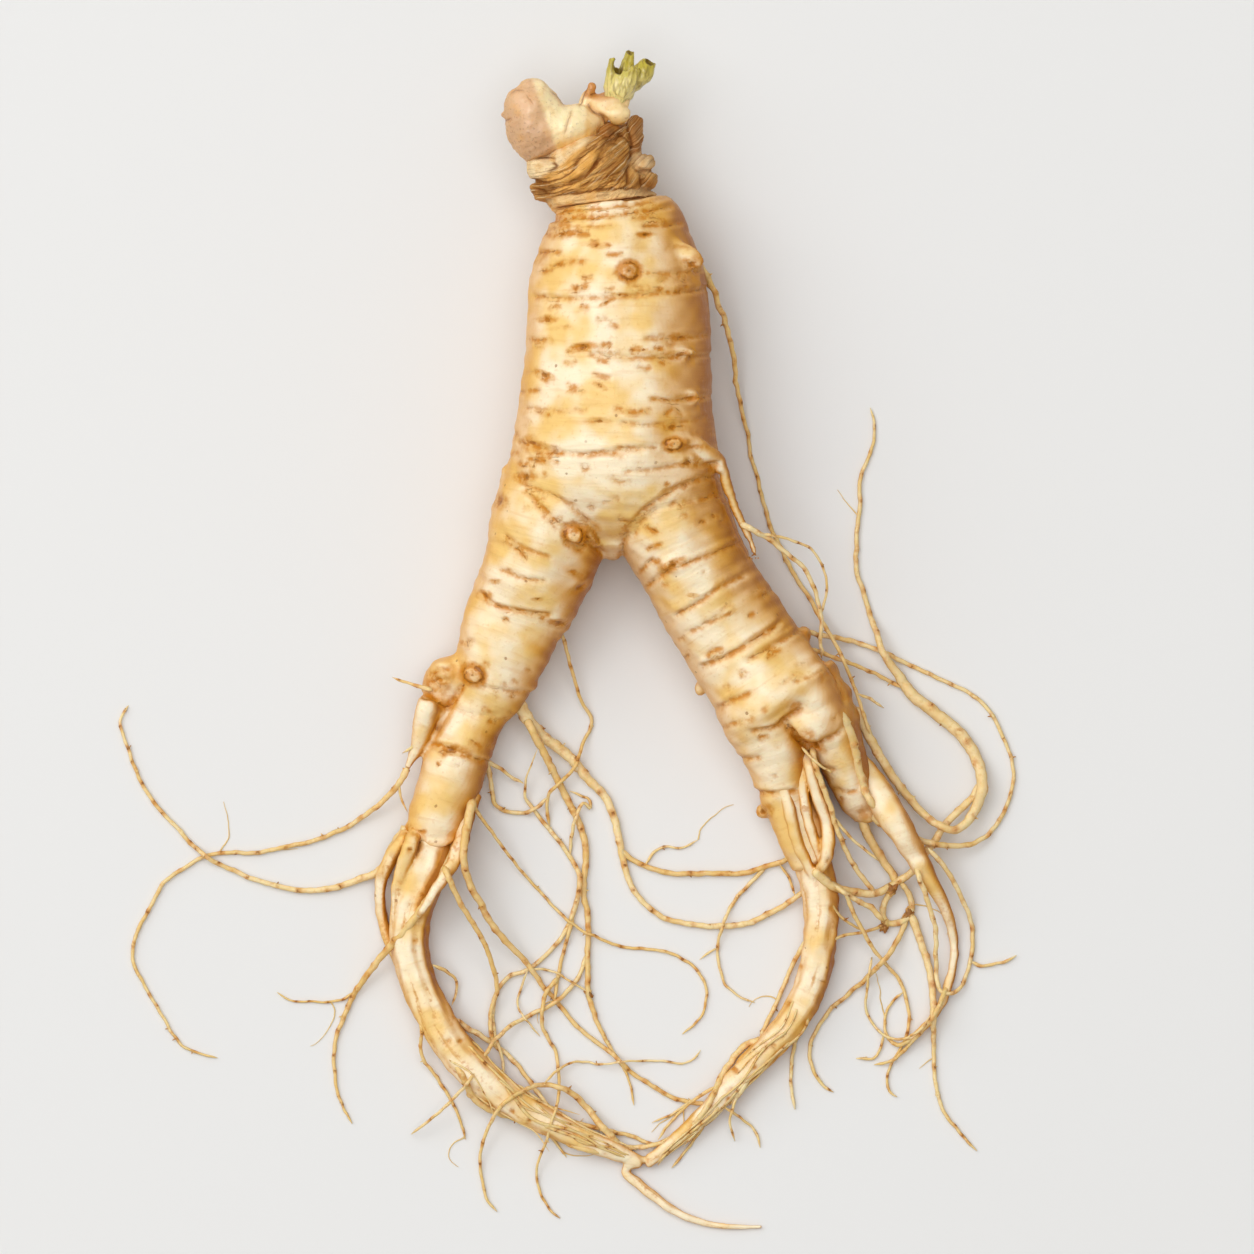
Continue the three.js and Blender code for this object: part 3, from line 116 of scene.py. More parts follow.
# Lumps, scars and warts: x, y, half width, half length, half height, turn in degrees, and height if held up
LUMPS = (
    (8.7, 18.6, 2.9, 3.5, 6, 0, 11), (1.9, 19.6, 2.3, 1.9, 1.4, -25), (22, 72.9, 4.2, 2.3, 1.2, -25),
    (21.6, 53.9, 2.9, 1.1, 1.2, 3), (23.4, 45.6, 2.5, 1.0, 1.0, 0), (20.4, 36.9, 2.6, 1.5, 1.4, 10),
    (-12.7, 25.2, 1.4, 2.0, 1.6, -25, 13), (-11.3, 31.5, 1.0, 1.3, 1.3, 0, 14.5),
    (20.8, 14.1, 2.4, 1.1, 0.9, 18), (-17.7, -6.7, 2.2, 1.7, 1.0, -25), (2.6, 9.7, 2.0, 1.2, 1.6, 30, 10.6),
    (-1.4, 2.8, 1.9, 1.3, 1.8, 0, 9.5), (-8.3, -9.4, 2.6, 1.2, 3.2, 16, 6.6),
    (-23.7, -13.2, 1.7, 3.4, 3.6, -14, 5.4), (-22.6, -6.6, 3.2, 2.8, 3.4, -30, 7.5),
    (-29.8, -37, 1.7, 2.1, 2.2, -20, 4.6), (-24.1, -39.1, 3.5, 1.0, 2.6, 4, 5.6),
    (25.4, -9.2, 0.9, 1.3, 1.5, 0, 6.4), (37.4, -32.8, 1.5, 1.2, 1.6, -10, 3.5),
    (42, -28.2, 3.1, 0.9, 1.1, -5, 8.8), (50.4, -5.4, 1.0, 1.6, 2.4, 30, 6.6),
    (45.4, 0.9, 1.2, 1.8, 2.6, 30, 7), (53, -9.8, 0.9, 1.3, 2.2, 30, 6), (54.9, -14, 0.8, 1.6, 2, 30, 5.4),
    (46.2, -15.6, 4.3, 3.3, 2.4, -20), (56.8, -33.2, 2.1, 1.6, 1.7, -10, 4),
)
LUMP_SINK = 0.35  # share of a lump's half height that its centre lies under the skin
# Corky knots: x, y and half size, of which the first melts into the tails
KNOTS = ((2, -24.2, 1.0), (61.6, -47.7, 1.1), (65.4, -52.2, 1.1), (60.6, -54, 1.0), (4.2, -67.4, 0.75))

# Scars in the skin as seen from above: x, y, half width, half length, turn in degrees, and 1 for a button
SCARS = (
    (11.9, 69.7, 1.75, 1.55, 0, 1), (1.5, 19.8, 1.7, 1.6, -25, 1), (-17.7, -6.7, 1.9, 1.5, -25, 1),
    (20.4, 36.9, 1.6, 1.1, 10, 1), (-21.9, -20.8, 1.9, 1.1, -10), (-7.6, 30.7, 1.1, 1.0, 0),
    (20.2, 14.2, 1.5, 0.9, 25), (23.7, 70.9, 1.4, 0.9, -20), (-3.7, 60.5, 1.0, 0.8, 0),
    (21.7, 53.9, 1.6, 0.7, 3), (23.5, 45.6, 1.5, 0.7, 0), (21.8, 57.2, 1.2, 0.5, 0),
    (22.9, 33.3, 1.2, 0.7, 10), (20.3, 40, 1.3, 0.5, 0), (2.6, 9.9, 1.3, 0.8, 30), (-1.3, 3, 1.3, 0.9, 0),
    (37.5, 8.5, 0.9, 0.5, 20), (-12.6, 26.2, 0.8, 1.5, -25), (-5.5, 7.6, 0.6, 0.4, 0),
    (-4.2, 50, 1.1, 0.8, -20), (5.6, 74.5, 1.2, 0.3, 0), (-1, 76.8, 0.8, 0.5, 0), (15.2, 76.6, 1.0, 0.4, 0),
    (10.2, 65.1, 0.7, 0.4, 0), (7.6, 63.6, 0.8, 0.4, 25), (14.6, 54.7, 0.9, 0.4, -25),
    (3.2, 55.2, 1.4, 0.8, 10), (6.4, 47.9, 0.8, 0.5, -25), (6.2, 41.3, 1.3, 0.5, 0),
    (-6.5, 37.2, 1.5, 0.6, -10), (-5.8, 33.9, 0.9, 0.4, -15), (27.8, 23.4, 0.8, 0.5, -15),
    (-5.3, 7.6, 0.5, 0.4, 0), (47.2, -20.2, 1.3, 0.9, -30), (37.2, -32.8, 0.9, 0.8, 0),
    (-15.5, 8.4, 0.8, 0.9, 0), (24, 8.4, 0.6, 0.4, 0), (31, 5, 0.7, 0.4, 30), (-13.4, 11, 0.6, 0.4, 0),
)
# Corky patches: x, y, reach and strength
PATCHES = (
    (46, 1.6, 3, 0.8), (49.4, -2.4, 3.4, 0.9), (52.4, -7.6, 3.2, 1), (54.8, -13, 3, 1), (-1, 79.4, 3, 0.7),
    (-24.6, -8.4, 4, 0.8), (38, -32.5, 2.2, 0.9), (-29.8, -36.8, 2.4, 0.9), (24.8, 71.2, 2.4, 0.9),
    (45.4, -18.4, 2.6, 0.8), (-5.6, 72.6, 2.6, 0.6), (-6.8, 37, 2.6, 0.7), (3, 18, 2.4, 0.8),
    (56.6, -33, 2.2, 0.7), (26.6, 77, 2, 0.8),
)

# Creases and dashes in the skin as seen from above: depth, strength of the brown, and the points
CREASES = (
    (0.35, 0.9, ((-3, 79.4), (2, 80), (6, 80))), (0.3, 0.9, ((4, 80), (10, 80.5), (15, 81.2), (20, 82))),
    (0.25, 0.75, ((-2.2, 81.2), (4, 81.4), (11, 82.2), (17, 83))),
    (0.25, 0.8, ((14.5, 78.3), (19, 78.4), (22.5, 79))), (0.1, 0.5, ((-4, 77.9), (2, 78.2), (9, 78.3))),
    (0.15, 0.9, ((13.5, 76.5), (16, 76.6))), (0.15, 0.9, ((-1, 76.7), (1, 76.8), (4.5, 76.6))),
    (0.12, 0.8, ((5, 74.5), (8.5, 74.6))), (0.2, 0.9, ((-5.4, 73.2), (-3, 73.5), (-1, 73.3))),
    (0.15, 0.8, ((7.5, 72.8), (11, 72.9))), (0.12, 0.8, ((-5.5, 69.7), (-2.5, 69.9))),
    (0.2, 0.6, ((12, 70), (14, 69.6), (19, 69.3), (26, 69.8))),
    (0.35, 0.6, ((-6.5, 65.1), (-2, 64.6), (3, 64.5), (9, 64.8), (14, 65.1))),
    (0.35, 0.6, ((13, 65), (18, 65.5), (23, 65.8), (27, 66.6))), (0.12, 0.7, ((8, 60), (10, 59))),
    (0.12, 0.8, ((0, 54.2), (2, 55.2), (4, 55.3))),
    (0.45, 0.6, ((4, 53.9), (10, 53.4), (17, 53.2), (23, 53.3), (27.5, 54))),
    (0.1, 0.9, ((12, 54.7), (14.4, 54.8))), (0.1, 0.9, ((16.5, 54.9), (18.6, 55))),
    (0.1, 0.8, ((5.6, 52.6), (8.4, 52.5))), (0.1, 0.8, ((-0.4, 52.4), (2, 52.3))),
    (0.1, 0.8, ((-5.3, 50.3), (-3.5, 48.6))), (0.12, 0.7, ((5, 50.3), (8.5, 49.3))),
    (0.3, 0.6, ((15, 57), (20, 56.8), (27, 57.6))), (0.15, 0.8, ((-7.2, 57), (-5, 56.6), (-3.4, 56.8))),
    (0.3, 0.7, ((16, 45.6), (20, 45.2), (27.5, 46))), (0.1, 0.9, ((18.8, 40), (22.3, 40.3))),
    (0.35, 0.6, ((-9, 37.4), (-4, 36), (2, 35), (9, 35.4), (15, 36))),
    (0.12, 0.8, ((-7, 34.4), (-4.4, 33.8))), (0.15, 0.5, ((-8, 44), (-2, 43.3), (4, 43.4))),
    (0.2, 0.5, ((10, 41), (16, 40.6), (27, 41.8))),
    (0.2, 0.55, (
        (-9.6, 31.5), (-8.3, 29.6), (-5.2, 28.5), (-1.6, 26.8), (1.8, 24.6), (4.4, 22), (6, 19.4), (7, 16.2),
    )),
    (0.3, 0.8, ((-8.3, 28.6), (-5.2, 25.8), (-2.2, 22.7), (0, 21.2))),
    (0.2, 0.6, ((-6.3, 26.2), (-3.5, 22.5), (-0.8, 20.5))),
    (0.4, 1.0, ((-0.2, 18.6), (2.6, 17.3), (4.4, 17.8), (6.8, 16.2))),
    (0.3, 1.0, ((3.2, 20.6), (4.6, 18.8), (6.6, 16.6))),
    (0.28, 0.65, (
        (10.4, 15.6), (10.9, 18.8), (12.4, 21.7), (15, 24.7), (18.9, 27.3), (23.4, 29.5), (29.4, 31.2),
    )),
    (0.3, 0.5, ((12.4, 19.4), (14.2, 22.2), (17.4, 24.9))), (0.2, 0.5, ((18, 27.8), (22, 29.4), (28, 32))),
    (0.3, 0.9, ((22.6, 34.2), (24.4, 33), (29, 33.4))), (0.25, 0.6, ((9, 36.2), (13, 36.2), (17.2, 36.2))),
    (0.2, 0.5, ((10.7, 31.7), (15.8, 32), (21, 33))), (0.15, 0.8, ((-10.9, 18.4), (-9, 16.8), (-7.4, 15))),
    (0.15, 0.6, ((-12, 20), (-8, 17.4), (-3, 15.6))),
    (0.3, 0.8, ((-16.5, 9), (-14, 6.8), (-8, 5.2), (-3, 4.6))),
    (0.2, 0.6, ((-13, 13.4), (-8, 11.6), (-4, 11))), (0.2, 0.5, ((-16.2, -9), (-11, -9.8), (-6.4, -9.9))),
    (0.15, 0.3, ((-21, -13), (-17, -14.2), (-13, -14.4))),
    (0.45, 1.0, ((-27.6, -10.6), (-24.9, -11.1), (-22.7, -12.7), (-21, -10.8), (-19.6, -8.4))),
    (0.25, 0.8, ((-26, -6.8), (-23.6, -5.6), (-21.6, -5.8))),
    (0.2, 0.7, ((-26.6, -8.6), (-24, -7.6), (-22, -7.8))),
    (0.3, 0.8, ((-25.4, -19.6), (-22, -20.8), (-17, -22.6), (-14, -23.2))),
    (0.5, 1.0, ((-31, -35.6), (-29, -38), (-26, -39.7), (-23.4, -39.9), (-20.6, -38.6))),
    (0.12, 0.8, ((-20.4, -0.6), (-17.6, -0.2))), (0.3, 0.7, ((15, 10), (19, 12.8), (22, 14), (33, 18.4))),
    (0.2, 0.8, ((13.5, 12.5), (16.5, 15.5))), (0.4, 0.8, ((25.5, -5.2), (31, -2.8), (34, -1), (40.6, 3.2))),
    (0.3, 0.7, ((34, -4), (39, -1.2), (44.4, 1.8))), (0.3, 0.75, ((28.6, -13), (31, -11.6), (35, -10))),
    (0.2, 0.6, ((43, -8), (46, -7), (49, -5.5))),
    (0.4, 0.8, ((35, -17.5), (40, -16.4), (42, -14.6), (44.6, -13))),
    (0.5, 0.9, ((41, -15), (44, -18.8), (46.6, -20.6))),
    (0.35, 0.7, ((46, -20.2), (50, -18.6), (52.4, -17.2))),
    (0.3, 0.8, ((46, 1), (48, -2.8), (51, -7), (53, -12))),
    (0.25, 0.7, ((20.5, 4.6), (24, 6.4), (29, 9.8), (34, 12.4))),
    (0.15, 0.6, ((22.4, 1), (26, 2.6), (30, 4.6))), (0.2, 0.7, ((30.4, -22), (34, -22.6), (37, -22.4))),
    (0.3, 0.9, ((34.8, -28.6), (38, -29.2), (44, -28.6))),
    (0.15, 0.7, ((45.6, -23), (48, -24.4), (51, -24.6))),
    (0.15, 0.7, ((50.4, -28), (53, -29), (55.4, -28.4))),
)


# Curves and fields


def smoothstep(values: Array, low: float, high: float) -> Array:
    """Returns 0 below low and 1 above high, with a smooth step between."""
    share = np.clip((values - low) / (high - low), 0, 1)
    return share * share * (3 - 2 * share)


def bell(values: Array, width: float) -> Array:
    """Returns 1 at zero, falling off to 0 over about two widths."""
    return np.exp(-((values / width) ** 2))


def spline(points: Array, shares: Array, even: bool = False) -> Array:
    """Runs a Catmull-Rom curve through points.

    Args:
        points: One row per point.
        shares: Places along the curve from 0 to 1, the points being evenly spread over it.
        even: Whether its slopes take the points as evenly spaced too, instead of by their distances.

    Returns:
        One row per share.
    """
    points = np.asarray(points, float)
    if len(points) == 2:
        return points[0] + (points[1] - points[0]) * np.asarray(shares)[:, None]
    first, last = 2 * points[0] - points[1], 2 * points[-1] - points[-2]
    if even:
        first, last = points[0], points[-1]
    padded = np.vstack([first, points, last])
    place = np.clip(shares, 0, 1) * (len(points) - 1)
    spot = np.minimum(place.astype(int), len(points) - 2)
    t = (place - spot)[:, None]
    a, b, c, d = (padded[spot + k] for k in range(4))
    if even:
        start, end = (c - a) / 2, (d - b) / 2
    else:
        pairs = ((a, b), (b, c), (c, d))
        ab, bc, cd = (np.sqrt(np.linalg.norm(q - p, axis=1))[:, None].clip(1e-4) for p, q in pairs)
        start = ((b - a) / ab - (c - a) / (ab + bc) + (c - b) / bc) * bc
        end = ((c - b) / bc - (d - b) / (bc + cd) + (d - c) / cd) * bc
    return b + start * t + (3 * (c - b) - 2 * start - end) * t**2 + (2 * (b - c) + start + end) * t**3


@dataclass
class Route:
    """A curve through points, read at evenly spaced samples.

    Attributes:
        points: Points of the curve, of two or three coordinates.
        values: What goes along with each point, such as a girth, spread evenly along the curve.
        spacing: Distance between samples.
    """

    points: Sequence[Point]
    values: Sequence[Point] = ()
    spacing: float = 0.6

    def __post_init__(self) -> None:
        """Samples the curve and what goes along with it."""
        points = np.array(self.points, float)
        shares = np.linspace(0, 1, SAMPLES_PER_POINT * len(points))
        curve = spline(points, shares)
        lengths = np.concatenate([[0], np.cumsum(np.linalg.norm(np.diff(curve, axis=0), axis=1))])
        self.length = float(lengths[-1])
        count = max(int(math.ceil(self.length / self.spacing)), 2)
        self.along = np.linspace(0, self.length, count + 1)
        self.shares = np.interp(self.along, lengths, shares)
        self.at = spline(points, self.shares)
        tangents = np.gradient(self.at, axis=0)
        tangents /= np.linalg.norm(tangents, axis=1)[:, None]
        self.heading = tangents[:, :2] / np.linalg.norm(tangents[:, :2], axis=1)[:, None].clip(1e-6)
        values = np.array(self.values, float)
        self.girth = spline(values, self.shares, even=True) if len(values) else None

    def read(self, places: Array) -> dict[str, Array]:
        """Reads the curve from above.

        Args:
            places: Rows of x and y.

        Returns:
            The nearest sample (index), how far to the left of the curve a place is (left), how far past
            either end (past), and how far along (along).
        """
        index = np.empty(len(places), int)
        centres = self.at[:, :2]
        for start in range(0, len(places), READ_AT_ONCE):
            part = places[start : start + READ_AT_ONCE]
            nearest = np.argmin((centres**2).sum(1) - 2 * part @ centres.T, axis=1)
            index[start : start + READ_AT_ONCE] = nearest
        gap = places - centres[index]
        heading = self.heading[index]
        ahead = (gap * heading).sum(1)
        left = gap[:, 1] * heading[:, 0] - gap[:, 0] * heading[:, 1]
        past = np.where(index == 0, -ahead, np.where(index == len(centres) - 1, ahead, 0)).clip(0)
        inner = np.clip(ahead, -self.spacing, self.spacing)
        inner = np.where(past > 0, 0, inner)
        return {"index": index, "left": left, "past": past, "along": self.along[index] + inner}

    def follow(self, reading: dict[str, Array], values: Array) -> Array:
        """Returns values, given at the samples, at the places of a reading."""
        return np.interp(reading["along"], self.along, values)


@dataclass
class Limb:
    """A round limb that runs along a route, as a field that is negative inside it.

    Attributes:
        stations: Rows of x, y, z, half width and half height.
        blend: How wide it melts into what is there already.
        domes: How far its ends bulge, as shares of its half width.
    """

    stations: Sequence[Point]
    blend: float = 1.5
    domes: tuple[float, float] = (0.5, 0.5)

    def __post_init__(self) -> None:
        """Runs its route through the stations."""
        points = [row[:3] for row in self.stations]
        halves = [(row[3], row[4] if len(row) > 4 else row[3]) for row in self.stations]
        self.route = Route(points, halves)

    def box(self) -> tuple[Array, Array]:
        """Returns the lowest and the highest corner it can reach."""
        reach = self.route.girth.max() * 1.2 + self.blend + 1
        return self.route.at.min(0) - reach, self.route.at.max(0) + reach

    def shape(self, places: Array) -> dict[str, Array]:
        """Returns its height, girth and reading over places seen from above.

        Args:
            places: Rows of x and y.

        Returns:
            Its z, half and tall, and flat, its squared distance from the axis, 1 being its rim.
        """
        reading = self.route.read(places)
        reading["z"] = self.route.follow(reading, self.route.at[:, 2])
        reading["half"] = self.route.follow(reading, self.route.girth[:, 0])
        reading["tall"] = self.route.follow(reading, self.route.girth[:, 1])
        dome = np.where(reading["index"] == 0, self.domes[0], self.domes[1]) * reading["half"]
        reading["flat"] = (reading["left"] / reading["half"]) ** 2 + (reading["past"] / dome.clip(0.2)) ** 2
        return reading

    def away(self, places: Array, heights: Array) -> Array:
        """Returns the field at every height over every place, a row per place.

        Args:
            places: Rows of x and y.
            heights: The heights.

        Returns:
            One row of values per place.
        """
        shape = self.shape(places)
        tall, half = shape["tall"][:, None], shape["half"][:, None]
        ratio = np.sqrt(shape["flat"][:, None] + ((heights[None, :] - shape["z"][:, None]) / tall) ** 2)
        return (ratio - 1) * np.minimum(tall, half)

    def skin(self, places: Array) -> Array:
        """Returns the height of its skin over places, or 0 beside it.

        Args:
            places: Rows of x and y.

        Returns:
            One height per place.
        """
        shape = self.shape(places)
        rise = shape["tall"] * np.sqrt((1 - shape["flat"]).clip(0))
        return np.where(shape["flat"] < 1, shape["z"] + rise, 0)


@dataclass
class Knob:
    """A ball or lump, as a field that is negative inside it.

    Attributes:
        at: Its centre.
        half: Its half sizes.
        turn: Its turn about the vertical, in degrees.
        blend: How wide it melts into what is there already.
    """

    at: Point
    half: Point
    turn: float = 0
    blend: float = 0.8

    def box(self) -> tuple[Array, Array]:
        """Returns the lowest and the highest corner it can reach."""
        reach = max(self.half) + self.blend + 1
        return np.array(self.at) - reach, np.array(self.at) + reach

    def ratio(self, x: Array, y: Array, z: Array) -> Array:
        """Returns how far places are from its centre, 1 being its skin.

        Args:
            x, y, z: The places, in arrays of shapes that fit together.

        Returns:
            One value per place.
        """
        across, along = x - self.at[0], y - self.at[1]
        cos, sin = math.cos(math.radians(self.turn)), math.sin(math.radians(self.turn))
        across, along = across * cos + along * sin, along * cos - across * sin
        up = z - self.at[2]
        flat = (across / self.half[0]) ** 2 + (along / self.half[1]) ** 2
        return np.sqrt(flat + (up / self.half[2]) ** 2)

    def away(self, places: Array, heights: Array) -> Array:
        """Returns the field at every height over every place, a row per place."""
        return (self.ratio(places[:, :1], places[:, 1:], heights[None, :]) - 1) * min(self.half)


@dataclass(frozen=True)
class Waves:
    """Smooth random relief made of a few crossing waves.

    Attributes:
        length: Typical length of a wave.
        seed: Seed of its directions.
        count: How many waves cross.
    """

    length: float
    seed: int
    count: int = 9

    def at(self, points: Array) -> Array:
        """Returns a value of about -1.5 to 1.5 at each row of points.

        Args:
            points: Rows of coordinates.

        Returns:
            One value per row.
        """
        rng = np.random.default_rng(self.seed)
        directions = rng.normal(size=(self.count, points.shape[1]))
        directions /= np.linalg.norm(directions, axis=1)[:, None]
        lengths = self.length * rng.uniform(0.7, 1.6, self.count)
        phases = rng.uniform(0, 2 * math.pi, self.count)
        turns = points @ (directions * (2 * math.pi / lengths)[:, None]).T + phases
        return np.sin(turns).sum(1) / math.sqrt(self.count)


@dataclass
class Mesh:
    """Corners and faces with what is known at each corner.

    Attributes:
        points: Rows of x, y and z.
        faces: Rows of corner numbers, all of the same length.
        values: Named values at the corners.
    """

    points: Array
    faces: Array
    values: dict[str, Array] = field(default_factory=dict)

    def normals(self) -> Array:
        """Returns the unit normal at each corner.

        Returns:
            Rows of x, y and z.
        """
        corners = self.points[self.faces]
        normal = np.cross(corners[:, 2] - corners[:, 0], corners[:, -1] - corners[:, 1])
        total = np.zeros_like(self.points)
        for k in range(self.faces.shape[1]):
            np.add.at(total, self.faces[:, k], normal)
        return total / np.linalg.norm(total, axis=1)[:, None].clip(1e-9)

    def swell(self, relief: Array) -> None:
        """Moves each corner along its normal by its own relief."""
        self.points += self.normals() * relief[:, None]


class Clay:
    """A box of field values that limbs and knobs are pressed into, and the skin round them."""

    def __init__(self, forms: Sequence[Limb | Knob], step: float, floor: bool = True) -> None:
        """Melts the forms together one after another.

        Args:
            forms: What the flesh is made of.
            step: Distance between field values.
            floor: Whether it is cut flat by the table.
        """
        boxes = [form.box() for form in forms]
        low = np.min([box[0] for box in boxes], axis=0)
        high = np.max([box[1] for box in boxes], axis=0)
        if floor:
            low[2] = -2 * step
        self.low, self.step = low, step
        self.axes = [np.arange(low[k], high[k] + step, step) for k in range(3)]
        self.values = np.full([len(axis) for axis in self.axes], FAR, np.float32)
        for form in forms:
            self.press(form)
        if floor:
            self.values = np.maximum(self.values, -self.axes[2][None, None, :].astype(np.float32))

    def window(self, form: Limb | Knob) -> tuple[list[slice], Array]:
        """Returns the part of the box that a form reaches, and its places as seen from above.

        Args:
            form: A limb or a knob.

        Returns:
            A slice for each axis, and rows of x and y.
        """
        low, high = form.box()
        parts = []
        for k, axis in enumerate(self.axes):
            start, stop = np.searchsorted(axis, [low[k], high[k]])
            parts.append(slice(max(start - 1, 0), min(stop + 1, len(axis))))
        across, along = np.meshgrid(self.axes[0][parts[0]], self.axes[1][parts[1]], indexing="ij")
        return parts, np.column_stack([across.ravel(), along.ravel()])

    def press(self, form: Limb | Knob) -> None:
        """Adds one form, melted into what is there over its blend.

        Args:
            form: A limb or a knob.
        """
        parts, places = self.window(form)
        old = self.values[tuple(parts)]
        new = form.away(places, self.axes[2][parts[2]]).reshape(old.shape)
        share = np.clip(0.5 + 0.5 * (old - new) / form.blend, 0, 1)
        melted = old + (new - old) * share - form.blend * share * (1 - share)
        self.values[tuple(parts)] = melted

    def carve(self, form: Limb | Knob) -> None:
        """Takes one form away, with soft edges over its blend.

        Args:
            form: What is taken away.
        """
        parts, places = self.window(form)
        old = self.values[tuple(parts)]
        new = -form.away(places, self.axes[2][parts[2]]).reshape(old.shape)
        share = np.clip(0.5 - 0.5 * (old - new) / form.blend, 0, 1)
        self.values[tuple(parts)] = old + (new - old) * share + form.blend * share * (1 - share)

    def cut(self, normal: Point, offset: float) -> None:
        """Takes away what lies further along normal than offset, both as seen from above.

        Args:
            normal: Direction, of length 1.
            offset: Distance of the cut from the origin.
        """
        across, along = np.meshgrid(self.axes[0], self.axes[1], indexing="ij")
        plane = (across * normal[0] + along * normal[1] - offset).astype(np.float32)
        self.values = np.maximum(self.values, plane[:, :, None])

    def hollow(self, mesh: Mesh, reach: float) -> Array:
        """Returns how hollow the skin is at each corner, from 0 in the open to 1 deep between forms.

        Args:
            mesh: The skin.
            reach: How far over the skin other forms are felt.

        Returns:
            One value per corner.
        """
        ahead = (mesh.points + mesh.normals() * reach - self.low) / self.step
        spots = np.clip(np.round(ahead).astype(int), 0, np.array(self.values.shape) - 1)
        return np.clip(1 - self.values[tuple(spots.T)] / reach, 0, 1)

    def skin(self) -> Mesh:
        """Returns the surface where the field is zero, one corner for each box of values that it crosses.

        Returns:
            Its corners and four-sided faces.
        """
        inside = self.values < 0
        cells, crossings, quads = [], [], []
        shape = np.array(self.values.shape)
        for axis in range(3):
            low = [slice(None)] * 3
            high = [slice(None)] * 3
            low[axis], high[axis] = slice(None, -1), slice(1, None)
            change = inside[tuple(low)] != inside[tuple(high)]
            spots = np.argwhere(change)
            spots = spots[(spots > 0).all(1)]
            ahead = spots + np.eye(3, dtype=int)[axis]
            before, after = self.values[tuple(spots.T)], self.values[tuple(ahead.T)]
            crossing = spots.astype(float)
            crossing[:, axis] += before / (before - after)
            right, up = np.eye(3, dtype=int)[(axis + 1) % 3], np.eye(3, dtype=int)[(axis + 2) % 3]
            corners = (spots, spots - right, spots - right - up, spots - up)
            quad = np.column_stack([np.ravel_multi_index(corner.T, shape) for corner in corners])
            quad[before > 0] = quad[before > 0][:, ::-1]
            quads.append(quad)
            cells.append(quad.ravel())
            crossings.append(np.repeat(crossing, 4, axis=0))
        quads, cells, crossings = np.vstack(quads), np.concatenate(cells), np.vstack(crossings)
        names, where = np.unique(cells, return_inverse=True)
        counts = np.bincount(where)
        middle = np.column_stack([np.bincount(where, crossings[:, k]) / counts for k in range(3)])
        return Mesh(self.low + middle * self.step, np.searchsorted(names, quads))


# Marks in the skin


@dataclass
class Crease:
    """A crease or dash that runs over the skin, placed as seen from above.

    Attributes:
        points: Its points, taken from left to right so that its left side is towards the crown.
        depth: Depth of its groove.
        strength: How brown it is.
        width: Half width of its dark core.
        lip: How far the skin above it stands proud.
    """

    points: Sequence[Point]
    depth: float
    strength: float
    width: float = 0.14
    lip: float = 0.0

    def __post_init__(self) -> None:
        """Runs its route from left to right."""
        points = np.array(self.points, float)
        if points[-1, 0] < points[0, 0]:
            points = points[::-1]
        self.route = Route(points, spacing=0.5)

    def read(self, points: Array) -> tuple[Array, Array, Array]:
        """Reads the crease from points of a skin.

        Args:
            points: Rows of x, y and z.

        Returns:
            Which of the points are near it, how far they are from it (to its left more than 0), and how
            much of it is left there, which falls to 0 past its ends.
        """
        low, high = self.route.at.min(0) - CREASE_REACH, self.route.at.max(0) + CREASE_REACH
        near = np.flatnonzero(((points[:, :2] > low) & (points[:, :2] < high)).all(1))
        reading = self.route.read(points[near, :2])
        to_end = np.minimum(reading["along"], self.route.length - reading["along"]) - reading["past"]
        left = smoothstep(to_end, -0.7, min(0.8, 0.3 * self.route.length))
        return near, reading["left"], left


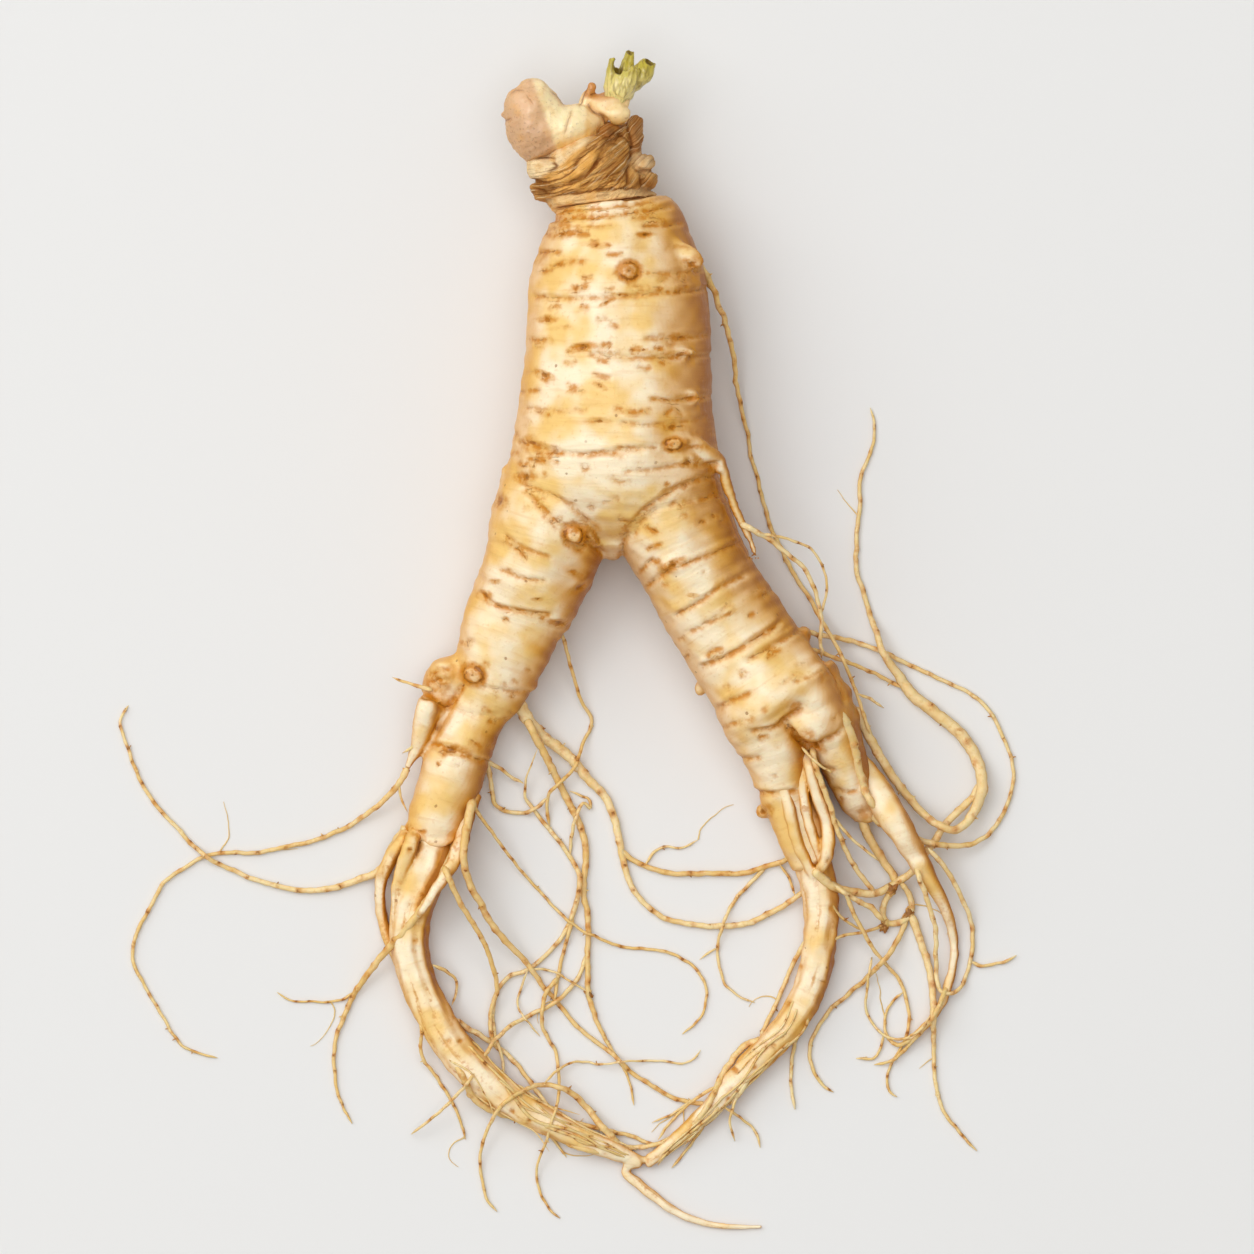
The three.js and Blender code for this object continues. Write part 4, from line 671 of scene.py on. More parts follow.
@dataclass
class Marks:
    """What the creases and scars leave at the corners of a skin.

    Attributes:
        creases: Creases and dashes.
        scars: Rows of x, y, half width, half length, turn in degrees and whether it is a ringed button.
        patches: Rows of x, y, reach and strength of corky patches.
        reach: How far from a crease its distance is still kept.
        spread: How far the stain beside a crease reaches.
    """

    creases: Sequence[Crease]
    scars: Sequence[Point] = ()
    patches: Sequence[Point] = ()
    reach: float = 1.1
    spread: float = 0.5

    def press(self, mesh: Mesh) -> None:
        """Grooves the skin and keeps at each corner its nearest crease and scar, and how stained it is.

        Args:
            mesh: The skin.
        """
        count = len(mesh.points)
        relief, stain = np.zeros(count), np.zeros(count)
        away, width = np.full(count, FAR), np.full(count, 0.1)
        nearest, strength = np.full(count, FAR), np.zeros(count)
        for crease in self.creases:
            near, left, share = crease.read(mesh.points)
            wide = max(0.5, 2.6 * crease.width)
            relief[near] -= crease.depth * share * bell(left, wide)
            relief[near] += crease.lip * share * bell(left - 1.8 * wide, 1.2 * wide)
            soft = bell(left + 0.3 * self.spread, self.spread + 1.5 * crease.width)
            stain[near] = np.maximum(stain[near], crease.strength * share * soft)
            ratio = np.abs(left) + 2 * (1 - share)
            closer = ratio < nearest[near]
            spots = near[closer]
            nearest[spots] = ratio[closer]
            away[spots] = left[closer]
            width[spots] = crease.width
            fade = 1 - smoothstep(np.abs(left[closer]), 0.45 * self.reach, self.reach)
            strength[spots] = crease.strength * share[closer] * fade
        button, pit, bare = np.full(count, NO_SCAR), np.full(count, NO_SCAR), np.zeros(count)
        for x, y, half, long, turn, *ringed in self.scars:
            gap = mesh.points[:, :2] - (x, y)
            cos, sin = math.cos(math.radians(turn)), math.sin(math.radians(turn))
            across = (gap[:, 0] * cos + gap[:, 1] * sin) / half
            along = (gap[:, 1] * cos - gap[:, 0] * sin) / long
            here = np.hypot(across, along)
            size = min(half, long)
            if ringed:
                button = np.minimum(button, here)
                relief += size * (0.22 * (1 - smoothstep(here, 0.7, 1.05)) - 0.16 * bell(here - 1.2, 0.22))
                bare = np.maximum(bare, 0.9 * (1 - smoothstep(here, 1.0, 1.9)))
            else:
                pit = np.minimum(pit, here)
                lip = bell(np.hypot(0.6 * across, along - 1.4), 0.8)
                relief += size * (0.34 * lip - 0.3 * bell(here, 0.7))
                bare = np.maximum(bare, 1 - smoothstep(np.hypot(0.5 * across, along), 0.4, 1.5))
        for x, y, reach, amount in self.patches:
            here = np.hypot(*(mesh.points[:, :2] - (x, y)).T)
            bare = np.maximum(bare, amount * (1 - smoothstep(here, 0.3 * reach, reach)))
        mesh.swell(relief)
        normals = mesh.normals()
        # flank (how far a corner faces sideways) and shaded (how far it faces +X, away from the lamps) are
        # painted as shade by the finishes
        mesh.values |= {
            "flank": 1 - normals[:, 2],
            "shaded": np.clip(normals[:, 0], 0, 1),
            "crease_away": np.clip(away, -3, 3),
            "crease_width": width,
            "crease_strength": strength,
            "stain": np.clip(0.8 * stain + bare, 0, 1),
            "button": button,
            "pit": pit,
        }


# Flesh


def lying(outline: Limbs, flatness: float, lift: float) -> list[Point]:
    """Returns the stations of a limb that lies on the table, from x, y, half width and half height.

    Args:
        outline: Rows of x, y, half width and, where it differs, half height.
        flatness: Half height as a share of half width.
        lift: Height of the underside over the table.

    Returns:
        Rows of x, y, z, half width and half height.
    """
    stations = []
    for x, y, half, *tall in outline:
        high = tall[0] if tall else half * flatness
        stations.append((x, y, high + lift, half, high))
    return stations


def at_height(outline: Limbs, height: float) -> list[Point]:
    """Returns the stations of a limb held at a height, from x, y, the rise over that and half sizes."""
    return [(x, y, height + rise, *halves) for x, y, rise, *halves in outline]


@dataclass
class Part:
    """One limb of the flesh, with how far its first station is from the crown along the root.

    Attributes:
        limb: The limb.
        start: Distance from the crown at its first station.
        sense: 1 where it grows away from the crown and -1 where its stations run towards it.
    """

    limb: Limb
    start: float
    sense: int = 1


def leg(outline: Limbs, start: float, blend: float = 1.1) -> Part:
    """Returns a leg whose underside is flattened by the table."""
    return Part(Limb(lying(outline, LEG_FLATNESS, -REST_SINK), blend, (0.3, 0.3)), start)


def fork(outline: Limbs, start: float) -> Part:
    """Returns a fork at the foot of a leg."""
    return Part(Limb(lying(outline, LEG_FLATNESS, REST_CLEAR), 1.4, (0.3, 0.3)), start)


def tail(outline: Limbs, start: float) -> Part:
    """Returns a tail."""
    return Part(Limb(lying(outline, TAIL_FLATNESS, REST_CLEAR), 0.9, (0.3, 0.3)), start)


TORSO = Part(Limb(BODY, 2.0, (0.25, 0.2)), 68, -1)
LEGS = (leg(LEFT_LEG, 50), leg(RIGHT_LEG, 55))
FORKS = (fork(RIGHT_INNER_LEG, 94), fork(RIGHT_OUTER_LEG, 100))
TAILS = (tail(LEFT_TAIL, 120), tail(RIGHT_TAIL, 130), tail(LOWEST_TIP, 220))
SKIN_LIMBS = tuple(part.limb for part in (TORSO, *LEGS, *FORKS, *TAILS[:2]))


def skin_height(places: Array) -> Array:
    """Returns the height of the skin over rows of x and y, or 0 beside the root."""
    return np.max([limb.skin(places) for limb in SKIN_LIMBS], axis=0)


def lump_knobs() -> list[Knob]:
    """Returns the lumps, each sunk a little into the skin where it isn't held at a height.

    Returns:
        The lumps as knobs.
    """
    knobs = []
    for x, y, wide, long, high, turn, *height in LUMPS:
        z = height[0] if height else float(skin_height(np.array([(x, y)]))[0]) - LUMP_SINK * high
        knobs.append(Knob((x, y, z), (wide, long, high), turn, 0.9))
    return knobs


def measure(mesh: Mesh, parts: Sequence[Part]) -> None:
    """Keeps at each corner how far along the root and how far round its limb it is.

    Args:
        mesh: The skin, with its corners.
        parts: The limbs that it is made of.
    """
    weights, along, around = [], [], []
    for part in parts:
        shape = part.limb.shape(mesh.points[:, :2])
        up = mesh.points[:, 2] - shape["z"]
        ratio = np.sqrt(shape["flat"] + (up / shape["tall"]) ** 2)
        weights.append((ratio - 1) * np.minimum(shape["tall"], shape["half"]))
        along.append(part.start + part.sense * shape["along"])
        turn = np.arctan2(shape["left"] / shape["half"], up / shape["tall"])
        around.append(turn * shape["half"] * part.sense)
    weights = np.array(weights)
    weights = np.exp(-(weights - weights.min(0)) / 0.8)
    weights /= weights.sum(0)
    mesh.values |= {"along": (weights * along).sum(0), "around": (weights * around).sum(0)}


def random_dashes(parts: Sequence[Part], count: int, seed: int) -> list[Crease]:
    """Returns short brown dashes across limbs, more of them towards their edges.

    Args:
        parts: The limbs.
        count: How many dashes there are.
        seed: Seed of the draws.

    Returns:
        The dashes.
    """
    rng = np.random.default_rng(seed)
    areas = np.array([part.limb.route.length * part.limb.route.girth[:, 0].mean() for part in parts])
    dashes = []
    for part in rng.choice(len(parts), count, p=areas / areas.sum()):
        limb = parts[part].limb
        index = rng.integers(2, len(limb.route.at) - 2)
        half = limb.route.girth[index, 0]
        side = np.sign(rng.normal()) * rng.uniform(0, 1) ** 0.6
        long = rng.uniform(0.04, 0.16) if rng.random() < 0.8 else rng.uniform(0.2, 0.7)
        tilt, bend = rng.normal(0, 0.07), rng.normal(0, 0.04)
        heading = limb.route.heading[index]
        across = np.array((-heading[1], heading[0]))
        spots = []
        for share in (-0.5, 0, 0.5):
            reach = (side + share * long) * half
            ahead = tilt * reach + bend * half * (share != 0)
            spots.append(limb.route.at[index, :2] + across * reach + heading * ahead)
        depth, strength = rng.uniform(0.02, 0.14), rng.uniform(0.3, 0.95)
        dashes.append(Crease([tuple(spot) for spot in spots], depth, strength, rng.uniform(0.05, 0.2)))
    return dashes


@dataclass
class Flesh:
    """The body with its legs and forks, as one skin.

    Attributes:
        step: Distance between field values.
        swell: Depth of its broad unevenness.
        grain: Depth of its small unevenness.
        dashes: How many short dashes cross it.
        seed: Seed of its random marks.
    """

    step: float = 0.5
    swell: float = 0.2
    grain: float = 0.05
    dashes: int = 190
    seed: int = 11

    def build(self, side_roots: Sequence[Limb]) -> Mesh:
        """Makes the skin.

        Args:
            side_roots: Thick side roots that melt into it.

        Returns:
            The skin with its marks.
        """
        parts = (TORSO, *LEGS, *FORKS)
        forms = [part.limb for part in parts] + lump_knobs() + list(side_roots)
        clay = Clay(forms, self.step)
        left, right = np.array(NECK_LINE)
        normal = np.array((left[1] - right[1], right[0] - left[0])) / np.linalg.norm(right - left)
        clay.cut(tuple(normal), float(normal @ left))
        mesh = clay.skin()
        # how deep each corner lies between forms, which the finish paints as shade in creases and crotches
        mesh.values["hollow"] = np.maximum(clay.hollow(mesh, 3.5), clay.hollow(mesh, 1.5))
        relief = self.swell * Waves(11, self.seed).at(mesh.points)
        relief += self.grain * Waves(3.2, self.seed + 1).at(mesh.points)
        mesh.swell(relief)
        measure(mesh, parts)
        coat = np.column_stack([mesh.values["along"], 0.12 * mesh.values["around"]])
        rings = Waves(2.6, self.seed + 2, 6).at(coat)
        mesh.swell(0.05 * rings)
        creases = [
            Crease(points, 1.5 * depth, strength, 0.07 + 0.12 * depth, 0.5 * depth)
            for depth, strength, points in CREASES
        ]
        Marks(creases + random_dashes(parts, self.dashes, self.seed), SCARS, PATCHES).press(mesh)
        mesh.values["furrow"] = np.zeros(len(mesh.points))
        mesh.points[:, 2] = mesh.points[:, 2].clip(0)
        return mesh


@dataclass
class Tails:
    """The two tails, the lowest tip and the thick strands that hug them, as one skin.

    Attributes:
        step: Distance between field values.
        groove: Depth of the furrows that run along a tail.
        dashes: How many short dashes cross them.
        seed: Seed of its random marks.
    """

    step: float = 0.33
    groove: float = 0.09
    dashes: int = 36
    seed: int = 23

    def build(self, strands: Sequence[Limb]) -> Mesh:
        """Makes the skin of the tails with the given strands.

        Args:
            strands: Thick strands that melt into them.

        Returns:
            The skin with its marks.
        """
        forms = [part.limb for part in TAILS] + list(strands)
        forms += [Knob((x, y, size + REST_CLEAR), (size, size, size), 0, 0.6) for x, y, size in KNOTS[:1]]
        clay = Clay(forms, self.step)
        mesh = clay.skin()
        # how deep each corner lies between forms, which the finish paints as shade
        mesh.values["hollow"] = np.maximum(clay.hollow(mesh, 2.5), clay.hollow(mesh, 1.2))
        measure(mesh, TAILS)
        along, around = mesh.values["along"], mesh.values["around"]
        furrows = np.sin(2.1 * around + 0.18 * along + 1.5 * Waves(16, self.seed).at(mesh.points))
        relief = self.groove * furrows + 0.08 * Waves(2.4, self.seed + 1).at(mesh.points)
        mesh.swell(relief)
        Marks(random_dashes(TAILS, self.dashes, self.seed)).press(mesh)
        shown = smoothstep(Waves(9, self.seed + 3).at(mesh.points), -0.6, 0.6)
        mesh.values["furrow"] = smoothstep(-furrows, 0.3, 1) * shown
        mesh.points[:, 2] = mesh.points[:, 2].clip(TABLE_GAP)
        return mesh


# Rootlets

# Radii spread evenly along a rootlet, and the points of its route: [x, y] lies on the table or on what is
# under it there, and [x, y, z] is where it leaves a limb or bridges a space
ROUTES: dict[str, tuple[Point, tuple[Point, ...]]] = {
    # left side, from the lump on the left leg
    "left_lump": ((2.8, 4.0, 3.6, 1.6), (
        (-19.5, -5, 6.5), (-22.8, -7.5, 5.6), (-23.9, -10, 5.2), (-24.3, -12.6, 5),
    )),
    "left_side_root": ((1.9, 2.1, 1.9, 1.3, 0.8), (
        (-25.4, -10, 5.5), (-26.6, -14, 4.8), (-27.4, -17.6, 4.2), (-28.6, -21, 3.0), (-30.6, -25.2, 1.6),
    )),
    "left_upper_long": ((0.75, 0.55, 0.5, 0.45, 0.45, 0.4, 0.35, 0.25), (
        (-30.2, -24.4, 1.8), (-32, -27.8, 1.0), (-36, -31.5), (-40, -34.4), (-45, -37), (-50, -38.7),
        (-55, -39.7), (-60, -40.5), (-64.5, -40.5), (-68.5, -41.1), (-73, -43.6), (-76.3, -46), (-79, -50.8),
        (-81.7, -55.8), (-82.4, -60), (-81.5, -63.3), (-79, -67.5), (-76, -72.5), (-73.4, -76.9),
        (-70, -78.5), (-66.3, -79.5),
    )),
    "left_side_twig": ((0.5, 0.25), ((-27.6, -19, 3.6), (-29.5, -20.6, 3), (-31.2, -21.6, 2.4))),
    "left_fork_twig": ((0.35, 0.25, 0.2), ((-31.8, -27.4, 1), (-31.4, -30), (-30.2, -32.8))),
    "left_stub": ((0.55, 0.35, 0.3), ((-25.5, -9.6, 5.4), (-29.5, -8.5, 5.4), (-33, -7.2, 5))),
    "left_lower_long": ((1.5, 0.9, 0.65, 0.55, 0.5, 0.45, 0.4, 0.3), (
        (-29.5, -36, 4.2), (-32.5, -39, 3.4), (-35.3, -43.6, 1.8), (-40, -45.8), (-45, -47.4), (-50, -47.7),
        (-55, -46.8), (-60, -45), (-64.5, -43.3), (-68.5, -41), (-72.3, -37.8), (-76, -33.8), (-79, -30),
        (-81, -27.4), (-82.6, -22.5), (-84.9, -15.5), (-83.2, -12.5),
    )),
    "left_loop": ((1.5, 1.3, 1.1, 1.1, 1.0, 0.9), (
        (-29.8, -36.5, 4), (-33.3, -41.5, 2.6), (-35.2, -46.5, 1.6), (-35.1, -52, 1.2), (-33.6, -57.5, 1.2),
        (-31.4, -62.2, 1.3), (-28.6, -66.8, 1.6), (-26.4, -70.5, 2),
    )),
    "left_strap": ((1.4, 1.3, 1.1, 0.9), (
        (-28.6, -36.5, 5.2), (-30.6, -42, 4.4), (-32, -48, 3.4), (-31.8, -54, 2.6), (-30.5, -60, 2.2),
    )),
    # the root that runs down and left over the left tail
    "left_diagonal": ((0.6, 0.75, 0.9, 0.75, 0.6, 0.45, 0.35, 0.25), (
        (-20.8, -36.5, 5.2), (-21.8, -40, 6.4), (-24, -45, 7.9), (-27.4, -50.8, 8.1), (-31, -55.7, 6.4),
        (-34.6, -59.6, 3.8), (-37.8, -63.8, 1.6), (-40.2, -67.2), (-42.2, -71.4), (-43.7, -76), (-44.3, -81),
        (-43.8, -85), (-42.5, -89), (-40.7, -92),
    )),
    "left_diagonal_twig": ((0.3, 0.25, 0.2), (
        (-39.8, -66.8), (-43.5, -68.5), (-47, -69), (-53, -68.2), (-55, -67),
    )),
    "left_brown_root": ((1.5, 1.5, 1.3, 1.0, 0.6), (
        (-17.6, -29.5, 4.8), (-18.9, -34, 4.6), (-20.6, -40, 4.2), (-22.8, -44.5, 5), (-25.4, -48.5, 6.2),
        (-28, -52.3, 6.2),
    )),
    "left_tail_curl": ((0.45, 0.35, 0.3, 0.25), (
        (-25.4, -61.8, 4), (-22.6, -63, 2.6), (-20.9, -64.8), (-20.9, -67, 1), (-21.8, -69.5, 2),
    )),
    "left_tail_outer": ((0.6, 0.45, 0.4, 0.35, 0.25), (
        (-30.2, -64.6, 1.5), (-28.3, -69, 1), (-27.4, -74), (-27.7, -78.4), (-25, -83), (-22, -87.4),
        (-20, -92), (-19.2, -95),
    )),
    "left_tail_strand": ((0.9, 0.85, 0.8, 0.8, 0.7, 0.6), (
        (-28.6, -65.5, 3), (-26.6, -70.6, 2.4), (-23, -77, 1.4), (-20, -82.6), (-17, -87.5), (-13.4, -89.8),
        (-8, -91.4, 1.6), (-2, -94.2, 1.5), (4, -97), (9, -97.6, 1),
    )),
    "tail_upper_strand": ((0.7, 0.6, 0.5, 0.5), (
        (-23.5, -71, 5), (-19, -73.6, 3.2), (-14, -76.8, 1), (-10.4, -80), (-7.4, -83.6), (-5.4, -86.4, 2),
        (-2.6, -89.6, 3.4),
    )),
    "tail_top_strand": ((0.6, 0.5, 0.45, 0.35), (
        (-1.5, -91.2, 3.6), (3, -91.9, 2.2), (7.6, -93, 1.2), (12.4, -94.5), (16, -95.8), (20, -95.6, 1.2),
    )),
    "tail_low_twig": ((0.35, 0.25), ((-3.5, -94, 1), (-1.5, -96), (0, -98.4))),
    "tail_cross": ((0.6, 0.5, 0.5), ((9.5, -96.6, 1.4), (14, -96.4), (18, -95.6), (21.6, -93.8, 1.2))),
    # thick pair from the shelf on the left leg's inner edge
    "middle_thick": ((1.4, 1.2, 1.1, 0.95, 0.8, 0.65, 0.6, 0.65, 0.65, 0.6), (
        (-9.6, -9.6, 6.6), (-8.2, -14, 4.6), (-4.3, -18.4, 2.6), (-1, -21, 1.6), (1.8, -23.8, 1.3),
        (4.2, -26.7), (7, -29.4), (8.9, -33.6), (10.3, -39.6), (11.5, -44), (13.2, -47.7), (16, -51),
        (19.2, -53), (24, -54), (29.5, -54.5), (34.5, -53.9), (39, -52), (43.2, -49.2, 1.6), (46.4, -46.6, 3),
    )),
    "middle_second": ((0.9, 0.85, 0.8, 0.75, 0.7, 0.65, 0.65, 0.55, 0.3, 0.25), (
        (-7.6, -15, 4), (-5.2, -19.8, 2.2), (-3, -24.5), (-1, -28.2), (1, -32), (2.7, -36), (3.8, -40),
        (3.5, -44.4), (3.1, -48), (3.9, -52), (4.2, -56), (4, -60), (4.3, -64), (4.2, -67.6), (5.5, -71.8),
        (8, -76.6), (10.2, -80.6), (12, -84.6), (12.8, -88.5),
    )),
    "middle_link": ((0.6, 0.6, 0.6, 0.6), (
        (10.3, -40, 1), (13, -42.2), (17, -43.8), (21.5, -44.7), (27, -44.4), (32, -44.4), (37, -43.4),
        (41, -42.2), (44, -41, 2.6),
    )),
    "link_twig": ((0.35, 0.2), ((14.9, -42.9), (16.8, -40.4), (19, -39.5), (22.2, -39.6), (25, -38))),
    "link_branch": ((0.45, 0.4, 0.35, 0.3, 0.2), (
        (37.6, -43.5), (34, -47.3), (31, -50.8), (29.5, -54.3, 1.2), (28.7, -58.4), (28.9, -61.3),
        (30.1, -65), (33, -67.8), (35.8, -69),
    )),
    "branch_twig": ((0.3, 0.2), ((28.6, -58.6), (27, -59.5), (25.3, -60.8))),
    "link_cross": ((0.3, 0.3), ((40.4, -42.6), (42, -45), (43.4, -48.6, 1.2))),
    # slender ones between the legs
    "slender_drop": ((0.5, 0.4, 0.4, 0.4, 0.4, 0.35), (
        (-2, 3, 8), (-0.8, 0.2, 5.4), (1, -6, 2), (2.6, -11.5), (4.8, -15.7), (3, -20), (2, -23.8, 1.6),
        (-0.6, -26.6), (-3.4, -29.6), (-3.6, -33), (-3.2, -35.6),
    )),
    "slender_wave": ((0.12, 0.35, 0.5, 0.55, 0.6, 0.5, 0.5, 0.5, 0.45, 0.3), (
        (-5.4, -20.6), (-7.6, -26), (-7.8, -30), (-5.4, -33.2), (-2.6, -36.6), (0.4, -40.8), (2.4, -44.6),
        (2.3, -48.4), (1, -52.6), (-0.6, -56), (-3.6, -59.7), (-7.4, -62.8), (-10.8, -64), (-13, -66.2),
        (-13.9, -70), (-13.6, -74.6), (-12.3, -79), (-11.9, -83, 2),
    )),
    "inner_hook": ((0.6, 0.5, 0.45, 0.4), (
        (-15.2, -22.6, 4), (-14.4, -27, 2.4), (-13.2, -32, 1), (-8.4, -33), (-5.6, -31.9), (-3.5, -29.8),
    )),
    "inner_branch": ((0.5, 0.4, 0.35), ((-15.2, -23, 4), (-11.6, -25.2, 2), (-8.2, -27.3))),
    "inner_curl": ((0.35, 0.4, 0.35, 0.25), (
        (0.7, -41), (0.9, -37.6), (1.6, -34.3), (3.3, -31), (4.6, -32.2), (4.3, -30.2), (0.6, -28.8),
    )),
    "slender_long": ((0.45, 0.35, 0.35, 0.35, 0.35, 0.3, 0.25), (
        (-18, -31, 4), (-15.6, -34.4, 1.6), (-10.6, -41.4), (-5.2, -47.8), (-0.6, -52.6), (5, -56.3, 1.4),
        (10.6, -58.2), (16.6, -59), (20.5, -59.9), (23.8, -61.9), (26.2, -65.8), (26.4, -68.6), (25.5, -71.6),
        (22, -75),
    )),
    "straight_thick": ((1.0, 0.9, 0.8, 0.7, 0.55, 0.5, 0.5, 0.5, 0.5), (
        (-17.8, -30.4, 4), (-18.9, -35.6, 3.4), (-19.5, -41, 2.6), (-18, -47, 1.2), (-14.8, -53),
        (-11, -57.5), (-7, -62.3), (-2.3, -68.6), (2.5, -73.7), (6.5, -77.1), (9.8, -79.8), (14.6, -84),
        (19, -86.3), (23.6, -87.8), (27.2, -88.2, 1.4),
    )),
    "straight_second": ((0.7, 0.6, 0.55, 0.5, 0.5), (
        (-23.2, -43, 3.6), (-21.2, -47.6, 2.4), (-18.2, -53.4), (-15.6, -57.4), (-14, -62), (-13.2, -66.2),
        (-14.3, -70.4), (-14.3, -75), (-13.4, -77.4),
    )),
    "cross_long": ((0.45, 0.5, 0.5, 0.5, 0.45, 0.4, 0.35, 0.3), (
        (4, -59.6), (1.9, -64.3), (-2, -68.9), (-7, -71.5), (-11.6, -74), (-14.8, -77.8), (-18, -83, 4.2),
        (-21, -86.6, 1.6), (-25, -90.3), (-29.5, -94),
    )),
    "cross_thin": ((0.3, 0.25, 0.3), ((-7, -62.6), (-3, -62.9), (1, -65), (4.1, -67))),
    "middle_drop": ((0.45, 0.4, 0.45, 0.4), ((1.2, -53), (-0.4, -59), (-1.6, -64), (-2.2, -68.4))),
    "low_wave": ((0.5, 0.45, 0.4, 0.35, 0.3, 0.3, 0.25), (
        (-1.6, -64.2), (-4, -67.4), (-4.8, -71), (-4.6, -73.8), (-2, -78), (-1.5, -81.8), (-1.4, -85.4),
        (-2.6, -91, 5.4), (-4.2, -96.4, 1.4), (-5.6, -100.4), (-5.5, -103.2), (-4.4, -106), (-2.9, -108.5),
        (-1.2, -110),
    )),
    "low_hair": ((0.25, 0.25, 0.2), ((-7.4, -63), (-8.6, -65.6), (-9.5, -69), (-8, -72), (-5, -75.4))),
    "far_hair": ((0.3, 0.25, 0.25, 0.2), (
        (-4.2, -84.2), (-1.4, -81.6), (2.2, -80.2), (7, -80.6), (13, -80), (18, -80.1), (22, -80.6),
        (24.2, -79.6), (25.5, -78),
    )),
    "low_arch": ((0.8, 0.75, 0.6, 0.5, 0.4, 0.35, 0.3), (
        (10, -96.2, 1.6), (7, -92.6, 1.4), (4, -89), (1, -86.2), (-2, -85), (-5, -84.6), (-8, -85.6, 4.6),
        (-11, -87.4, 6.6), (-14, -91, 2.2), (-15.5, -95), (-16.3, -99.2), (-15.8, -103.2), (-15, -106.5),
        (-13.2, -108.7),
    )),
    # right fork: three pale roots over the tail and the bridge that carries on from them
    "fork_inner": ((1.15, 1.25, 1.2, 1.15, 1.0), (
        (40.6, -26.2, 10.2), (41.9, -30.2, 10.2), (42.7, -34.4, 9.5), (43.6, -37.8, 8.7), (45.2, -41.4, 7.6),
        (47.1, -44.8, 6.4),
    )),
    "fork_middle": ((0.9, 1.1, 1.15, 1.1, 0.9), (
        (45.2, -19.4, 9), (44.8, -23, 10), (44.7, -27, 10), (45.1, -31, 9.5), (46.1, -35, 8.8),
        (47.4, -39, 8), (48.3, -42, 7),
    )),
    "fork_outer": ((0.9, 1.25, 1.35, 1.25, 0.95), (
        (45.4, -22, 4.6), (47.6, -29.4, 6.4), (49.2, -34, 6.2), (49.6, -38, 6.3), (49.2, -41.5, 6.4),
        (47.8, -44.2, 6.2),
    )),
    "fork_hair": ((0.35, 0.3, 0.25), ((44.2, -20, 9.4), (47, -22.8, 10), (50.6, -25.4, 5.6))),
    "bridge": ((1.0, 0.95, 0.85, 0.85, 0.85, 0.8), (
        (46.9, -43.8, 6.2), (50.6, -46.8, 4.6), (55, -48, 3.2), (59, -47.9, 2.4), (62, -46.5, 2.5),
        (65, -44.7, 3.2), (67.6, -42, 3.6), (69.6, -39, 3.6), (71.6, -35.4, 3.2), (75, -32, 2.2),
        (77, -29.6, 1.8), (78.7, -27, 1.6),
    )),
    "outer_under": ((0.7, 0.6, 0.6), (
        (46.6, -20.5, 4.4), (47.2, -24, 3.6), (48.6, -28, 3), (50.2, -32.4, 2.4), (52, -37.4, 1.6),
        (54, -42, 1.2), (56.2, -45.2, 1.4), (58.6, -47.9, 1.8),
    )),
    "outer_pair": ((1.1, 1.0, 0.9, 0.9), (
        (55.6, -32.6, 4), (57.6, -37.4, 2.6), (60, -41.6, 2), (62.2, -45, 2), (62.4, -46.6, 2),
    )),
    "outer_twig": ((0.4, 0.35, 0.3), ((50.4, -33.4, 2.2), (54.4, -38, 1.4), (59.6, -42.2, 1.4))),
    "outer_loop": ((0.9, 0.8, 0.7, 0.55, 0.45, 0.4, 0.45, 0.45, 0.5, 0.55, 0.6), (
        (57, -32.4, 4.6), (59.6, -34.6, 4.8), (63, -36.6, 4.6), (66, -38, 4.4), (69.4, -38.9, 4.8),
        (73, -39.3, 1.8), (76.6, -39), (79.6, -37.4), (82.2, -34.4), (84.1, -30.4), (84.9, -26),
        (84.2, -21.8), (82.9, -18.2), (81, -14.6), (79, -12), (76.6, -10.1), (72.4, -8.2), (68.8, -6.4),
        (64.4, -4.4), (60.2, -2.3, 1.9), (55, -0.7), (50, 0.6, 1.6), (45.4, 1.6, 5),
    )),
    "outer_thick": ((1.0, 2.4, 2.8, 2.4, 1.7, 1.2, 0.9, 0.8, 0.7, 0.6), (
        (53, -18, 4), (56.2, -24, 3.2), (58.8, -28.4, 3), (61.2, -32.6, 3), (64.2, -37.4, 3),
        (67.2, -42.6, 2.8), (69.4, -46.4), (71.6, -50.4), (73.1, -54.6), (73.7, -59.2), (73, -64),
        (71, -69.6), (67, -74.6), (64.6, -76.6),
    )),
    # the thick curl at the right with its long upright tip
    "curl": ((1.1, 1.0, 0.9, 0.9, 1.1, 1.2, 1.25, 1.25, 1.2, 0.85, 0.6, 0.55, 0.5, 0.45, 0.35, 0.25), (
        (54.8, -13, 6.4), (58.4, -20, 4.4), (61.8, -25.8, 2.8), (65.4, -30.4, 2), (68, -33.4, 1.6),
        (71, -35.5), (74, -35.9), (76.6, -34.1), (78.3, -31), (79, -27.6), (78.2, -23.4), (76.2, -19.6),
        (73.6, -16.6), (70.2, -14.2), (67.4, -12), (64.8, -9.4), (62.4, -6), (60, -2.2), (58.5, 2),
        (57.1, 6.4), (55.9, 10.6), (55, 15.2), (55.3, 20), (55.8, 25.2), (55.7, 30), (57, 34.2), (58.3, 38),
        (58.5, 41.2), (57.7, 44),
    )),
    "lower_thigh": ((0.5, 0.45, 0.45), (
        (46.4, -1.8, 7), (51, -3.7, 4.2), (55, -5, 1.8), (58.6, -6.3), (61.6, -8), (63.6, -9.2),
    )),
    "upper_long": ((0.75, 0.65, 0.55, 0.45, 0.45, 0.5, 0.5, 0.45, 0.4, 0.45), (
        (24.9, 71.4, 14.4), (27.2, 67.4, 10.6), (29.5, 62, 6.6), (31.4, 55, 2.8), (32.8, 47, 1.2),
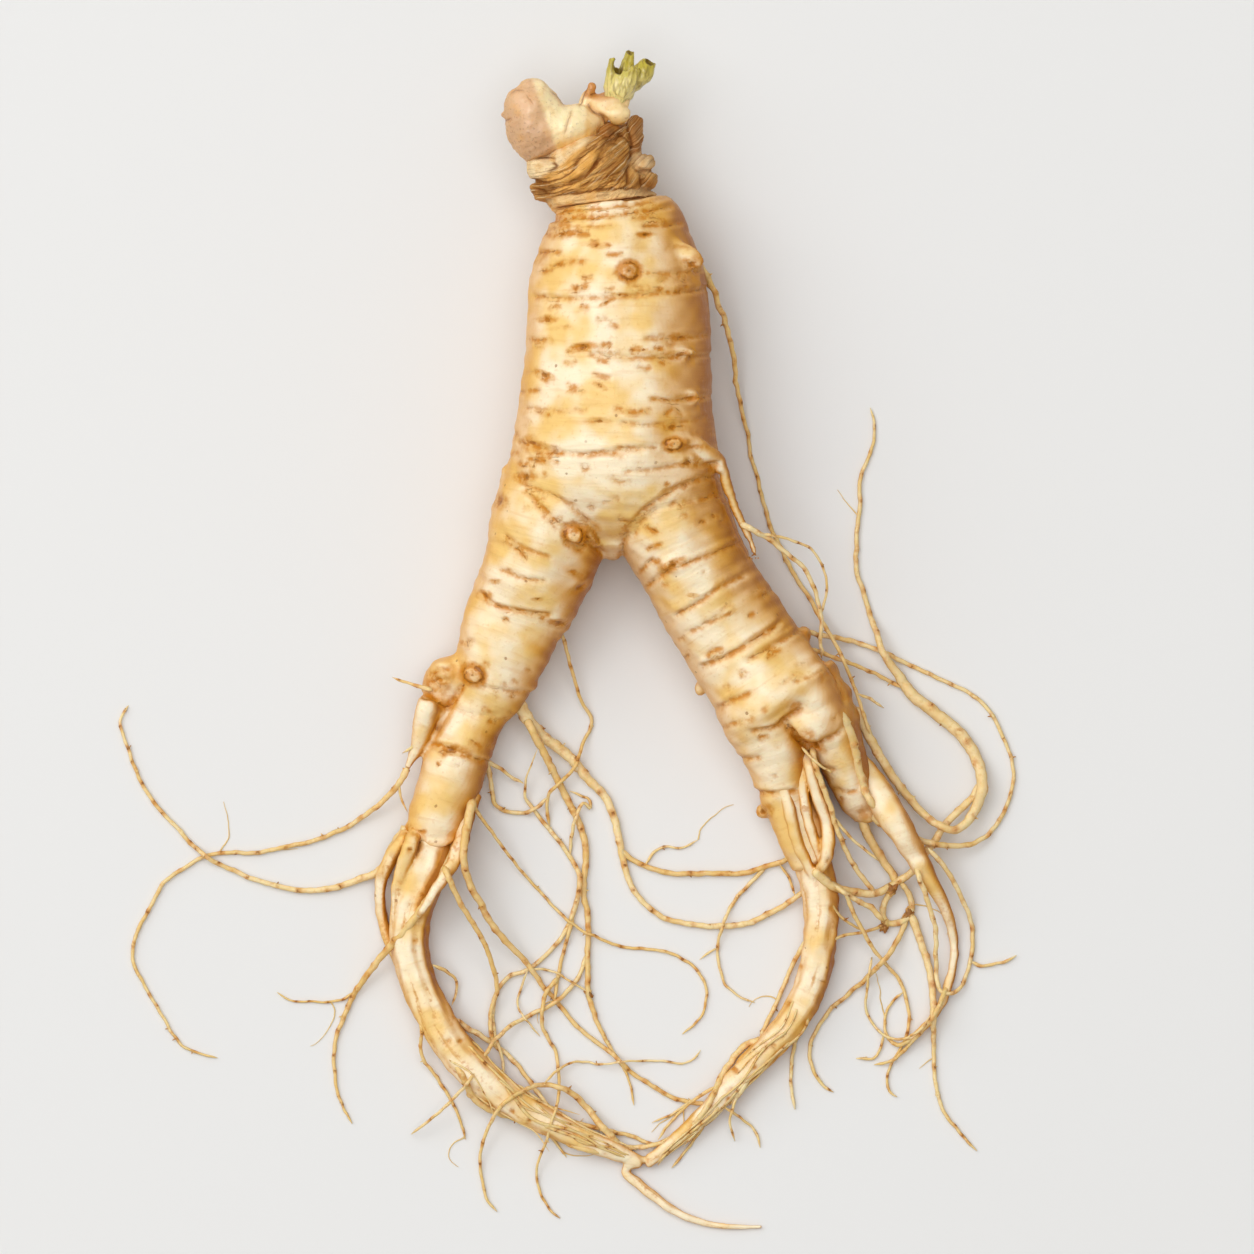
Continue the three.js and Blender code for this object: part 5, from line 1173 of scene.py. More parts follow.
        (33.8, 40.5), (35, 35), (36.6, 28.6), (38.6, 22), (41.2, 16.4, 1.4), (44.2, 11), (47.4, 5.6, 1),
        (50.6, 0, 2), (53, -5, 1.7), (55, -9.6), (56.3, -14), (57.6, -18, 2.6),
    )),
    "long_twig": ((0.35, 0.3), ((55.2, -10.2), (58, -11.7), (60.3, -13))),
    "hip_ridge": ((1.1, 1.3, 1.3, 1.0, 0.8, 0.8, 0.7, 0.5), (
        (20.5, 37.6, 27.2), (23.6, 37.4, 25.6), (26.6, 35.6, 21.8), (29, 33.6, 16.4), (30.4, 29.4, 12),
        (31.8, 25.4, 9.4), (33.3, 22, 7.4), (35, 18.4, 5.8), (36, 15.4, 5.2),
    )),
    "hip_branch": ((0.7, 0.55, 0.5, 0.45, 0.4), (
        (33, 22, 7), (37.6, 19.4, 2.4), (41.4, 16.6), (44.6, 14), (46.6, 10.2), (48, 6), (48.5, 2.6),
        (48.3, -1, 2.4), (48.4, -3.4, 5.8),
    )),
    "hip_hair": ((0.35, 0.3, 0.3), (
        (36, 20, 3.6), (40.6, 19.4, 1.6), (43.6, 18.5), (46.2, 17.4), (48.6, 14), (49.4, 10), (48.3, 4.6),
    )),
    # lower right bundle
    "knot_loop": ((0.7, 0.7, 0.75, 0.7, 0.6), (
        (61.8, -47.6, 2), (60.2, -50.6), (60.5, -53.6), (62.8, -54.1), (64.9, -52.8), (65.4, -50),
        (64.4, -47.4, 1.8), (63.2, -45.8, 2.6),
    )),
    "knot_feeder": ((0.5, 0.6, 0.7), ((50.6, -46.4, 3), (53.4, -48.6, 1.6), (57.4, -50.9), (60.4, -53.6))),
    "tail_cross_hair": ((0.4, 0.35, 0.35), ((48, -57.6, 6), (52.4, -56.2, 2.6), (57, -55.3), (60.6, -54.3))),
    "tail_hair": ((0.35, 0.35, 0.3), ((49, -47.6, 6.4), (50.4, -50.6, 5.4), (52.6, -53.2, 3), (56.5, -55.4))),
    "deep_twist": ((0.5, 0.5, 0.4, 0.4, 0.35, 0.3, 0.3), (
        (53, -47.8, 2.4), (54.4, -51.6), (56.4, -55.6), (58.6, -59.2), (60.5, -61.6), (63, -64.4),
        (64.5, -68), (64.9, -71.6), (64.2, -76), (62, -80.2), (60.8, -83.4), (61.4, -86), (62.8, -86.9),
    )),
    "deep_arc": ((0.6, 0.6, 0.5, 0.45, 0.4, 0.3), (
        (64.6, -53.2), (63, -57), (60.5, -60.8), (57, -64.2), (53, -67.8), (49.6, -71), (47.1, -75),
        (46.2, -79), (47, -82.4), (48.9, -84.9), (50.7, -86),
    )),
    "deep_tip": ((0.9, 0.85, 0.8, 0.75, 0.5, 0.45, 0.4, 0.35, 0.25), (
        (65.6, -52.4), (67, -57), (68.5, -61.2), (69.3, -66), (69.6, -72), (69.8, -78), (70.1, -84),
        (71.2, -88.6), (73.2, -92), (75.6, -94.8), (78, -97.2),
    )),
    "deep_ring": ((0.6, 0.55, 0.5, 0.45, 0.5, 0.55, 0.6), (
        (66.2, -42.6, 3), (68.4, -49.6), (70, -54.6), (70.3, -60), (70.6, -66.4), (72.6, -67.4),
        (74.9, -66.2), (76.4, -62.4), (77.1, -58), (76.7, -53), (75, -48.8), (71.8, -43.4, 1.6),
        (68.6, -39.6, 2.6),
    )),
    "deep_twig": ((0.4, 0.35, 0.3), ((76.6, -61), (78.6, -61.9), (81.6, -61.5), (84, -60.9), (85.5, -60))),
    "deep_hook": ((0.55, 0.5, 0.4, 0.3), ((72.2, -66), (70, -71), (65.8, -76.2), (61.8, -80), (58.4, -80.8))),
    "deep_curl": ((0.5, 0.45, 0.35, 0.3, 0.3), (
        (65.4, -76), (63, -77), (61, -75.4), (60.3, -72.6), (61.6, -69), (64, -67),
    )),
    "deep_hair": ((0.3, 0.3, 0.3, 0.3), (
        (58, -60.4), (57.3, -65.6), (56.9, -70.4), (58.6, -73.4), (61, -75.4), (64.6, -75.7), (67.6, -73.8),
        (69, -71.4),
    )),
    "deep_stub": ((0.3, 0.3), ((60.4, -74.8), (58.6, -79.2), (55, -79.6))),
    "tail_drop": ((0.5, 0.4, 0.35), ((44.6, -73.4, 1.4), (43, -79.4), (42.8, -85), (43.4, -89.3))),
    "tail_outrun": ((0.6, 0.5, 0.5, 0.5), (
        (45.6, -57, 3), (43, -62, 1), (41, -67), (38.6, -72), (36.6, -77, 1.6),
    )),
    "tail_strand_upper": ((0.8, 0.75, 0.7, 0.6), (
        (38.6, -75.6, 3), (33.6, -77.6, 1.4), (30.4, -81.4), (28.6, -85), (26, -89.6), (22.4, -93.4, 1.4),
    )),
    "tail_strand_lower": ((0.8, 0.75, 0.6, 0.5), (
        (39.6, -78, 2), (35.6, -81.4, 1.2), (33.8, -84.6), (31, -88.4, 1.2),
    )),
    "tail_twig_long": ((0.35, 0.3, 0.3, 0.25), ((30, -88.8), (33, -90.8), (36, -93.4), (36.8, -96.6))),
    "tail_twig_short": ((0.35, 0.3, 0.25), ((32.6, -86), (31, -91.4), (32, -95.3))),
    "tail_fan": ((0.45, 0.35, 0.3), ((28.6, -88.6, 1), (25, -94), (20, -100.4))),
    "tail_fan_upper": ((0.4, 0.35, 0.3), ((28.4, -84.8, 1), (24, -87.4), (20, -91.4), (17.4, -95, 0.8))),
    "tail_fan_hair": ((0.3, 0.25, 0.2), ((23.6, -87.6), (20.4, -89.8), (16.2, -91.8))),
    # from the hip over the outer leg, laid after all but the finest so that no thick one climbs over it
    "leg_over": ((1.3, 1.15, 1.05, 0.95, 0.9, 0.85), (
        (50.4, -12.4, 12), (52, -14, 14.1), (53.7, -17.2, 13), (54.8, -21.4, 10.6), (55.6, -25.4, 8.6),
        (56.8, -29, 7.2), (58.6, -32.2, 5.6),
    )),
}
FINEST = (
    "cross_thin", "low_hair", "tail_fan_hair", "branch_twig", "left_side_twig", "fork_hair", "deep_stub",
    "link_cross", "left_fork_twig", "far_hair",
)
SIDE_ROOTS = ("left_lump", "left_side_root", "hip_ridge")  # melt into the flesh
STRANDS = (  # melt into the tails
    "left_loop", "left_strap", "left_brown_root", "fork_inner", "fork_middle", "fork_outer", "outer_thick",
)


@dataclass
class Strand:
    """A rootlet as it lies: its samples from the base to the tip.

    Attributes:
        at: Rows of x, y and z.
        radius: Radius at each sample.
        along: Distance of each sample from the base.
    """

    at: Array
    radius: Array
    along: Array

    @property
    def to_end(self) -> Array:
        """Distance of each sample from the nearer end."""
        return np.minimum(self.along, self.along[-1] - self.along)

    def limb(self, blend: float) -> Limb:
        """Returns the strand as a limb that melts into others."""
        keep = np.unique(np.append(np.arange(0, len(self.at), 2), len(self.at) - 1))
        return Limb([(*self.at[k], self.radius[k]) for k in keep], blend, (0.4, 0.8))


@dataclass
class Laying:
    """The rules by which rootlets are laid one over another.

    Attributes:
        step: Distance between samples of a route.
        joint: Within this distance of its ends a rootlet stays joined to what it meets.
        tip: Within this distance of its ends a rootlet is passed without climbing.
        clear: Space left between two that cross.
        climb: Slope at which one climbs over another.
    """

    step: float = 0.9
    joint: float = 2.6
    tip: float = 1.4
    clear: float = 0.25
    climb: float = 0.35

    def bare(self, radii: Point, path: Sequence[Point]) -> Strand:
        """Returns a rootlet as it would lie with no other under it.

        Args:
            radii: Radii spread evenly along it.
            path: Its points.

        Returns:
            The rootlet.
        """
        spread = spline(np.array(radii)[:, None], np.linspace(0, 1, len(path)), even=True)[:, 0]
        flat = np.array([point[:2] for point in path], float)
        rest = np.maximum(spread + REST_CLEAR, skin_height(flat) + 0.5 * spread)
        points = [(*point[:2], point[2] if len(point) > 2 else rest[k]) for k, point in enumerate(path)]
        route = Route(points, [(radius,) for radius in radii], self.step)
        return Strand(route.at, route.girth[:, 0], route.along)

    def over(self, strand: Strand, laid: Sequence[Strand]) -> Strand:
        """Returns the rootlet laid over those that lie there already.

        Args:
            strand: The rootlet.
            laid: Those that lie there.

        Returns:
            The same rootlet, raised.
        """
        if not laid:
            return strand
        others = np.vstack([other.at for other in laid])
        radii = np.concatenate([other.radius for other in laid])
        ends = np.concatenate([other.to_end for other in laid])
        flat = np.linalg.norm(strand.at[:, None, :2] - others[None, :, :2], axis=2)
        reach = strand.radius[:, None] + radii[None, :]
        touching = flat < reach
        need = others[None, :, 2] + np.sqrt((reach**2 - flat**2).clip(0)) + self.clear
        need = np.where(touching & (ends[None, :] > self.tip), need, -1).max(1)
        meet = np.where(touching, others[None, :, 2], -1).max(1)
        height = np.maximum(strand.at[:, 2], np.where(strand.to_end < self.joint, -1, need))
        at_end = (strand.to_end < self.step / 2) & touching.any(1)
        height = np.where(at_end, meet, height)
        apart = np.abs(np.subtract.outer(np.arange(len(height)), np.arange(len(height))))
        climbed = (height[None, :] - self.climb * self.step * apart).max(1)
        climbed[[0, -1]] = height[[0, -1]]
        strand.at[1:-1, 2] = np.maximum(strand.at[1:-1, 2], climbed[1:-1])
        strand.at[[0, -1], 2] = climbed[[0, -1]]
        return strand

    def lay(self) -> dict[str, Strand]:
        """Lays every rootlet of the table, the finest ones last.

        Returns:
            The rootlets by name, in the order in which they were laid.
        """
        order = [name for name in ROUTES if name not in FINEST] + list(FINEST)
        laid: dict[str, Strand] = {}
        for name in order:
            laid[name] = self.over(self.bare(*ROUTES[name]), list(laid.values()))
        return laid


def tube(at: Array, radius: Array, sides: int) -> tuple[Array, Array]:
    """Makes a closed tube along a path.

    Args:
        at: Rows of x, y and z of its axis.
        radius: Radius at each row, or at each row and side.
        sides: Even number of sides.

    Returns:
        Its corners, ring by ring, and its four-sided faces.
    """
    ahead = np.gradient(at, axis=0)
    ahead /= np.linalg.norm(ahead, axis=1)[:, None].clip(1e-9)
    side = np.cross(ahead, (0, 0, 1.0))
    side /= np.linalg.norm(side, axis=1)[:, None].clip(1e-6)
    over = np.cross(side, ahead)
    turn = np.linspace(0, 2 * math.pi, sides, endpoint=False)
    ring = side[:, None, :] * np.cos(turn)[None, :, None] + over[:, None, :] * np.sin(turn)[None, :, None]
    points = (at[:, None, :] + ring * radius.reshape(len(at), -1, 1)).reshape(-1, 3)
    first = np.arange(len(at) - 1)[:, None] * sides
    near, far = np.arange(sides)[None, :], (np.arange(sides)[None, :] + 1) % sides
    corners = [first + near, first + near + sides, first + far + sides, first + far]
    walls = np.stack(corners, axis=2).reshape(-1, 4)
    caps = np.array([(0, k, k + 1, k + 2) for k in range(1, sides - 1, 2)])
    last = (len(at) - 1) * sides
    return points, np.vstack([walls, caps, caps[:, ::-1] + last])


@dataclass
class Rootlets:
    """Every slender rootlet with its nodes, side nubs and the finest hairs.

    Attributes:
        ring: Distance between rings of corners.
        sides: Sides of a rootlet.
        slimness: How thick a slender rootlet is against its solid.
        wander: How far a rootlet strays from its route at each node.
        node_gap: Least and most distance between nodes.
        nubs: Share of the nodes that bear a nub.
        stumps: How many short stumps make a knot.
        hairs: How many finest hairs grow from the rootlets.
        clinging: How many thin strands cling to each tail.
        seed: Seed of every random draw.
    """

    ring: float = 0.45
    sides: int = 8
    slimness: float = 0.82
    wander: float = 0.13
    node_gap: tuple[float, float] = (1.8, 5.5)
    nubs: float = 0.16
    stumps: int = 5
    hairs: int = 26
    clinging: int = 12
    seed: int = 5

    def dressed(self, strand: Strand, rng: Rng) -> tuple[Array, Array, Array, Array]:
        """Gives a rootlet its kinks, nodes, flared base and fine tip.

        Args:
            strand: The rootlet as laid.
            rng: Source of random draws.

        Returns:
            Its axis, its radii at each ring and side, how far each of them is from a node's spot, and the
            rings of the nodes.
        """
        length = strand.along[-1]
        count = max(int(length / self.ring), 4)
        along = np.linspace(0, length, count + 1)
        at = np.column_stack([np.interp(along, strand.along, strand.at[:, k]) for k in range(3)])
        if len(strand.at) > 2:
            at[:, 2] = spline(strand.at[:, 2:], along / length, even=True)[:, 0]
        radius = np.interp(along, strand.along, strand.radius)
        radius *= self.slimness + (1 - self.slimness) * smoothstep(radius, 0.9, 1.6)
        gaps = rng.uniform(*self.node_gap, int(length / self.node_gap[0]) + 2)
        nodes = np.cumsum(gaps)
        nodes = nodes[nodes < length - 0.8]
        knots = np.concatenate([[0], nodes, [length]])
        strays = np.concatenate([[0], rng.normal(0, self.wander, len(nodes)), [0]])
        stray = np.interp(along, knots, strays)
        stray += 0.35 * self.wander * Waves(3, int(rng.integers(1e6)), 4).at(along[:, None])
        stray *= smoothstep(np.minimum(along, length - along), 0, 3)
        ahead = np.gradient(at[:, :2], axis=0)
        ahead /= np.linalg.norm(ahead, axis=1)[:, None].clip(1e-9)
        at[:, 0] -= ahead[:, 1] * stray
        at[:, 1] += ahead[:, 0] * stray
        to_node = np.abs(along[:, None] - nodes[None, :]).min(1, initial=FAR)
        uneven = 0.06 * Waves(1.9, int(rng.integers(1e6)), 4).at(along[:, None])
        radius = radius * (1 + 0.05 * bell(to_node, 0.5) + uneven)
        # flared at its base, and slim right at both ends
        radius *= 1 + 0.4 * np.exp(-along / 1.1)
        radius *= 0.25 + 0.75 * smoothstep(length - along, -0.2, 1.4)
        radius *= 0.3 + 0.7 * smoothstep(along, -0.3, 0.9 if radius[0] > 0.5 else 1.8)
        sides = np.linspace(0, 2 * math.pi, self.sides * (2 if radius.max() > 1.4 else 1), endpoint=False)
        gap = sides[:, None] - rng.normal(0.5 * math.pi, 1.1, len(nodes))[None, :]
        gap = np.abs((gap + math.pi) % (2 * math.pi) - math.pi)
        apart = along[:, None, None] - nodes[None, None, :]
        spot = np.hypot(apart, 0.8 * radius[:, None, None] * gap[None, :, :]).min(2, initial=FAR)
        radius = radius[:, None] * (1 + 0.2 * bell(spot, 0.4))
        return at, radius, spot, np.interp(nodes, along, np.arange(len(along))).astype(int)

    def build(self, laid: dict[str, Strand]) -> Mesh:
        """Makes every rootlet that no other skin takes in.

        Args:
            laid: The rootlets as laid, by name.

        Returns:
            One mesh of them all.
        """
        rng = np.random.default_rng(self.seed)
        pieces: list[Mesh] = []
        roots: list[Array] = []
        for name, strand in laid.items():
            if name in SIDE_ROOTS or name in STRANDS:
                continue
            at, radius, spot, nodes = self.dressed(strand, rng)
            tone = rng.uniform(0, 1)
            self.add(pieces, at, radius, radius.shape[1], spot, tone)
            for node in nodes[rng.random(len(nodes)) < self.nubs]:
                self.add_nub(pieces, at, radius.mean(1), node, tone, rng)
            roots.append(at)
        for _ in range(self.hairs):
            self.add_hair(pieces, roots, rng)
        for x, y, size in KNOTS[1:]:
            self.add_knot(pieces, roots, np.array((x, y)), size, rng)
        # strands cling to the left tail past its middle, and to the right one past a third of it
        for part, first in ((TAILS[0], 0.5), (TAILS[1], 0.35)):
            for _ in range(self.clinging):
                self.add_clinging(pieces, part.limb.route, first, rng)
        mesh = joined(pieces)
        # how far each corner faces sideways, which the finish paints as shade on the sides
        mesh.values["flank"] = 1 - mesh.normals()[:, 2]
        return mesh

    def add(
        self, pieces: list[Mesh], at: Array, radius: Array, sides: int, to_node: Array, tone: float
    ) -> None:
        """Adds one tube with the values of its rings.

        Args:
            pieces: The tubes made so far.
            at: Its axis.
            radius: Its radii.
            sides: How many sides it has.
            to_node: How far each ring, or each corner, is from a node.
            tone: How dark it is, from 0 to 1.
        """
        points, faces = tube(at, radius, sides)
        points[:, 2] = points[:, 2].clip(TABLE_GAP)
        spots = to_node.ravel() if to_node.ndim > 1 else np.repeat(to_node, sides)
        pieces.append(Mesh(points, faces, {"to_node": spots, "tone": np.full(len(points), tone)}))

    def add_nub(self, pieces: list[Mesh], at: Array, radius: Array, node: int, tone: float, rng: Rng) -> None:
        """Adds the small dark stump of a side rootlet at a node.

        Args:
            pieces: The tubes made so far.
            at: Axis of the rootlet.
            radius: Radius at each ring.
            node: Ring of the node.
            tone: How dark it is, from 0 to 1.
            rng: Source of random draws.
        """
        near = at[min(node + 1, len(at) - 1)] - at[max(node - 1, 0)]
        heading = math.atan2(near[1], near[0]) + rng.choice((-1, 1)) * rng.uniform(0.8, 1.9)
        out = np.array((math.cos(heading), math.sin(heading), rng.uniform(-0.1, 0.5)))
        long = radius[node] + rng.uniform(0.1, 0.6)
        steps = np.linspace(0, long, 4)
        points = at[node] + steps[:, None] * out
        points[:, 2] = points[:, 2].clip(0.1)
        thick = np.interp(steps, (0, long), (0.5 * radius[node] + 0.05, 0.07))
        self.add(pieces, points, thick, 6, np.interp(steps, (0, long), (0.5, 0.1)), tone)

    def add_knot(self, pieces: list[Mesh], roots: list[Array], place: Array, size: float, rng: Rng) -> None:
        """Adds a corky knot of short stumps where rootlets meet.

        Args:
            pieces: The tubes made so far.
            roots: Axes of the rootlets.
            place: Its x and y.
            size: Its half size.
            rng: Source of random draws.
        """
        samples = np.vstack(roots)
        middle = samples[np.argmin(np.hypot(*(samples[:, :2] - place).T))]
        for _ in range(self.stumps):
            heading = rng.uniform(0, 2 * math.pi)
            out = np.array((math.cos(heading), math.sin(heading), rng.uniform(-0.2, 0.6)))
            steps = np.linspace(-0.9, rng.uniform(0.9, 1.7), 6)
            points = middle + steps[:, None] * size * out
            points[:, 2] = points[:, 2].clip(0.25)
            thick = size * np.array((0.25, 0.6, 0.75, 0.7, 0.5, 0.15)) * rng.uniform(0.7, 1)
            self.add(pieces, points, thick, 8, np.full(6, 0.16), 1.0)

    def add_clinging(self, pieces: list[Mesh], route: Route, first: float, rng: Rng) -> None:
        """Adds a thin strand that runs along a tail on its skin and leaves it at its tip.

        Args:
            pieces: The tubes made so far.
            route: The axis of the tail.
            first: Least share of the tail before the strand starts.
            rng: Source of random draws.
        """
        start = rng.uniform(first, 0.85)
        end = min(start + rng.uniform(0.15, 0.4), 0.98)
        along = np.linspace(start, end, max(int((end - start) * route.length / self.ring), 8)) * route.length
        axis = np.column_stack([np.interp(along, route.along, route.at[:, k]) for k in range(3)])
        heading = np.column_stack([np.interp(along, route.along, route.heading[:, k]) for k in range(2)])
        half = np.interp(along, route.along, route.girth[:, 0])
        thick = np.interp(along, along[[0, -1]], (1, 0.5)) * rng.uniform(0.2, 0.4)
        share = np.linspace(0, 1, len(along))
        lean = rng.uniform(-1.35, 1.35) + 0.2 * Waves(14, int(rng.integers(1e6)), 4).at(along[:, None])
        away = half - 0.25 * thick + 0.1 + rng.uniform(0.5, 4) * smoothstep(share, 0.75, 1.15)
        away -= 2.2 * thick * (1 - smoothstep(share, 0, 0.08))
        points = axis.copy()
        points[:, 0] -= heading[:, 1] * np.sin(lean) * away
        points[:, 1] += heading[:, 0] * np.sin(lean) * away
        points[:, 2] += np.cos(lean) * away * (1 - smoothstep(share, 0.75, 1.1))
        points[:, 2] = points[:, 2].clip(0.3)
        thick = thick * (0.3 + 0.7 * smoothstep(1 - share, 0, 0.1))
        nodes = along[rng.integers(0, len(along), 5)]
        self.add(pieces, points, thick, 6, np.abs(along[:, None] - nodes).min(1) + 0.2, rng.uniform(0.2, 1))

    def add_hair(self, pieces: list[Mesh], roots: list[Array], rng: Rng) -> None:
        """Adds one finest hair that grows from a rootlet and lies on the table.

        Args:
            pieces: The tubes made so far.
            roots: Axes of the rootlets.
            rng: Source of random draws.
        """
        at = roots[rng.integers(len(roots))]
        start = at[rng.integers(len(at) // 3, len(at))]
        # none grows from a rootlet that lies high over the table
        if start[2] > 1.6:
            return
        heading, bend = rng.uniform(0, 2 * math.pi), rng.normal(0, 0.07)
        count = int(rng.integers(6, 22))
        points = [start.copy()]
        for _ in range(count):
            heading += bend + rng.normal(0, 0.12)
            step = np.array((math.cos(heading), math.sin(heading), 0)) * 0.5
            points.append(points[-1] + step)
        line = np.array(points)
        line[:, 2] = np.maximum(start[2] - 0.3 * np.arange(len(line)), 0.14)
        thick = np.linspace(0.14, 0.05, len(line))
        self.add(pieces, line, thick, 6, np.full(len(line), 2.0), rng.uniform(0.4, 1))


def joined(pieces: Sequence[Mesh]) -> Mesh:
    """Puts meshes into one, with the values they share.

    Args:
        pieces: The meshes.

    Returns:
        One mesh.
    """
    starts = np.cumsum([0] + [len(piece.points) for piece in pieces[:-1]])
    points = np.vstack([piece.points for piece in pieces])
    faces = np.vstack([piece.faces + start for piece, start in zip(pieces, starts)])
    values = {name: np.concatenate([piece.values[name] for piece in pieces]) for name in pieces[0].values}
    return Mesh(points, faces, values)


# Crown: the rhizome, the winter bud and the stub of the stem

CROWN_HEIGHT = 14  # height of the neck's axis
BUD_HEIGHT = CROWN_HEIGHT + 2  # height of the axis of the bud and the stem
FINE_CREASE = 0.16  # half width of a crease's dark core on the crown
FINE_STAIN = 0.15  # how far the stain beside it reaches
# Limbs of the crown: x, y, rise over their height, half width and half height
NECK = (
    (7.6, 79.5, 0, 9.2, 8.2), (6.6, 84, 0, 9.0, 8), (5, 87, 0, 9.6, 8.4), (3.6, 90, 0, 9.4, 8.2),
    (2.6, 92.6, 0, 7.8, 7),
)
NECK_SHOULDER = (
    (6, 86.5, 0, 6.5), (8.8, 90.5, 0, 5.6), (11.2, 94.4, 0, 3.6), (12.8, 97.2, 0, 2.1), (13.3, 98.6, 0, 1.3),
)
RHIZOME_KNOBS = (  # centre with its rise over the neck, half sizes and turn in degrees
    (7.4, 83.1, 0, 9.9, 1.75, 8.9, 6.3), (-3.6, 88.9, 0.5, 4.4, 2.9, 4.4, -26),
    (-0.6, 91, 1.2, 5.2, 2.2, 4.4, 32), (-4.6, 85, 0, 2.3, 2, 2.6, -29), (14.5, 90.1, 1.6, 2.2, 1.9, 2.8, 0),
    (12.9, 87.5, 2.6, 1.9, 1.7, 3, 0), (15.4, 87.2, 0.8, 2.1, 2, 3, 0), (8.2, 96, 0.4, 2.8, 2.2, 4.6, 0),
)
HORN = (
    (-4.8, 92.4, 0, 3.4), (-5.9, 94.6, 0, 4.6), (-6.5, 97.6, 0, 5.1), (-6.7, 101, 0, 5.0),
    (-6.6, 103.2, 0, 4.2), (-6.4, 105, 0, 2.6),
)
SADDLE = (
    (-6, 97, 0, 3.6), (-3.2, 96.8, 0, 4.5), (0, 96.9, 0, 4.5), (3.2, 97.8, 0, 3.8), (5.8, 98.4, 0, 2.6),
    (7.4, 98, 0, 1.4),
)
POINTED_SCALE = ((3.8, 99.4, 0, 1.8, 1.1), (4.4, 102.4, 0, 1.8, 1.1), (4.9, 104.6, 0, 0.9, 0.6))
SCALE_CUP = ((5, 99.6, 0, 2.0), (6.8, 101, 0, 2.7), (9.4, 101.8, 0, 2.5), (11.4, 101.4, 0, 1.3))
STEM_BASE = ((9.2, 102, 0, 2.2), (9.9, 103.8, 0, 2.9), (10.8, 106, 0, 3), (11.4, 107.4, 0, 2.4))
PRONGS = (
    ((8.6, 104, 0, 1.3), (8.7, 107.2, 0.4, 1.3), (8.9, 109.9, 0.8, 0.9)),
    ((10.6, 105.5, -1, 1.6), (11.5, 108.6, -1.4, 1.4), (12, 111.4, -1.6, 0.8)),
    ((12, 104.8, 0, 1.6), (14.6, 107.6, 0, 2.1), (15.7, 109.5, 0, 1.3)),
    ((10, 103.2, 1.4, 1.7), (11.8, 105.8, 2, 1.7), (13.2, 108, 2.2, 1)),
)
HOLLOWS = (  # centre with its rise, half sizes, turn in degrees and softness
    (9.9, 108.3, 1, 0.9, 1.9, 1.8, 8, 0.3), (15.9, 109.6, 0.4, 0.9, 1.3, 1.2, -35, 0.3),
    (12.1, 111.6, -1.2, 0.7, 0.9, 0.8, 0, 0.2),
)
BUD_CREASES = (
    (0.12, 0.5, ((-0.2, 95.7), (0.4, 98), (1.1, 100.3))),
    (0.08, 0.6, ((-10.6, 103.2), (-9.6, 104), (-8.2, 104))), (0.06, 0.5, ((-7.4, 103), (-6.4, 101.6))),
    (0.4, 1.0, ((4, 101.5), (5, 100.2), (7, 98.8), (8, 97))),
    (0.25, 0.9, ((2.6, 101.2), (3.2, 103), (4, 104.9))),
    (0.3, 1.0, ((4.4, 103), (6.4, 104), (8, 104.3), (9, 103.3), (11, 103.4))),
    (0.1, 0.8, ((-12, 98), (-10.6, 98.6))), (0.1, 0.7, ((-2.8, 103.8), (-1.4, 102.6), (-0.4, 101.2))),
)
RHIZOME_CREASES = (
    (0.6, 1.0, ((-2.6, 83.8), (0, 84.2), (3.6, 84.7), (7.3, 85.2), (13.3, 85.5))),
    (0.4, 1.0, ((-2, 81.5), (8, 82.7), (17.4, 83.9))),
    (0.5, 0.95, (
        (-6.6, 87), (-4.4, 86.6), (-2.4, 86.9), (-0.5, 87.7), (1, 88.8), (2.2, 90.4), (3.9, 92.1), (6, 93.8),
    )),
    (0.5, 0.9, ((-3.4, 85.1), (-1, 85.8), (1.5, 86.8), (3.9, 88.2), (5.6, 89.9), (6.8, 91.6))),
    (0.35, 0.8, ((0, 85.8), (3.6, 87.2), (7.3, 88.9), (9.7, 90.6))),
    (0.35, 0.8, ((2.4, 85.5), (6, 87), (9.7, 88.2), (11.9, 89.7))),
    (0.3, 0.8, ((5.8, 85.6), (8.5, 86.8), (11, 87.5))), (0.25, 0.6, ((1, 90.4), (3.2, 92.2), (5.2, 94))),
    (0.35, 0.6, (
        (5.6, 89.4), (6.1, 91.4), (7.3, 93.8), (9.2, 95.6), (10.9, 95.3), (12.4, 93.5), (12.9, 91.4),
    )),
    (0.3, 0.4, ((6.8, 90.2), (7.3, 92.3), (8.7, 94), (10.4, 93.8))),
    (0.2, 0.4, ((8, 90.6), (8.7, 92.1), (10, 92.2))),
    (0.5, 1.0, ((11.2, 98.2), (11.9, 96), (12.6, 94.2), (12.6, 92), (11.9, 90.2))),
    (0.3, 0.8, ((12.8, 89.3), (14.2, 88.7), (17, 88.9))), (0.4, 1.0, ((11.5, 86), (11.6, 88), (12, 90.4))),
    (0.15, 0.8, ((-6, 91.2), (-4, 91.4), (-2, 91))), (0.4, 1.0, ((-2.8, 90.5), (-2, 89.6), (-3.4, 88.5))),
    (0.2, 0.7, ((3.4, 92.8), (4.8, 94.2), (6.2, 95))), (0.1, 0.6, ((5.6, 83.9), (8.4, 84.4))),
    (0.1, 0.5, ((1, 82.9), (4, 83.3))), (0.1, 0.5, ((9, 83.2), (12.4, 83.9))),
    (0.3, 0.9, ((-6.6, 85.6), (-4.8, 85.2), (-3.2, 84.2))),
    (0.3, 0.8, ((14.2, 88.7), (14.1, 87.4), (14.4, 85.6))),
)


def crown_limb(outline: Limbs, height: float, blend: float, domes: tuple[float, float]) -> Limb:
    """Returns a limb of the crown, held at a height."""
    return Limb(at_height(outline, height), blend, domes)


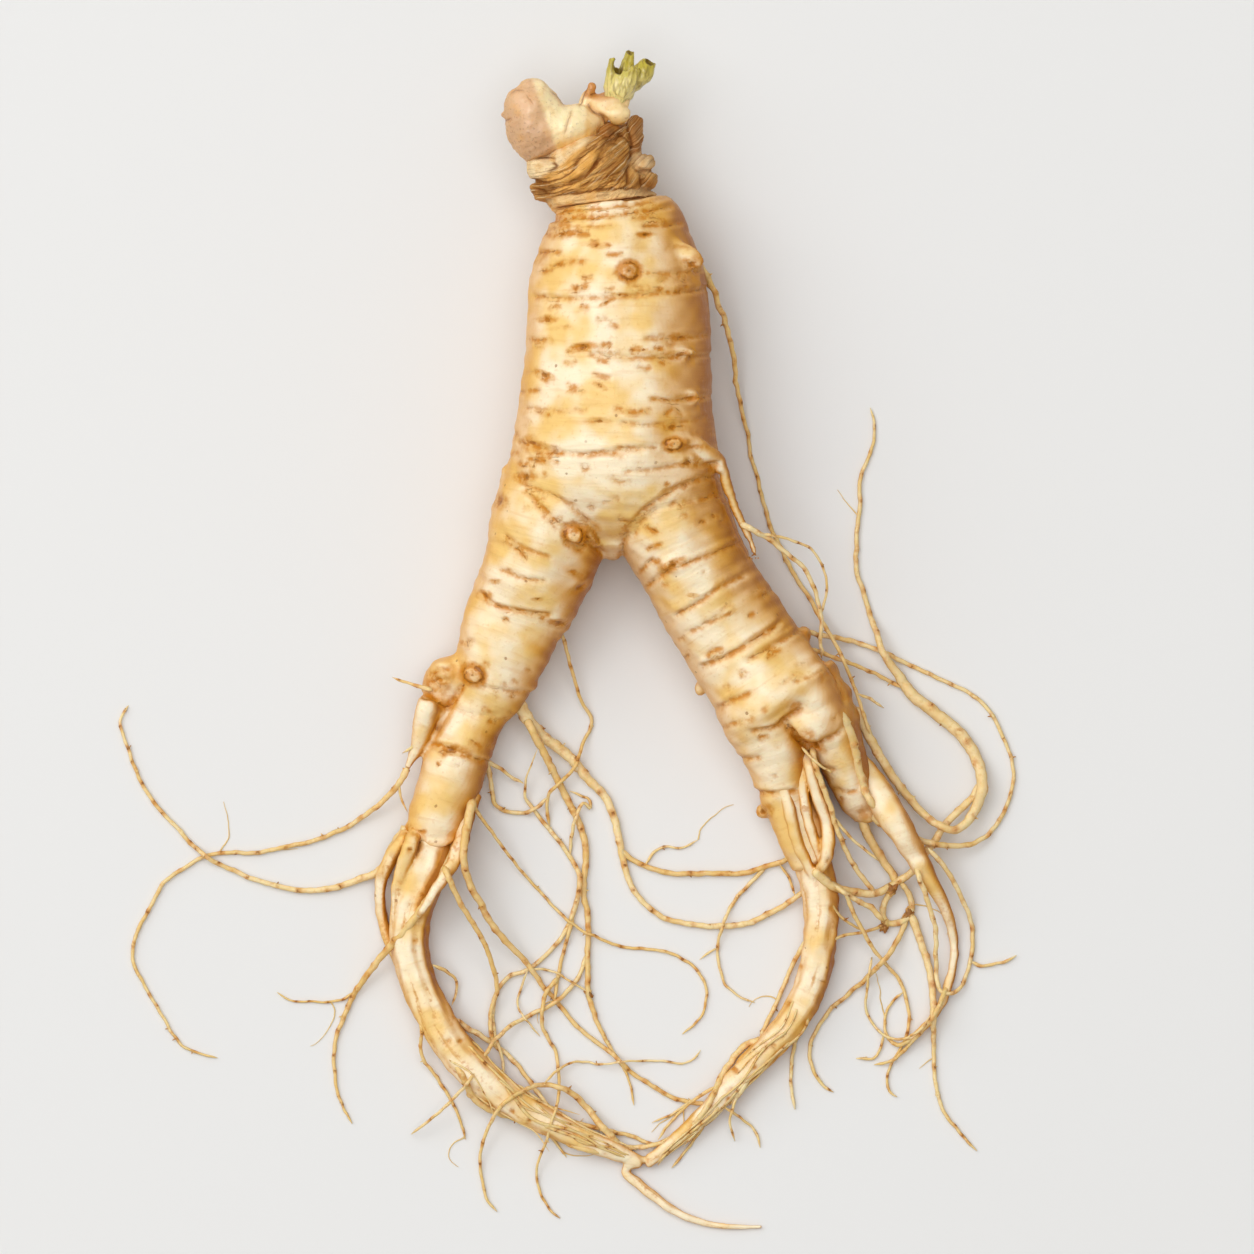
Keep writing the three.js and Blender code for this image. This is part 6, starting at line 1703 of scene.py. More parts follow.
@dataclass
class Rhizome:
    """The wrinkled neck with its collar, its folded bulge and its knobs.

    Attributes:
        step: Distance between field values.
        fold: Depth of its folds.
        seed: Seed of its unevenness.
    """

    step: float = 0.24
    fold: float = 0.45
    seed: int = 31

    def build(self) -> Mesh:
        """Makes the skin of the rhizome with its folds.

        Returns:
            The skin with what its finish reads at each corner.
        """
        forms: list[Limb | Knob] = [
            crown_limb(NECK, CROWN_HEIGHT, 1, (0.1, 0.35)),
            crown_limb(NECK_SHOULDER, CROWN_HEIGHT, 0.9, (0.3, 0.6)),
        ]
        forms += [
            Knob((x, y, CROWN_HEIGHT + rise), tuple(halves), turn, 0.45)
            for x, y, rise, *halves, turn in RHIZOME_KNOBS
        ]
        mesh = Clay(forms, self.step, floor=False).skin()
        x, y = mesh.points[:, 0], mesh.points[:, 1]
        drift = Waves(9, self.seed).at(mesh.points)
        phase = y - 0.2 * x - 0.026 * np.clip(x + 4, 0, 30) ** 2 + 0.5 * drift
        run = x + 0.4 * y + 0.5 * mesh.points[:, 2]
        collar = 1 - smoothstep(y - 0.11 * (x - 7.6), 84.6, 85.1)
        plate = smoothstep(y - 86.2 - 0.68 * (x + 6.3) + 0.4 * drift, -0.7, 0.9) * (1 - smoothstep(x, 3, 7))
        knob = bell(np.hypot(x - 14.6, y - 88.4), 3)
        strength = 1 - 0.85 * np.clip(plate + collar + 0.8 * knob, 0, 1)
        spots = np.column_stack([phase, 0.16 * run])
        folds = np.abs(Waves(4.4, self.seed + 4, 5).at(spots)).clip(0, 1)
        fibres = np.abs(Waves(1.5, self.seed + 5, 6).at(spots)).clip(0, 1)
        thin = 1 - 0.7 * smoothstep(y, 95.5, 97.5)
        relief = strength * thin * (self.fold * (folds - 0.5) + 0.16 * (fibres - 0.5))
        uneven = 0.16 * Waves(4.5, self.seed + 2).at(mesh.points)
        uneven += 0.06 * Waves(1.5, self.seed + 3).at(mesh.points)
        relief += thin * uneven
        mesh.swell(relief)
        dark = bell(np.hypot(x + 4.6, y - 84.6), 2.4) + bell(np.hypot(x - 8.4, y - 96.2), 2.2)
        dark += 0.8 * bell(np.hypot(x - 15, y - 86), 2.2)
        upper_knob = bell(np.hypot(x - 14.6, y - 90.4), 2.2)
        # painted shade: the folded bulge on the right, which faces away from the lamps, is browned
        bulge = smoothstep(x + 0.4 * (y - 90), 3.5, 9) * (1 - 0.9 * collar) * (1 - 0.8 * knob)
        mesh.values |= {
            "phase": phase, "run": run, "fold_strength": strength, "dark": dark.clip(0, 1),
            "smooth": np.clip(0.8 * plate + 0.45 * collar + 0.9 * upper_knob, 0, 1),
            "purple": bell(x - 13.4, 1.6) * smoothstep(y, 91, 93),
            "deep": bulge * smoothstep(y, 85, 87),
        }
        creases = [
            Crease(points, depth, strong, FINE_CREASE, 0.4 * depth)
            for depth, strong, points in RHIZOME_CREASES
        ]
        Marks(creases, spread=FINE_STAIN).press(mesh)
        return mesh


@dataclass
class WinterBud:
    """The horn-shaped bud with its pale saddle, its torn scales and the small round bud.

    Attributes:
        step: Distance between field values.
        seed: Seed of its unevenness.
    """

    step: float = 0.22
    seed: int = 41

    def build(self) -> Mesh:
        """Makes the skin of the bud group.

        Returns:
            The skin with what its finish reads at each corner.
        """
        forms: list[Limb | Knob] = [
            crown_limb(HORN, BUD_HEIGHT, 1, (0.3, 0.5)),
            crown_limb(SADDLE, BUD_HEIGHT, 1.6, (0.3, 0.4)),
            crown_limb(POINTED_SCALE, BUD_HEIGHT, 0.3, (0.2, 1)),
            crown_limb(SCALE_CUP, BUD_HEIGHT, 0.5, (0.3, 0.4)),
            Knob((-11.2, 99.2, BUD_HEIGHT), (1.1, 0.7, 0.8), -11, 0.5),
            Knob((-4.4, 101, BUD_HEIGHT), (3.5, 4.2, 3.8), 38, 1.2),
            Knob((9.9, 99.5, BUD_HEIGHT + 1.2), (2.3, 2.0, 2.1), 0, 0.35),
            Knob((8, 99.9, BUD_HEIGHT + 1.6), (1.5, 0.9, 1.2), 12, 0.9),
        ]
        clay = Clay(forms, self.step, floor=False)
        clay.carve(Knob((8.6, 104.4, BUD_HEIGHT + 1.2), (2.6, 1.7, 2.6), 10, 0.3))
        mesh = clay.skin()
        x, y = mesh.points[:, 0], mesh.points[:, 1]
        relief = 0.14 * Waves(4.5, self.seed).at(mesh.points)
        relief += 0.04 * Waves(1.3, self.seed + 1).at(mesh.points)
        mesh.swell(relief)
        pale = smoothstep(x + 0.35 * (y - 98), -4.6, -2.6) * (1 - 0.3 * smoothstep(x, 3.4, 5))
        scale = smoothstep(x, 2.2, 3.6) * smoothstep(y, 100, 101.6)
        round_bud = 1 - smoothstep(np.hypot(x - 9.8, (y - 99.4) * 1.1), 2, 2.7)
        # painted shade: the lower part of the bud group, towards the neck, is coloured gold
        low = 1 - smoothstep(y - 0.35 * np.clip(x, 0, 9), 92.2, 96.8)
        torn = y - 0.25 * Waves(3, self.seed + 3).at(mesh.points)
        rim = smoothstep(torn, 101.6, 103.2) * smoothstep(x, 2.6, 4)
        old = smoothstep(-x - 0.9 * (y - 98) + Waves(3.5, self.seed + 4).at(mesh.points), 4, 10) + rim
        cup = smoothstep(x, 3, 4.4) * (1 - round_bud)
        mesh.values |= {
            "pale": np.clip(pale + 0.7 * round_bud, 0, 1), "scale": scale * rim * (1 - round_bud),
            "lower_shade_and_gold": np.clip(low + 0.35 * round_bud + 0.6 * cup, 0, 1) * np.clip(pale + round_bud, 0, 1),
            "old": old.clip(0, 1),
        }
        creases = [Crease(points, depth, strong, FINE_CREASE, 0.04) for depth, strong, points in BUD_CREASES]
        Marks(creases, spread=FINE_STAIN).press(mesh)
        return mesh


@dataclass
class StemStub:
    """The stub of the cut stem, torn into four prongs with hollow tips.

    Attributes:
        step: Distance between field values.
        seed: Seed of its unevenness.
    """

    step: float = 0.17
    seed: int = 51

    def build(self) -> Mesh:
        """Makes the skin of the stub.

        Returns:
            The skin with what its finish reads at each corner.
        """
        forms = [crown_limb(STEM_BASE, BUD_HEIGHT, 0.5, (0.3, 0.1))]
        forms += [crown_limb(prong, BUD_HEIGHT, 0.35, (0.3, 0.3)) for prong in PRONGS]
        clay = Clay(forms, self.step, floor=False)
        hollows = [
            Knob((x, y, BUD_HEIGHT + rise), tuple(halves), turn, soft)
            for x, y, rise, *halves, turn, soft in HOLLOWS
        ]
        for hollow in hollows:
            clay.carve(hollow)
        mesh = clay.skin()
        across = mesh.points[:, 0] - 0.28 * (mesh.points[:, 1] - 104)
        ribs = np.sin(4.6 * across + 1.2 * Waves(6, self.seed).at(mesh.points))
        relief = 0.09 * ribs + 0.05 * Waves(1.4, self.seed + 1).at(mesh.points)
        mesh.swell(relief)
        mesh.values["rise"] = mesh.points[:, 1]
        ratio = np.min([hollow.ratio(*mesh.points.T) for hollow in hollows], axis=0)
        mesh.values["hollow"] = 1 - smoothstep(ratio, 0.9, 1.3)
        return mesh


# Finishes


def paint(code: str) -> tuple[float, float, float, float]:
    """Returns the linear colour of an sRGB hex code."""
    parts = [int(code[k : k + 2], 16) / 255 for k in (1, 3, 5)]
    return (*(part / 12.92 if part <= 0.04045 else ((part + 0.055) / 1.055) ** 2.4 for part in parts), 1.0)


@dataclass(frozen=True)
class Mask:
    """Where a value lies past a bound, from 0 to a share.

    Attributes:
        value: The value.
        low: Value at which the mask starts to show.
        high: Value at which it shows in full, which may be the lower of the two.
        share: How much of it shows there.
        within: A second value, from 0 to 1, that holds it back.
    """

    value: Any
    low: float = 0.0
    high: float = 1.0
    share: float = 1.0
    within: Any = 1.0


@dataclass(frozen=True)
class Layer:
    """A colour laid over a finish.

    Attributes:
        colour: Its hex code.
        mask: Where it covers what is under it.
    """

    colour: str
    mask: Mask


@dataclass(frozen=True)
class Grain:
    """An uneven pattern.

    Attributes:
        name: Its name.
        sizes: Size of its spots in millimetres, along the three axes of what it is laid on.
        detail: How many times finer its finest spots are, in doublings.
        coat: Whether it is laid round and along the root instead of straight through the solid.
    """

    name: str
    sizes: Point
    detail: float = 2.0
    coat: bool = False


class Shader:
    """The node tree of one material."""

    def __init__(self, name: str, values: Sequence[str], grains: Sequence[Grain], **sockets: Any) -> None:
        """Starts a material.

        Args:
            name: Name of the real material and how its surface was made.
            values: Names of the values that it reads from the corners of a mesh.
            grains: Its uneven patterns.
            sockets: Values of the surface shader's sockets, with _ for a space in a name.
        """
        self.material = bpy.data.materials.new(name)
        self.material.use_nodes = True
        self.tree = self.material.node_tree
        self.surface = self.tree.nodes["Principled BSDF"]
        for socket, value in sockets.items():
            self.surface.inputs[socket.replace("_", " ").title().replace("Ior", "IOR")].default_value = value
        self.read = {label: self.put("Attribute", out="Fac", attribute_name=label) for label in values}
        solid = self.put("TexCoord", out="Object")
        self.place = self.put("VectorMath", {0: solid, "Scale": 1 / MM}, operation="SCALE")
        coat = self.place
        if "phase" in self.read:
            coat = self.put("CombineXYZ", {0: self.read["run"], 1: self.read["phase"]})
        elif "along" in self.read and "around" in self.read:
            coat = self.put("CombineXYZ", {0: self.read["around"], 1: self.read["along"]})
        self.grain: dict[str, Any] = {}
        for grain in grains:
            steps = {0: coat if grain.coat else self.place, 1: tuple(1 / size for size in grain.sizes)}
            spread = self.put("VectorMath", steps, operation="MULTIPLY")
            noise = {"Vector": spread, "Scale": 1.0, "Detail": grain.detail}
            self.grain[grain.name] = self.put("TexNoise", noise)

    def put(
        self, kind: str, inputs: dict[int | str, Any] | None = None, out: int | str = 0, **settings: Any
    ) -> Any:
        """Adds a node.

        Args:
            kind: Its kind, without the word ShaderNode.
            inputs: Values or output sockets for its inputs, by name or number.
            out: Which of its outputs is returned.
            settings: Its other settings.

        Returns:
            One of its output sockets.
        """
        node = self.tree.nodes.new("ShaderNode" + kind)
        for name, value in settings.items():
            setattr(node, name, value)
        for socket, value in (inputs or {}).items():
            if isinstance(value, bpy.types.NodeSocket):
                self.tree.links.new(value, node.inputs[socket])
            else:
                node.inputs[socket].default_value = value
        return node.outputs[out]

    def shown(self, mask: Mask) -> Any:
        """Returns how much of a mask shows, from 0 to its share.

        Args:
            mask: The mask.

        Returns:
            An output socket.
        """
        ends = {"Value": mask.value, "From Min": mask.low, "From Max": mask.high, "To Max": mask.share}
        share = self.put("MapRange", ends, interpolation_type="SMOOTHSTEP")
        return self.put("Math", {0: share, 1: mask.within}, operation="MULTIPLY")

    def torn(self, distance: str, grain: str, depth: float) -> Any:
        """Returns how far a place is from a line kept in the mesh, with the line's edges torn by a grain.

        Args:
            distance: Name of the value that says how far the line is.
            grain: Name of the grain.
            depth: How far the grain moves the edges.

        Returns:
            An output socket.
        """
        lean = self.put("Math", {0: self.grain[grain], 1: 0.5}, operation="SUBTRACT")
        lean = self.put("Math", {0: lean, 1: depth, 2: self.read[distance]}, operation="MULTIPLY_ADD")
        return self.put("Math", {0: lean}, operation="ABSOLUTE")

    def finish(
        self, base: str, layers: Sequence[Layer], rough: Mask, heights: Sequence[tuple[Any, float]]
    ) -> bpy.types.Material:
        """Joins colours, roughness and relief to the surface.

        Args:
            base: The colour under every layer.
            layers: The colours laid over it, in order.
            rough: What its roughness follows, from low where the value is 0.3 to high where it is 0.7.
            heights: Values from 0 to 1, each with its depth in millimetres.

        Returns:
            The material.
        """
        colour: Any = paint(base)
        for layer in layers:
            mixed = {0: self.shown(layer.mask), 6: colour, 7: paint(layer.colour)}
            colour = self.put("Mix", mixed, 2, data_type="RGBA")
        total: Any = 0.0
        for height, depth in heights:
            total = self.put("Math", {0: height, 1: depth, 2: total}, operation="MULTIPLY_ADD")
        normal = self.put("Bump", {"Strength": 1.0, "Distance": MM, "Height": total})
        ends = {"Value": rough.value, "From Min": 0.3, "From Max": 0.7, "To Min": rough.low}
        evenness = self.put("MapRange", ends | {"To Max": rough.high})
        for socket, value in (("Base Color", colour), ("Roughness", evenness), ("Normal", normal)):
            self.tree.links.new(value, self.surface.inputs[socket])
        return self.material


@dataclass(frozen=True)
class RootSkin:
    """Fresh ginseng root skin, washed: moist and waxy, so highlights stay soft and light glows through it.

    Attributes:
        cream: The skin where it is palest.
        gold: Its warmer patches.
        shade_amber: Painted shade on its sides, on its side away from the lamps and in the hollows between
            its forms.
        shade_umber: Deeper painted shade on its side away from the lamps and deep in its hollows.
        streak: Faint bands that run round it.
        orange: The stain beside a crease.
        brown: Cork in creases and scars.
        dark: The bottom of a crease.
    """

    name: str = "fresh root skin, washed"
    cream: str = "#FBEAC8"
    gold: str = "#EEC05E"
    shade_amber: str = "#DC9618"
    shade_umber: str = "#A05808"
    streak: str = "#D69A3E"
    orange: str = "#C87C10"
    brown: str = "#8C5006"
    dark: str = "#543006"

    def make(self) -> bpy.types.Material:
        """Builds the material.

        Returns:
            The material.
        """
        values = ("along", "around", "flank", "shaded", "hollow", "stain", "furrow", "button", "pit")
        values += ("crease_away", "crease_width", "crease_strength")
        # warm patches of 9 mm, growth bands 1.4 mm apart and fine rings 0.7 mm apart round the root, wrinkles
        # and threads 0.8 mm apart along it, and cork of 0.9 mm; real pores of 0.1 mm are too fine to show, so
        # they are drawn 0.25 mm wide
        grains = (
            Grain("patch", (9, 9, 9)), Grain("band", (10, 1.4, 1), 3.0, True),
            Grain("mottle", (0.8, 0.8, 0.8), 4.0),
            Grain("cork", (0.9, 0.9, 0.9), 4.0), Grain("fleck", (2.2, 1.4, 1), 2.0, True),
            Grain("blot", (1.5, 1.5, 1.5), 3.0), Grain("wrinkle", (0.8, 4.2, 1), 3.0, True),
            Grain("ring", (7, 0.7, 1), 4.0, True), Grain("pore", (0.25, 0.25, 0.25), 3.0),
            Grain("sheen", (2, 2, 2), 4.0), Grain("thread", (0.7, 9, 1), 3.0, True),
        )
        shader = Shader(
            self.name, values, grains, ior=1.42, subsurface_weight=0.08, subsurface_radius=(1.0, 0.5, 0.15),
            subsurface_scale=GLOW, coat_weight=0.3, coat_roughness=0.3, coat_ior=1.35,
            specular_ior_level=0.15,
        )
        put, read, grain = shader.put, shader.read, shader.grain
        # creases: their distance is torn by cork of about a millimetre, and cork fills parts of them
        away = shader.torn("crease_away", "cork", 0.9)
        ratio = put("Math", {0: away, 1: read["crease_width"]}, operation="DIVIDE")
        broken = shader.shown(Mask(grain["fleck"], 0.5, 0.62, 1, read["crease_strength"]))
        worn = shader.shown(Mask(grain["blot"], 0.3, 0.6, 1, read["crease_strength"]))
        core = shader.shown(Mask(ratio, 1.7, 0.5, 1, broken))
        edge = shader.shown(Mask(away, 0.75, 0.05, 1, worn))
        # scars: buttons in a thin ring with a dark middle, and pits filled with cork
        button, pit = shader.torn("button", "cork", 0.7), shader.torn("pit", "cork", 0.9)
        ring = shader.shown(Mask(button, 0.82, 0.98, 1, shader.shown(Mask(button, 1.3, 1.05))))
        ring = shader.shown(Mask(grain["blot"], 0.38, 0.56, 1, ring))
        halo = shader.shown(Mask(button, 0.55, 0.9, 1, shader.shown(Mask(button, 1.9, 1.0))))
        middle = shader.shown(Mask(shader.torn("button", "cork", 0.4), 0.26, 0.08))
        hollow = shader.shown(Mask(pit, 0.85, 0.35))
        # specks: small corky dots, in about a tenth of the cells of a pattern of 1.9 mm
        cells = {"Vector": shader.place, "Scale": 1 / 1.9, "Randomness": 1.0}
        chosen = shader.shown(Mask(put("SeparateColor", {0: put("TexVoronoi", cells, 1)}), 0.9, 1))
        nearest = put("TexVoronoi", cells, 0)
        speck = put("Math", {0: grain["cork"], 1: -0.35, 2: nearest}, operation="MULTIPLY_ADD")
        speck = shader.shown(Mask(speck, 0.02, -0.06, 1, chosen))
        layers = (
            Layer(self.gold, Mask(grain["patch"], 0.4, 0.66, 0.8)),
            # painted shade: darker, warmer colour on the sides, on the side that faces away from the lamps
            # and in the hollows between forms
            Layer(self.shade_amber, Mask(read["flank"], 0.1, 0.8, 0.7)),
            Layer(self.shade_amber, Mask(read["shaded"], 0.15, 0.7, 0.75)),
            Layer(self.shade_umber, Mask(read["shaded"], 0.5, 0.95, 0.9)),
            Layer(self.shade_amber, Mask(read["hollow"], 0.25, 0.8, 0.7)),
            Layer(self.shade_umber, Mask(read["hollow"], 0.7, 1, 0.6)),
            Layer(self.streak, Mask(grain["band"], 0.54, 0.72, 0.22)),
            Layer(self.streak, Mask(grain["mottle"], 0.56, 0.75, 0.25)),
            Layer(self.streak, Mask(grain["thread"], 0.48, 0.62, 0.6, read["furrow"])),
            Layer(self.streak, Mask(read["stain"], 0.05, 0.7, 0.5)),
            Layer(self.orange, Mask(grain["blot"], 0.4, 0.62, 0.8, read["stain"])),
            Layer(self.orange, Mask(grain["cork"], 0.46, 0.66, 0.6, read["furrow"])),
            Layer(self.orange, Mask(edge, 0, 1, 0.75)), Layer(self.orange, Mask(halo, 0, 1, 0.8)),
            Layer(self.brown, Mask(grain["cork"], 0.6, 0.72, 0.35, read["stain"])),
            Layer(self.brown, Mask(speck, 0, 1, 0.6)), Layer(self.brown, Mask(ring, 0, 1, 0.8)),
            Layer(self.orange, Mask(hollow, 0, 1, 0.75)), Layer(self.brown, Mask(hollow, 0.3, 1, 0.4)),
            Layer(self.brown, Mask(core, 0, 1, 0.5)), Layer(self.brown, Mask(middle, 0, 1, 0.5)),
            Layer(self.dark, Mask(pit, 0.4, 0.05, 0.45)), Layer(self.dark, Mask(core, 0.8, 1, 0.2)),
        )
        heights = (
            (grain["wrinkle"], 0.08), (grain["ring"], 0.15), (grain["pore"], 0.03), (grain["mottle"], 0.08),
            (edge, -0.1),
            (core, -0.12), (ring, -0.12), (middle, -0.15), (hollow, -0.15), (speck, -0.06),
        )
        return shader.finish(self.cream, layers, Mask(grain["sheen"], 0.34, 0.52), heights)


@dataclass(frozen=True)
class RootletSkin:
    """Fresh rootlet skin, washed: thin and half see-through, pale straw with brown cork at its nodes.

    Attributes:
        pale: The palest rootlets.
        straw: The darkest ones, and the painted shade on the sides of every rootlet.
        orange: The stain round a node.
        brown: Cork at nodes and on nubs.
    """

    name: str = "fresh rootlet skin, washed"
    pale: str = "#F4DCA8"
    straw: str = "#DEB05A"
    orange: str = "#C47A1C"
    brown: str = "#7E4610"

    def make(self) -> bpy.types.Material:
        """Builds the material.

        Returns:
            The material.
        """
        # cork of 0.5 mm at the nodes and stripes of 0.9 mm; real pores of 0.1 mm are too fine to show, so
        # they are drawn 0.4 mm wide
        grains = (
            Grain("lean", (0.55, 0.55, 0.55)), Grain("site", (1.6, 1.6, 1.6), 3.0), Grain("patch", (4, 4, 4)),
            Grain("stripe", (0.9, 0.9, 0.9), 4.0), Grain("pore", (0.4, 0.4, 0.4), 3.0),
            Grain("sheen", (1.2, 1.2, 1.2)),
        )
        shader = Shader(
            self.name, ("to_node", "tone", "flank"), grains, ior=1.42, subsurface_weight=0.2,
            subsurface_radius=(1.0, 0.6, 0.2), subsurface_scale=GLOW, coat_weight=0.12, coat_roughness=0.3,
            coat_ior=1.35,
            specular_ior_level=0.25,
        )
        read, grain = shader.read, shader.grain
        near = shader.torn("to_node", "lean", 0.7)
        node = shader.shown(Mask(near, 0.42, 0.1, 1, shader.shown(Mask(grain["site"], 0.42, 0.54))))
        layers = (
            Layer(self.straw, Mask(read["tone"], 0, 1, 0.45)),
            Layer(self.straw, Mask(grain["patch"], 0.38, 0.7, 0.5)),
            Layer(self.straw, Mask(grain["stripe"], 0.5, 0.72, 0.45)),
            # painted shade on the sides of each rootlet
            Layer(self.straw, Mask(read["flank"], 0.25, 0.9, 0.5)),
            Layer(self.orange, Mask(near, 1.3, 0.2, 0.7, shader.shown(Mask(grain["site"], 0.38, 0.56)))),
            Layer(self.brown, Mask(node, 0, 1, 0.75)),
        )
        heights = ((grain["pore"], 0.12), (node, 0.06))
        return shader.finish(self.pale, layers, Mask(grain["sheen"], 0.42, 0.56), heights)


@dataclass(frozen=True)
class RhizomeBark:
    """Rhizome bark, dry and folded: matte and fibrous, with brown earth left in its folds.

    Attributes:
        tan: Crests of the folds.
        peach: The smooth plate on the left, the collar and the upper knob.
        gold: Patches on both.
        purple: The bulge on the right.
        brown: Slopes of the folds, and the painted shade over the folded bulge on the right.
        dark: Valleys and creases.
    """

    name: str = "rhizome bark, dry and folded"
    tan: str = "#ECB464"
    peach: str = "#F6DCAC"
    gold: str = "#E0A044"
    purple: str = "#A87040"
    brown: str = "#84460A"
    dark: str = "#341804"

    def make(self) -> bpy.types.Material:
        """Builds the material.

        Returns:
            The material.
        """
        # fibres 0.45 mm apart that run 6 mm along a fold, over bumps of 0.6 mm; real grit of 0.1 mm is too
        # fine to show, so it is drawn 0.2 mm wide
        grains = (
            Grain("patch", (3, 3, 3), 4.0), Grain("crust", (0.5, 0.5, 0.5), 3.0),
            Grain("lean", (0.85, 0.85, 0.85), 3.0),
            Grain("bumps", (0.6, 0.6, 0.6), 5.0), Grain("grit", (0.2, 0.2, 0.2), 3.0),
            Grain("sheen", (1.2, 1.2, 1.2)),
            Grain("fibre", (6, 0.45, 1), 3.0, True), Grain("shade", (14, 2, 1), 2.0, True),
        )
        values = ("phase", "run", "fold_strength", "smooth", "dark", "deep", "purple", "stain")
        values += ("crease_away", "crease_strength")
        shader = Shader(
            self.name, values, grains, ior=1.45, subsurface_weight=0.06, subsurface_radius=(1.0, 0.5, 0.2),
            subsurface_scale=GLOW, specular_ior_level=0.15,
        )
        read, grain = shader.read, shader.grain
        away = shader.torn("crease_away", "lean", 0.35)
        crease = shader.shown(Mask(away, 0.32, 0.05, 1, read["crease_strength"]))
        layers = (
            Layer(self.peach, Mask(read["smooth"])), Layer(self.gold, Mask(grain["patch"], 0.45, 0.68, 0.6)),
            # painted shade over the folded bulge on the right
            Layer(self.brown, Mask(read["deep"], 0, 1, 0.45)),
            Layer(self.purple, Mask(read["purple"], 0.2, 1, 0.6)),
            Layer(self.brown, Mask(grain["shade"], 0.5, 0.68, 0.4, read["fold_strength"])),
            Layer(self.brown, Mask(grain["fibre"], 0.54, 0.66, 0.7, read["fold_strength"])),
            Layer(self.brown, Mask(grain["crust"], 0.6, 0.74, 0.35)),
            Layer(self.brown, Mask(read["stain"], 0.1, 1, 0.6)),
            Layer(self.brown, Mask(read["dark"], 0, 0.7, 0.6)),
            Layer(self.dark, Mask(read["dark"], 0.8, 1, 0.4)), Layer(self.brown, Mask(crease, 0, 1, 0.5)),
            Layer(self.dark, Mask(crease, 0.7, 1, 0.25)),
            Layer(self.peach, Mask(grain["fibre"], 0.44, 0.3, 0.7, read["fold_strength"])),
        )
        heights = ((grain["bumps"], 0.25), (grain["grit"], 0.05), (grain["fibre"], 0.6), (crease, -0.15))
        return shader.finish(self.tan, layers, Mask(grain["sheen"], 0.5, 0.68), heights)


@dataclass(frozen=True)
class BudScale:
    """Fleshy bud scale, smooth: a thin satin skin, pinkish beige where it is old and cream where it is new.

    Attributes:
        beige: Old outer scale.
        cream: New inner scale.
        gold: Painted shade on the lower part and on the sides of the new scale, its golden patches, and the
            colour of the round bud and of the cup.
        orange: Torn scale.
        brown: Its edges and spots.
    """

    name: str = "bud scale, smooth and fleshy"
    beige: str = "#DFB488"
    cream: str = "#FCE6B4"
    gold: str = "#E2A438"
    orange: str = "#C88030"
    brown: str = "#84501E"

    def make(self) -> bpy.types.Material:
        """Builds the material.

        Returns:
            The material.
        """
        # soft bumps of 1.1 mm under patches of 3.3 mm; real pores of 0.1 mm are too fine to show, so they are
        # drawn 0.25 mm wide
        grains = (
            Grain("patch", (3.3, 3.3, 3.3), 3.0), Grain("spot", (0.55, 0.55, 0.55), 4.0),
            Grain("lean", (0.65, 0.65, 0.65), 3.0),
            Grain("bumps", (1.1, 1.1, 1.1), 4.0), Grain("pore", (0.25, 0.25, 0.25), 3.0),
            Grain("sheen", (1.2, 1.2, 1.2)),
        )
        values = ("pale", "lower_shade_and_gold", "old", "scale", "crease_away", "crease_strength", "flank")
        shader = Shader(
            self.name, values, grains, ior=1.42, subsurface_weight=0.2, subsurface_radius=(1.0, 0.6, 0.25),
            subsurface_scale=0.002, coat_weight=0.2, coat_roughness=0.25, coat_ior=1.35,
        )
        read, grain = shader.read, shader.grain
        away = shader.torn("crease_away", "lean", 0.4)
        core = shader.shown(Mask(away, 0.24, 0.04, 1, read["crease_strength"]))
        layers = (
            # painted shade: gold over the lower part of the new scale; the same gold is the colour of the
            # round bud and the cup
            Layer(self.cream, Mask(read["pale"])), Layer(self.gold, Mask(read["lower_shade_and_gold"], 0, 1, 0.8)),
            Layer(self.brown, Mask(read["old"], 0, 1, 0.22)),
            Layer(self.gold, Mask(grain["patch"], 0.5, 0.75, 0.35)),
            # painted shade on the sides
            Layer(self.gold, Mask(read["flank"], 0.3, 0.9, 0.4)),
            Layer(self.orange, Mask(read["scale"], 0, 1, 0.8)),
            Layer(self.brown, Mask(grain["spot"], 0.56, 0.75, 0.3)),
            Layer(self.brown, Mask(grain["spot"], 0.54, 0.64, 0.22, read["old"])),
            Layer(self.orange, Mask(away, 0.8, 0.1, 0.5, read["crease_strength"])),
            Layer(self.brown, Mask(core, 0, 1, 0.6)),
        )
        heights = ((grain["bumps"], 0.15), (grain["pore"], 0.03), (core, -0.15))
        return shader.finish(self.beige, layers, Mask(grain["sheen"], 0.36, 0.5), heights)


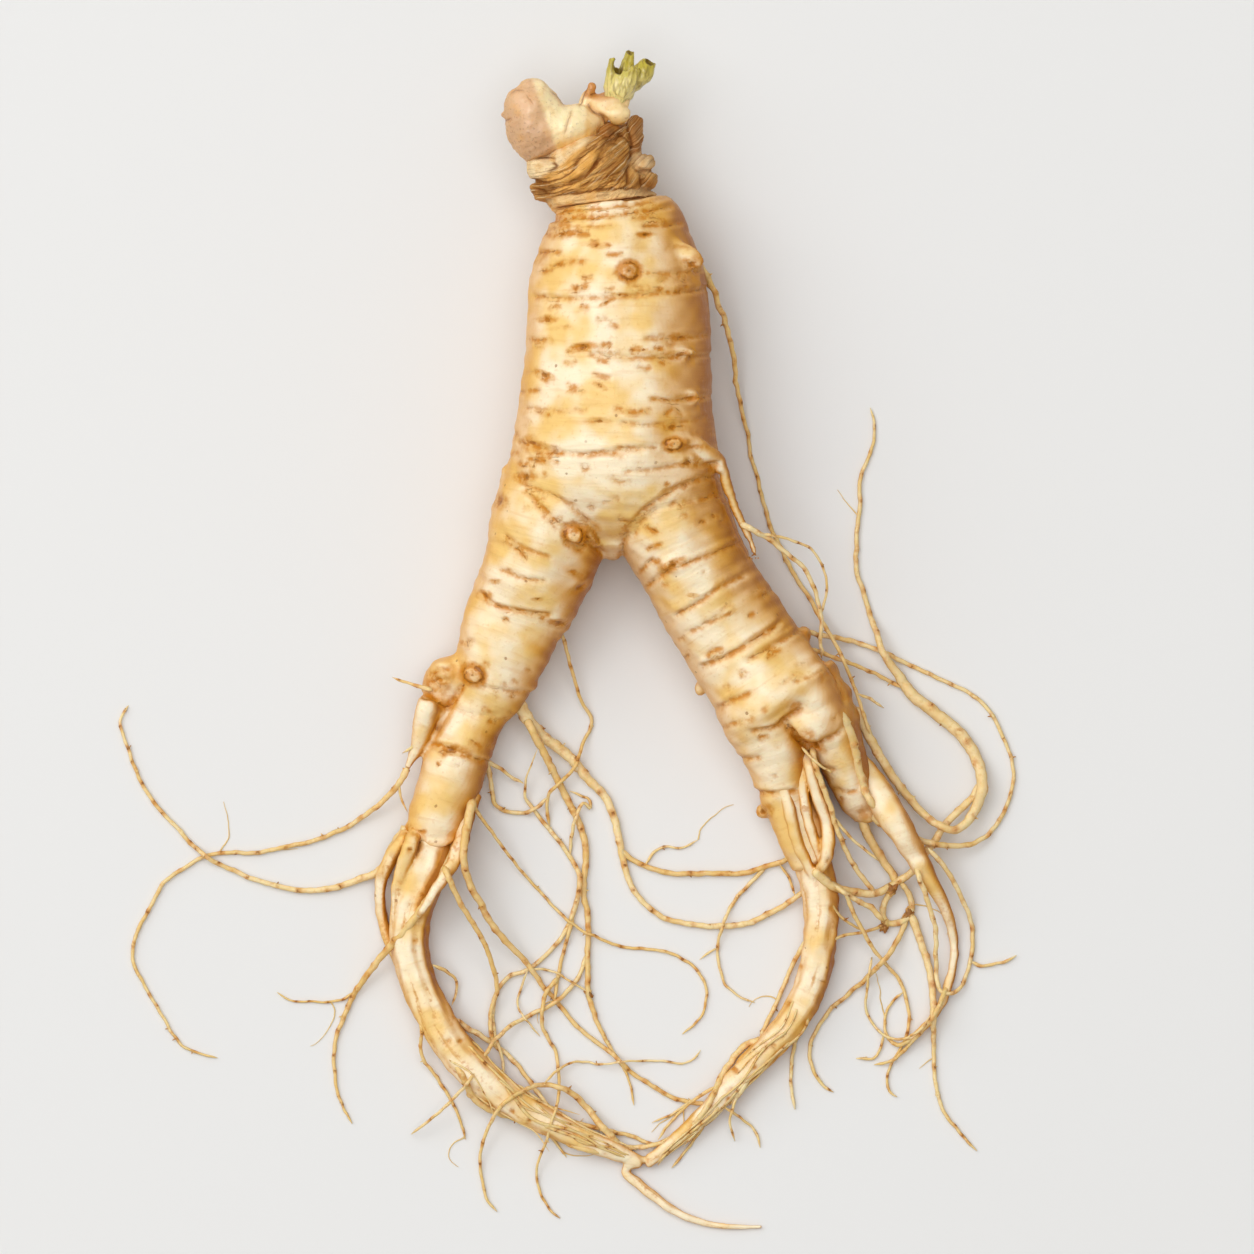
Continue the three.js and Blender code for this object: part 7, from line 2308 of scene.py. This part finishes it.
@dataclass(frozen=True)
class StemFlesh:
    """Green stem, torn while fresh: wet and ribbed, with bright highlights along its ribs.

    Attributes:
        beige: Its base.
        green: Its tips.
        olive: Its hollows and ribs.
    """

    name: str = "green stem, torn while fresh"
    beige: str = "#E8D68A"
    green: str = "#BAA82C"
    olive: str = "#7A5E10"

    def make(self) -> bpy.types.Material:
        """Builds the material.

        Returns:
            The material.
        """
        # fibres 0.6 mm apart that run 3.3 mm along the stem, with bumps of 0.4 mm
        grains = (
            Grain("fibre", (0.6, 3.3, 0.6), 3.0), Grain("bumps", (0.4, 0.4, 0.4), 3.0),
            Grain("blush", (2, 2, 2), 3.0),
        )
        shader = Shader(
            self.name, ("rise", "hollow"), grains, ior=1.4, subsurface_weight=0.2,
            subsurface_radius=(0.7, 1.0, 0.3),
            subsurface_scale=GLOW, coat_weight=0.3, coat_roughness=0.18, coat_ior=1.35,
        )
        read, grain = shader.read, shader.grain
        layers = (
            Layer(self.green, Mask(read["rise"], 103.5, 109, 0.9)),
            Layer(self.olive, Mask(grain["fibre"], 0.48, 0.68, 0.55)),
            Layer(self.olive, Mask(grain["blush"], 0.52, 0.7, 0.5)),
            Layer(self.olive, Mask(read["hollow"], 0, 1, 0.9)),
        )
        heights = ((grain["fibre"], 0.15), (grain["bumps"], 0.08))
        return shader.finish(self.beige, layers, Mask(grain["fibre"], 0.26, 0.45), heights)


@dataclass(frozen=True)
class TableTop:
    """Painted board, rolled matte: a plain pale ground that holds soft shadows.

    Attributes:
        white: Its colour.
    """

    name: str = "painted board, rolled matte"
    white: str = "#E5E5E4"

    def make(self) -> bpy.types.Material:
        """Builds the material."""
        sockets = {"base_color": paint(self.white), "roughness": 0.85, "specular_ior_level": 0.2}
        return Shader(self.name, (), (), **sockets).material


# Assembly


def make_object(name: str, mesh: Mesh, material: bpy.types.Material) -> bpy.types.Object:
    """Makes a smooth object from corners in millimetres, with its values kept at the corners.

    Args:
        name: Name of the object.
        mesh: Its corners, faces and values.
        material: Its finish.

    Returns:
        The object.
    """
    data = bpy.data.meshes.new(name)
    count, sides = mesh.faces.shape
    data.vertices.add(len(mesh.points))
    data.vertices.foreach_set("co", (mesh.points * MM).astype(np.float32).ravel())
    data.loops.add(count * sides)
    data.loops.foreach_set("vertex_index", mesh.faces.astype(np.int32).ravel())
    data.polygons.add(count)
    data.polygons.foreach_set("loop_start", np.arange(0, count * sides, sides, dtype=np.int32))
    data.polygons.foreach_set("use_smooth", np.ones(count, bool))
    data.update(calc_edges=True)
    for label, values in mesh.values.items():
        layer = data.attributes.new(label, "FLOAT", "POINT")
        layer.data.foreach_set("value", values.astype(np.float32))
    data.materials.append(material)
    piece = bpy.data.objects.new(name, data)
    bpy.context.scene.collection.objects.link(piece)
    LOG.info("%s: %d corners, %d faces", name, len(mesh.points), count)
    return piece


def settle(piece: bpy.types.Object, node: str) -> None:
    """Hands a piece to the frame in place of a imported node.

    Args:
        piece: The object.
        node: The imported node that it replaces.
    """
    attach(piece, "root")
    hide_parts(node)


class Lamp(Enum):
    """The lamps: place in metres, width, power, colour, and whether it casts light or only gloss."""

    KEY = ((-1.8, 1.1, 1.8), 2.4, 31.0, "#FCFDFF", True)
    OVERHEAD = ((-0.3, 0.3, 2.0), 2.4, 28.5, "#FFFFFF", True)
    GLOSS = ((-0.75, 0.6, 2.3), 0.9, 30.0, "#FFFFFF", False)


@dataclass
class Studio:
    """The table, the soft light and the camera straight over the root.

    Attributes:
        table: Width of the table.
        height: Height of the camera over it.
        aim: Place that the middle of the picture shows, in millimetres.
        frame_side: Width of what the picture shows, in millimetres.
        sensor: Width of the camera's sensor, in millimetres.
        ambient: Strength of the light from all round.
        ambient_colour: Its colour.
    """

    table: float = 6.0
    height: float = 5.0
    aim: tuple[float, float] = (11.495, 2.375)
    frame_side: float = 238.26
    sensor: float = 36.0
    ambient: float = 0.38
    ambient_colour: str = "#FFFCF8"

    def build(self) -> None:
        """Makes the table, the lamps, the surroundings and the camera."""
        half = self.table / 2
        points = np.array([(-half, -half, 0), (half, -half, 0), (half, half, 0), (-half, half, 0)]) / MM
        board = make_object("table_top", Mesh(points, np.array([(0, 1, 2, 3)])), TableTop().make())
        for lamp in Lamp:
            self.add_lamp(lamp)
        world = bpy.data.worlds.new("surroundings")
        world.use_nodes = True
        background = world.node_tree.nodes["Background"]
        background.inputs["Color"].default_value = paint(self.ambient_colour)
        background.inputs["Strength"].default_value = self.ambient
        bpy.context.scene.world = world
        # keeps the paints as saturated as they are
        bpy.context.scene.view_settings.view_transform = "Standard"
        data = bpy.data.cameras.new("camera")
        data.sensor_width = self.sensor
        data.sensor_height = self.sensor
        data.sensor_fit = "HORIZONTAL"
        data.lens = self.sensor * self.height / (self.frame_side * MM)
        camera = bpy.data.objects.new("camera", data)
        camera.location = (self.aim[0] * MM, self.aim[1] * MM, self.height)
        bpy.context.scene.collection.objects.link(camera)
        bpy.context.scene.camera = camera

    def add_lamp(self, lamp: Lamp) -> None:
        """Adds one square lamp that faces the root.

        Args:
            lamp: Which of the lamps.
        """
        place, size, power, colour, casts = lamp.value
        data = bpy.data.lights.new(lamp.name.lower(), "AREA")
        data.size = size
        data.energy = power
        data.color = paint(colour)[:3]
        light = bpy.data.objects.new(lamp.name.lower(), data)
        light.location = place
        light.visible_diffuse = casts
        light.rotation_euler = Vector(place).to_track_quat("Z", "Y").to_euler()
        bpy.context.scene.collection.objects.link(light)


def main() -> None:
    """Builds every piece of the root in order, then the studio."""
    logging.basicConfig(level=logging.INFO, format="%(name)s: %(message)s")
    laid = Laying().lay()
    LOG.info("%d rootlets laid", len(laid))
    skin, slender = RootSkin().make(), RootletSkin().make()
    flesh = Flesh().build([laid[name].limb(1.2) for name in SIDE_ROOTS])
    settle(make_object("flesh", flesh, skin), "root")
    tails = Tails().build([laid[name].limb(0.5) for name in STRANDS])
    settle(make_object("tails", tails, skin), "root")
    settle(make_object("rootlets", Rootlets().build(laid), slender), "root")
    settle(make_object("rhizome_bark", Rhizome().build(), RhizomeBark().make()), "rhizome")
    settle(make_object("bud_scales", WinterBud().build(), BudScale().make()), "winter_bud")
    settle(make_object("torn_stem", StemStub().build(), StemFlesh().make()), "stem_stub")
    Studio().build()


if __name__ == "__main__":
    main()
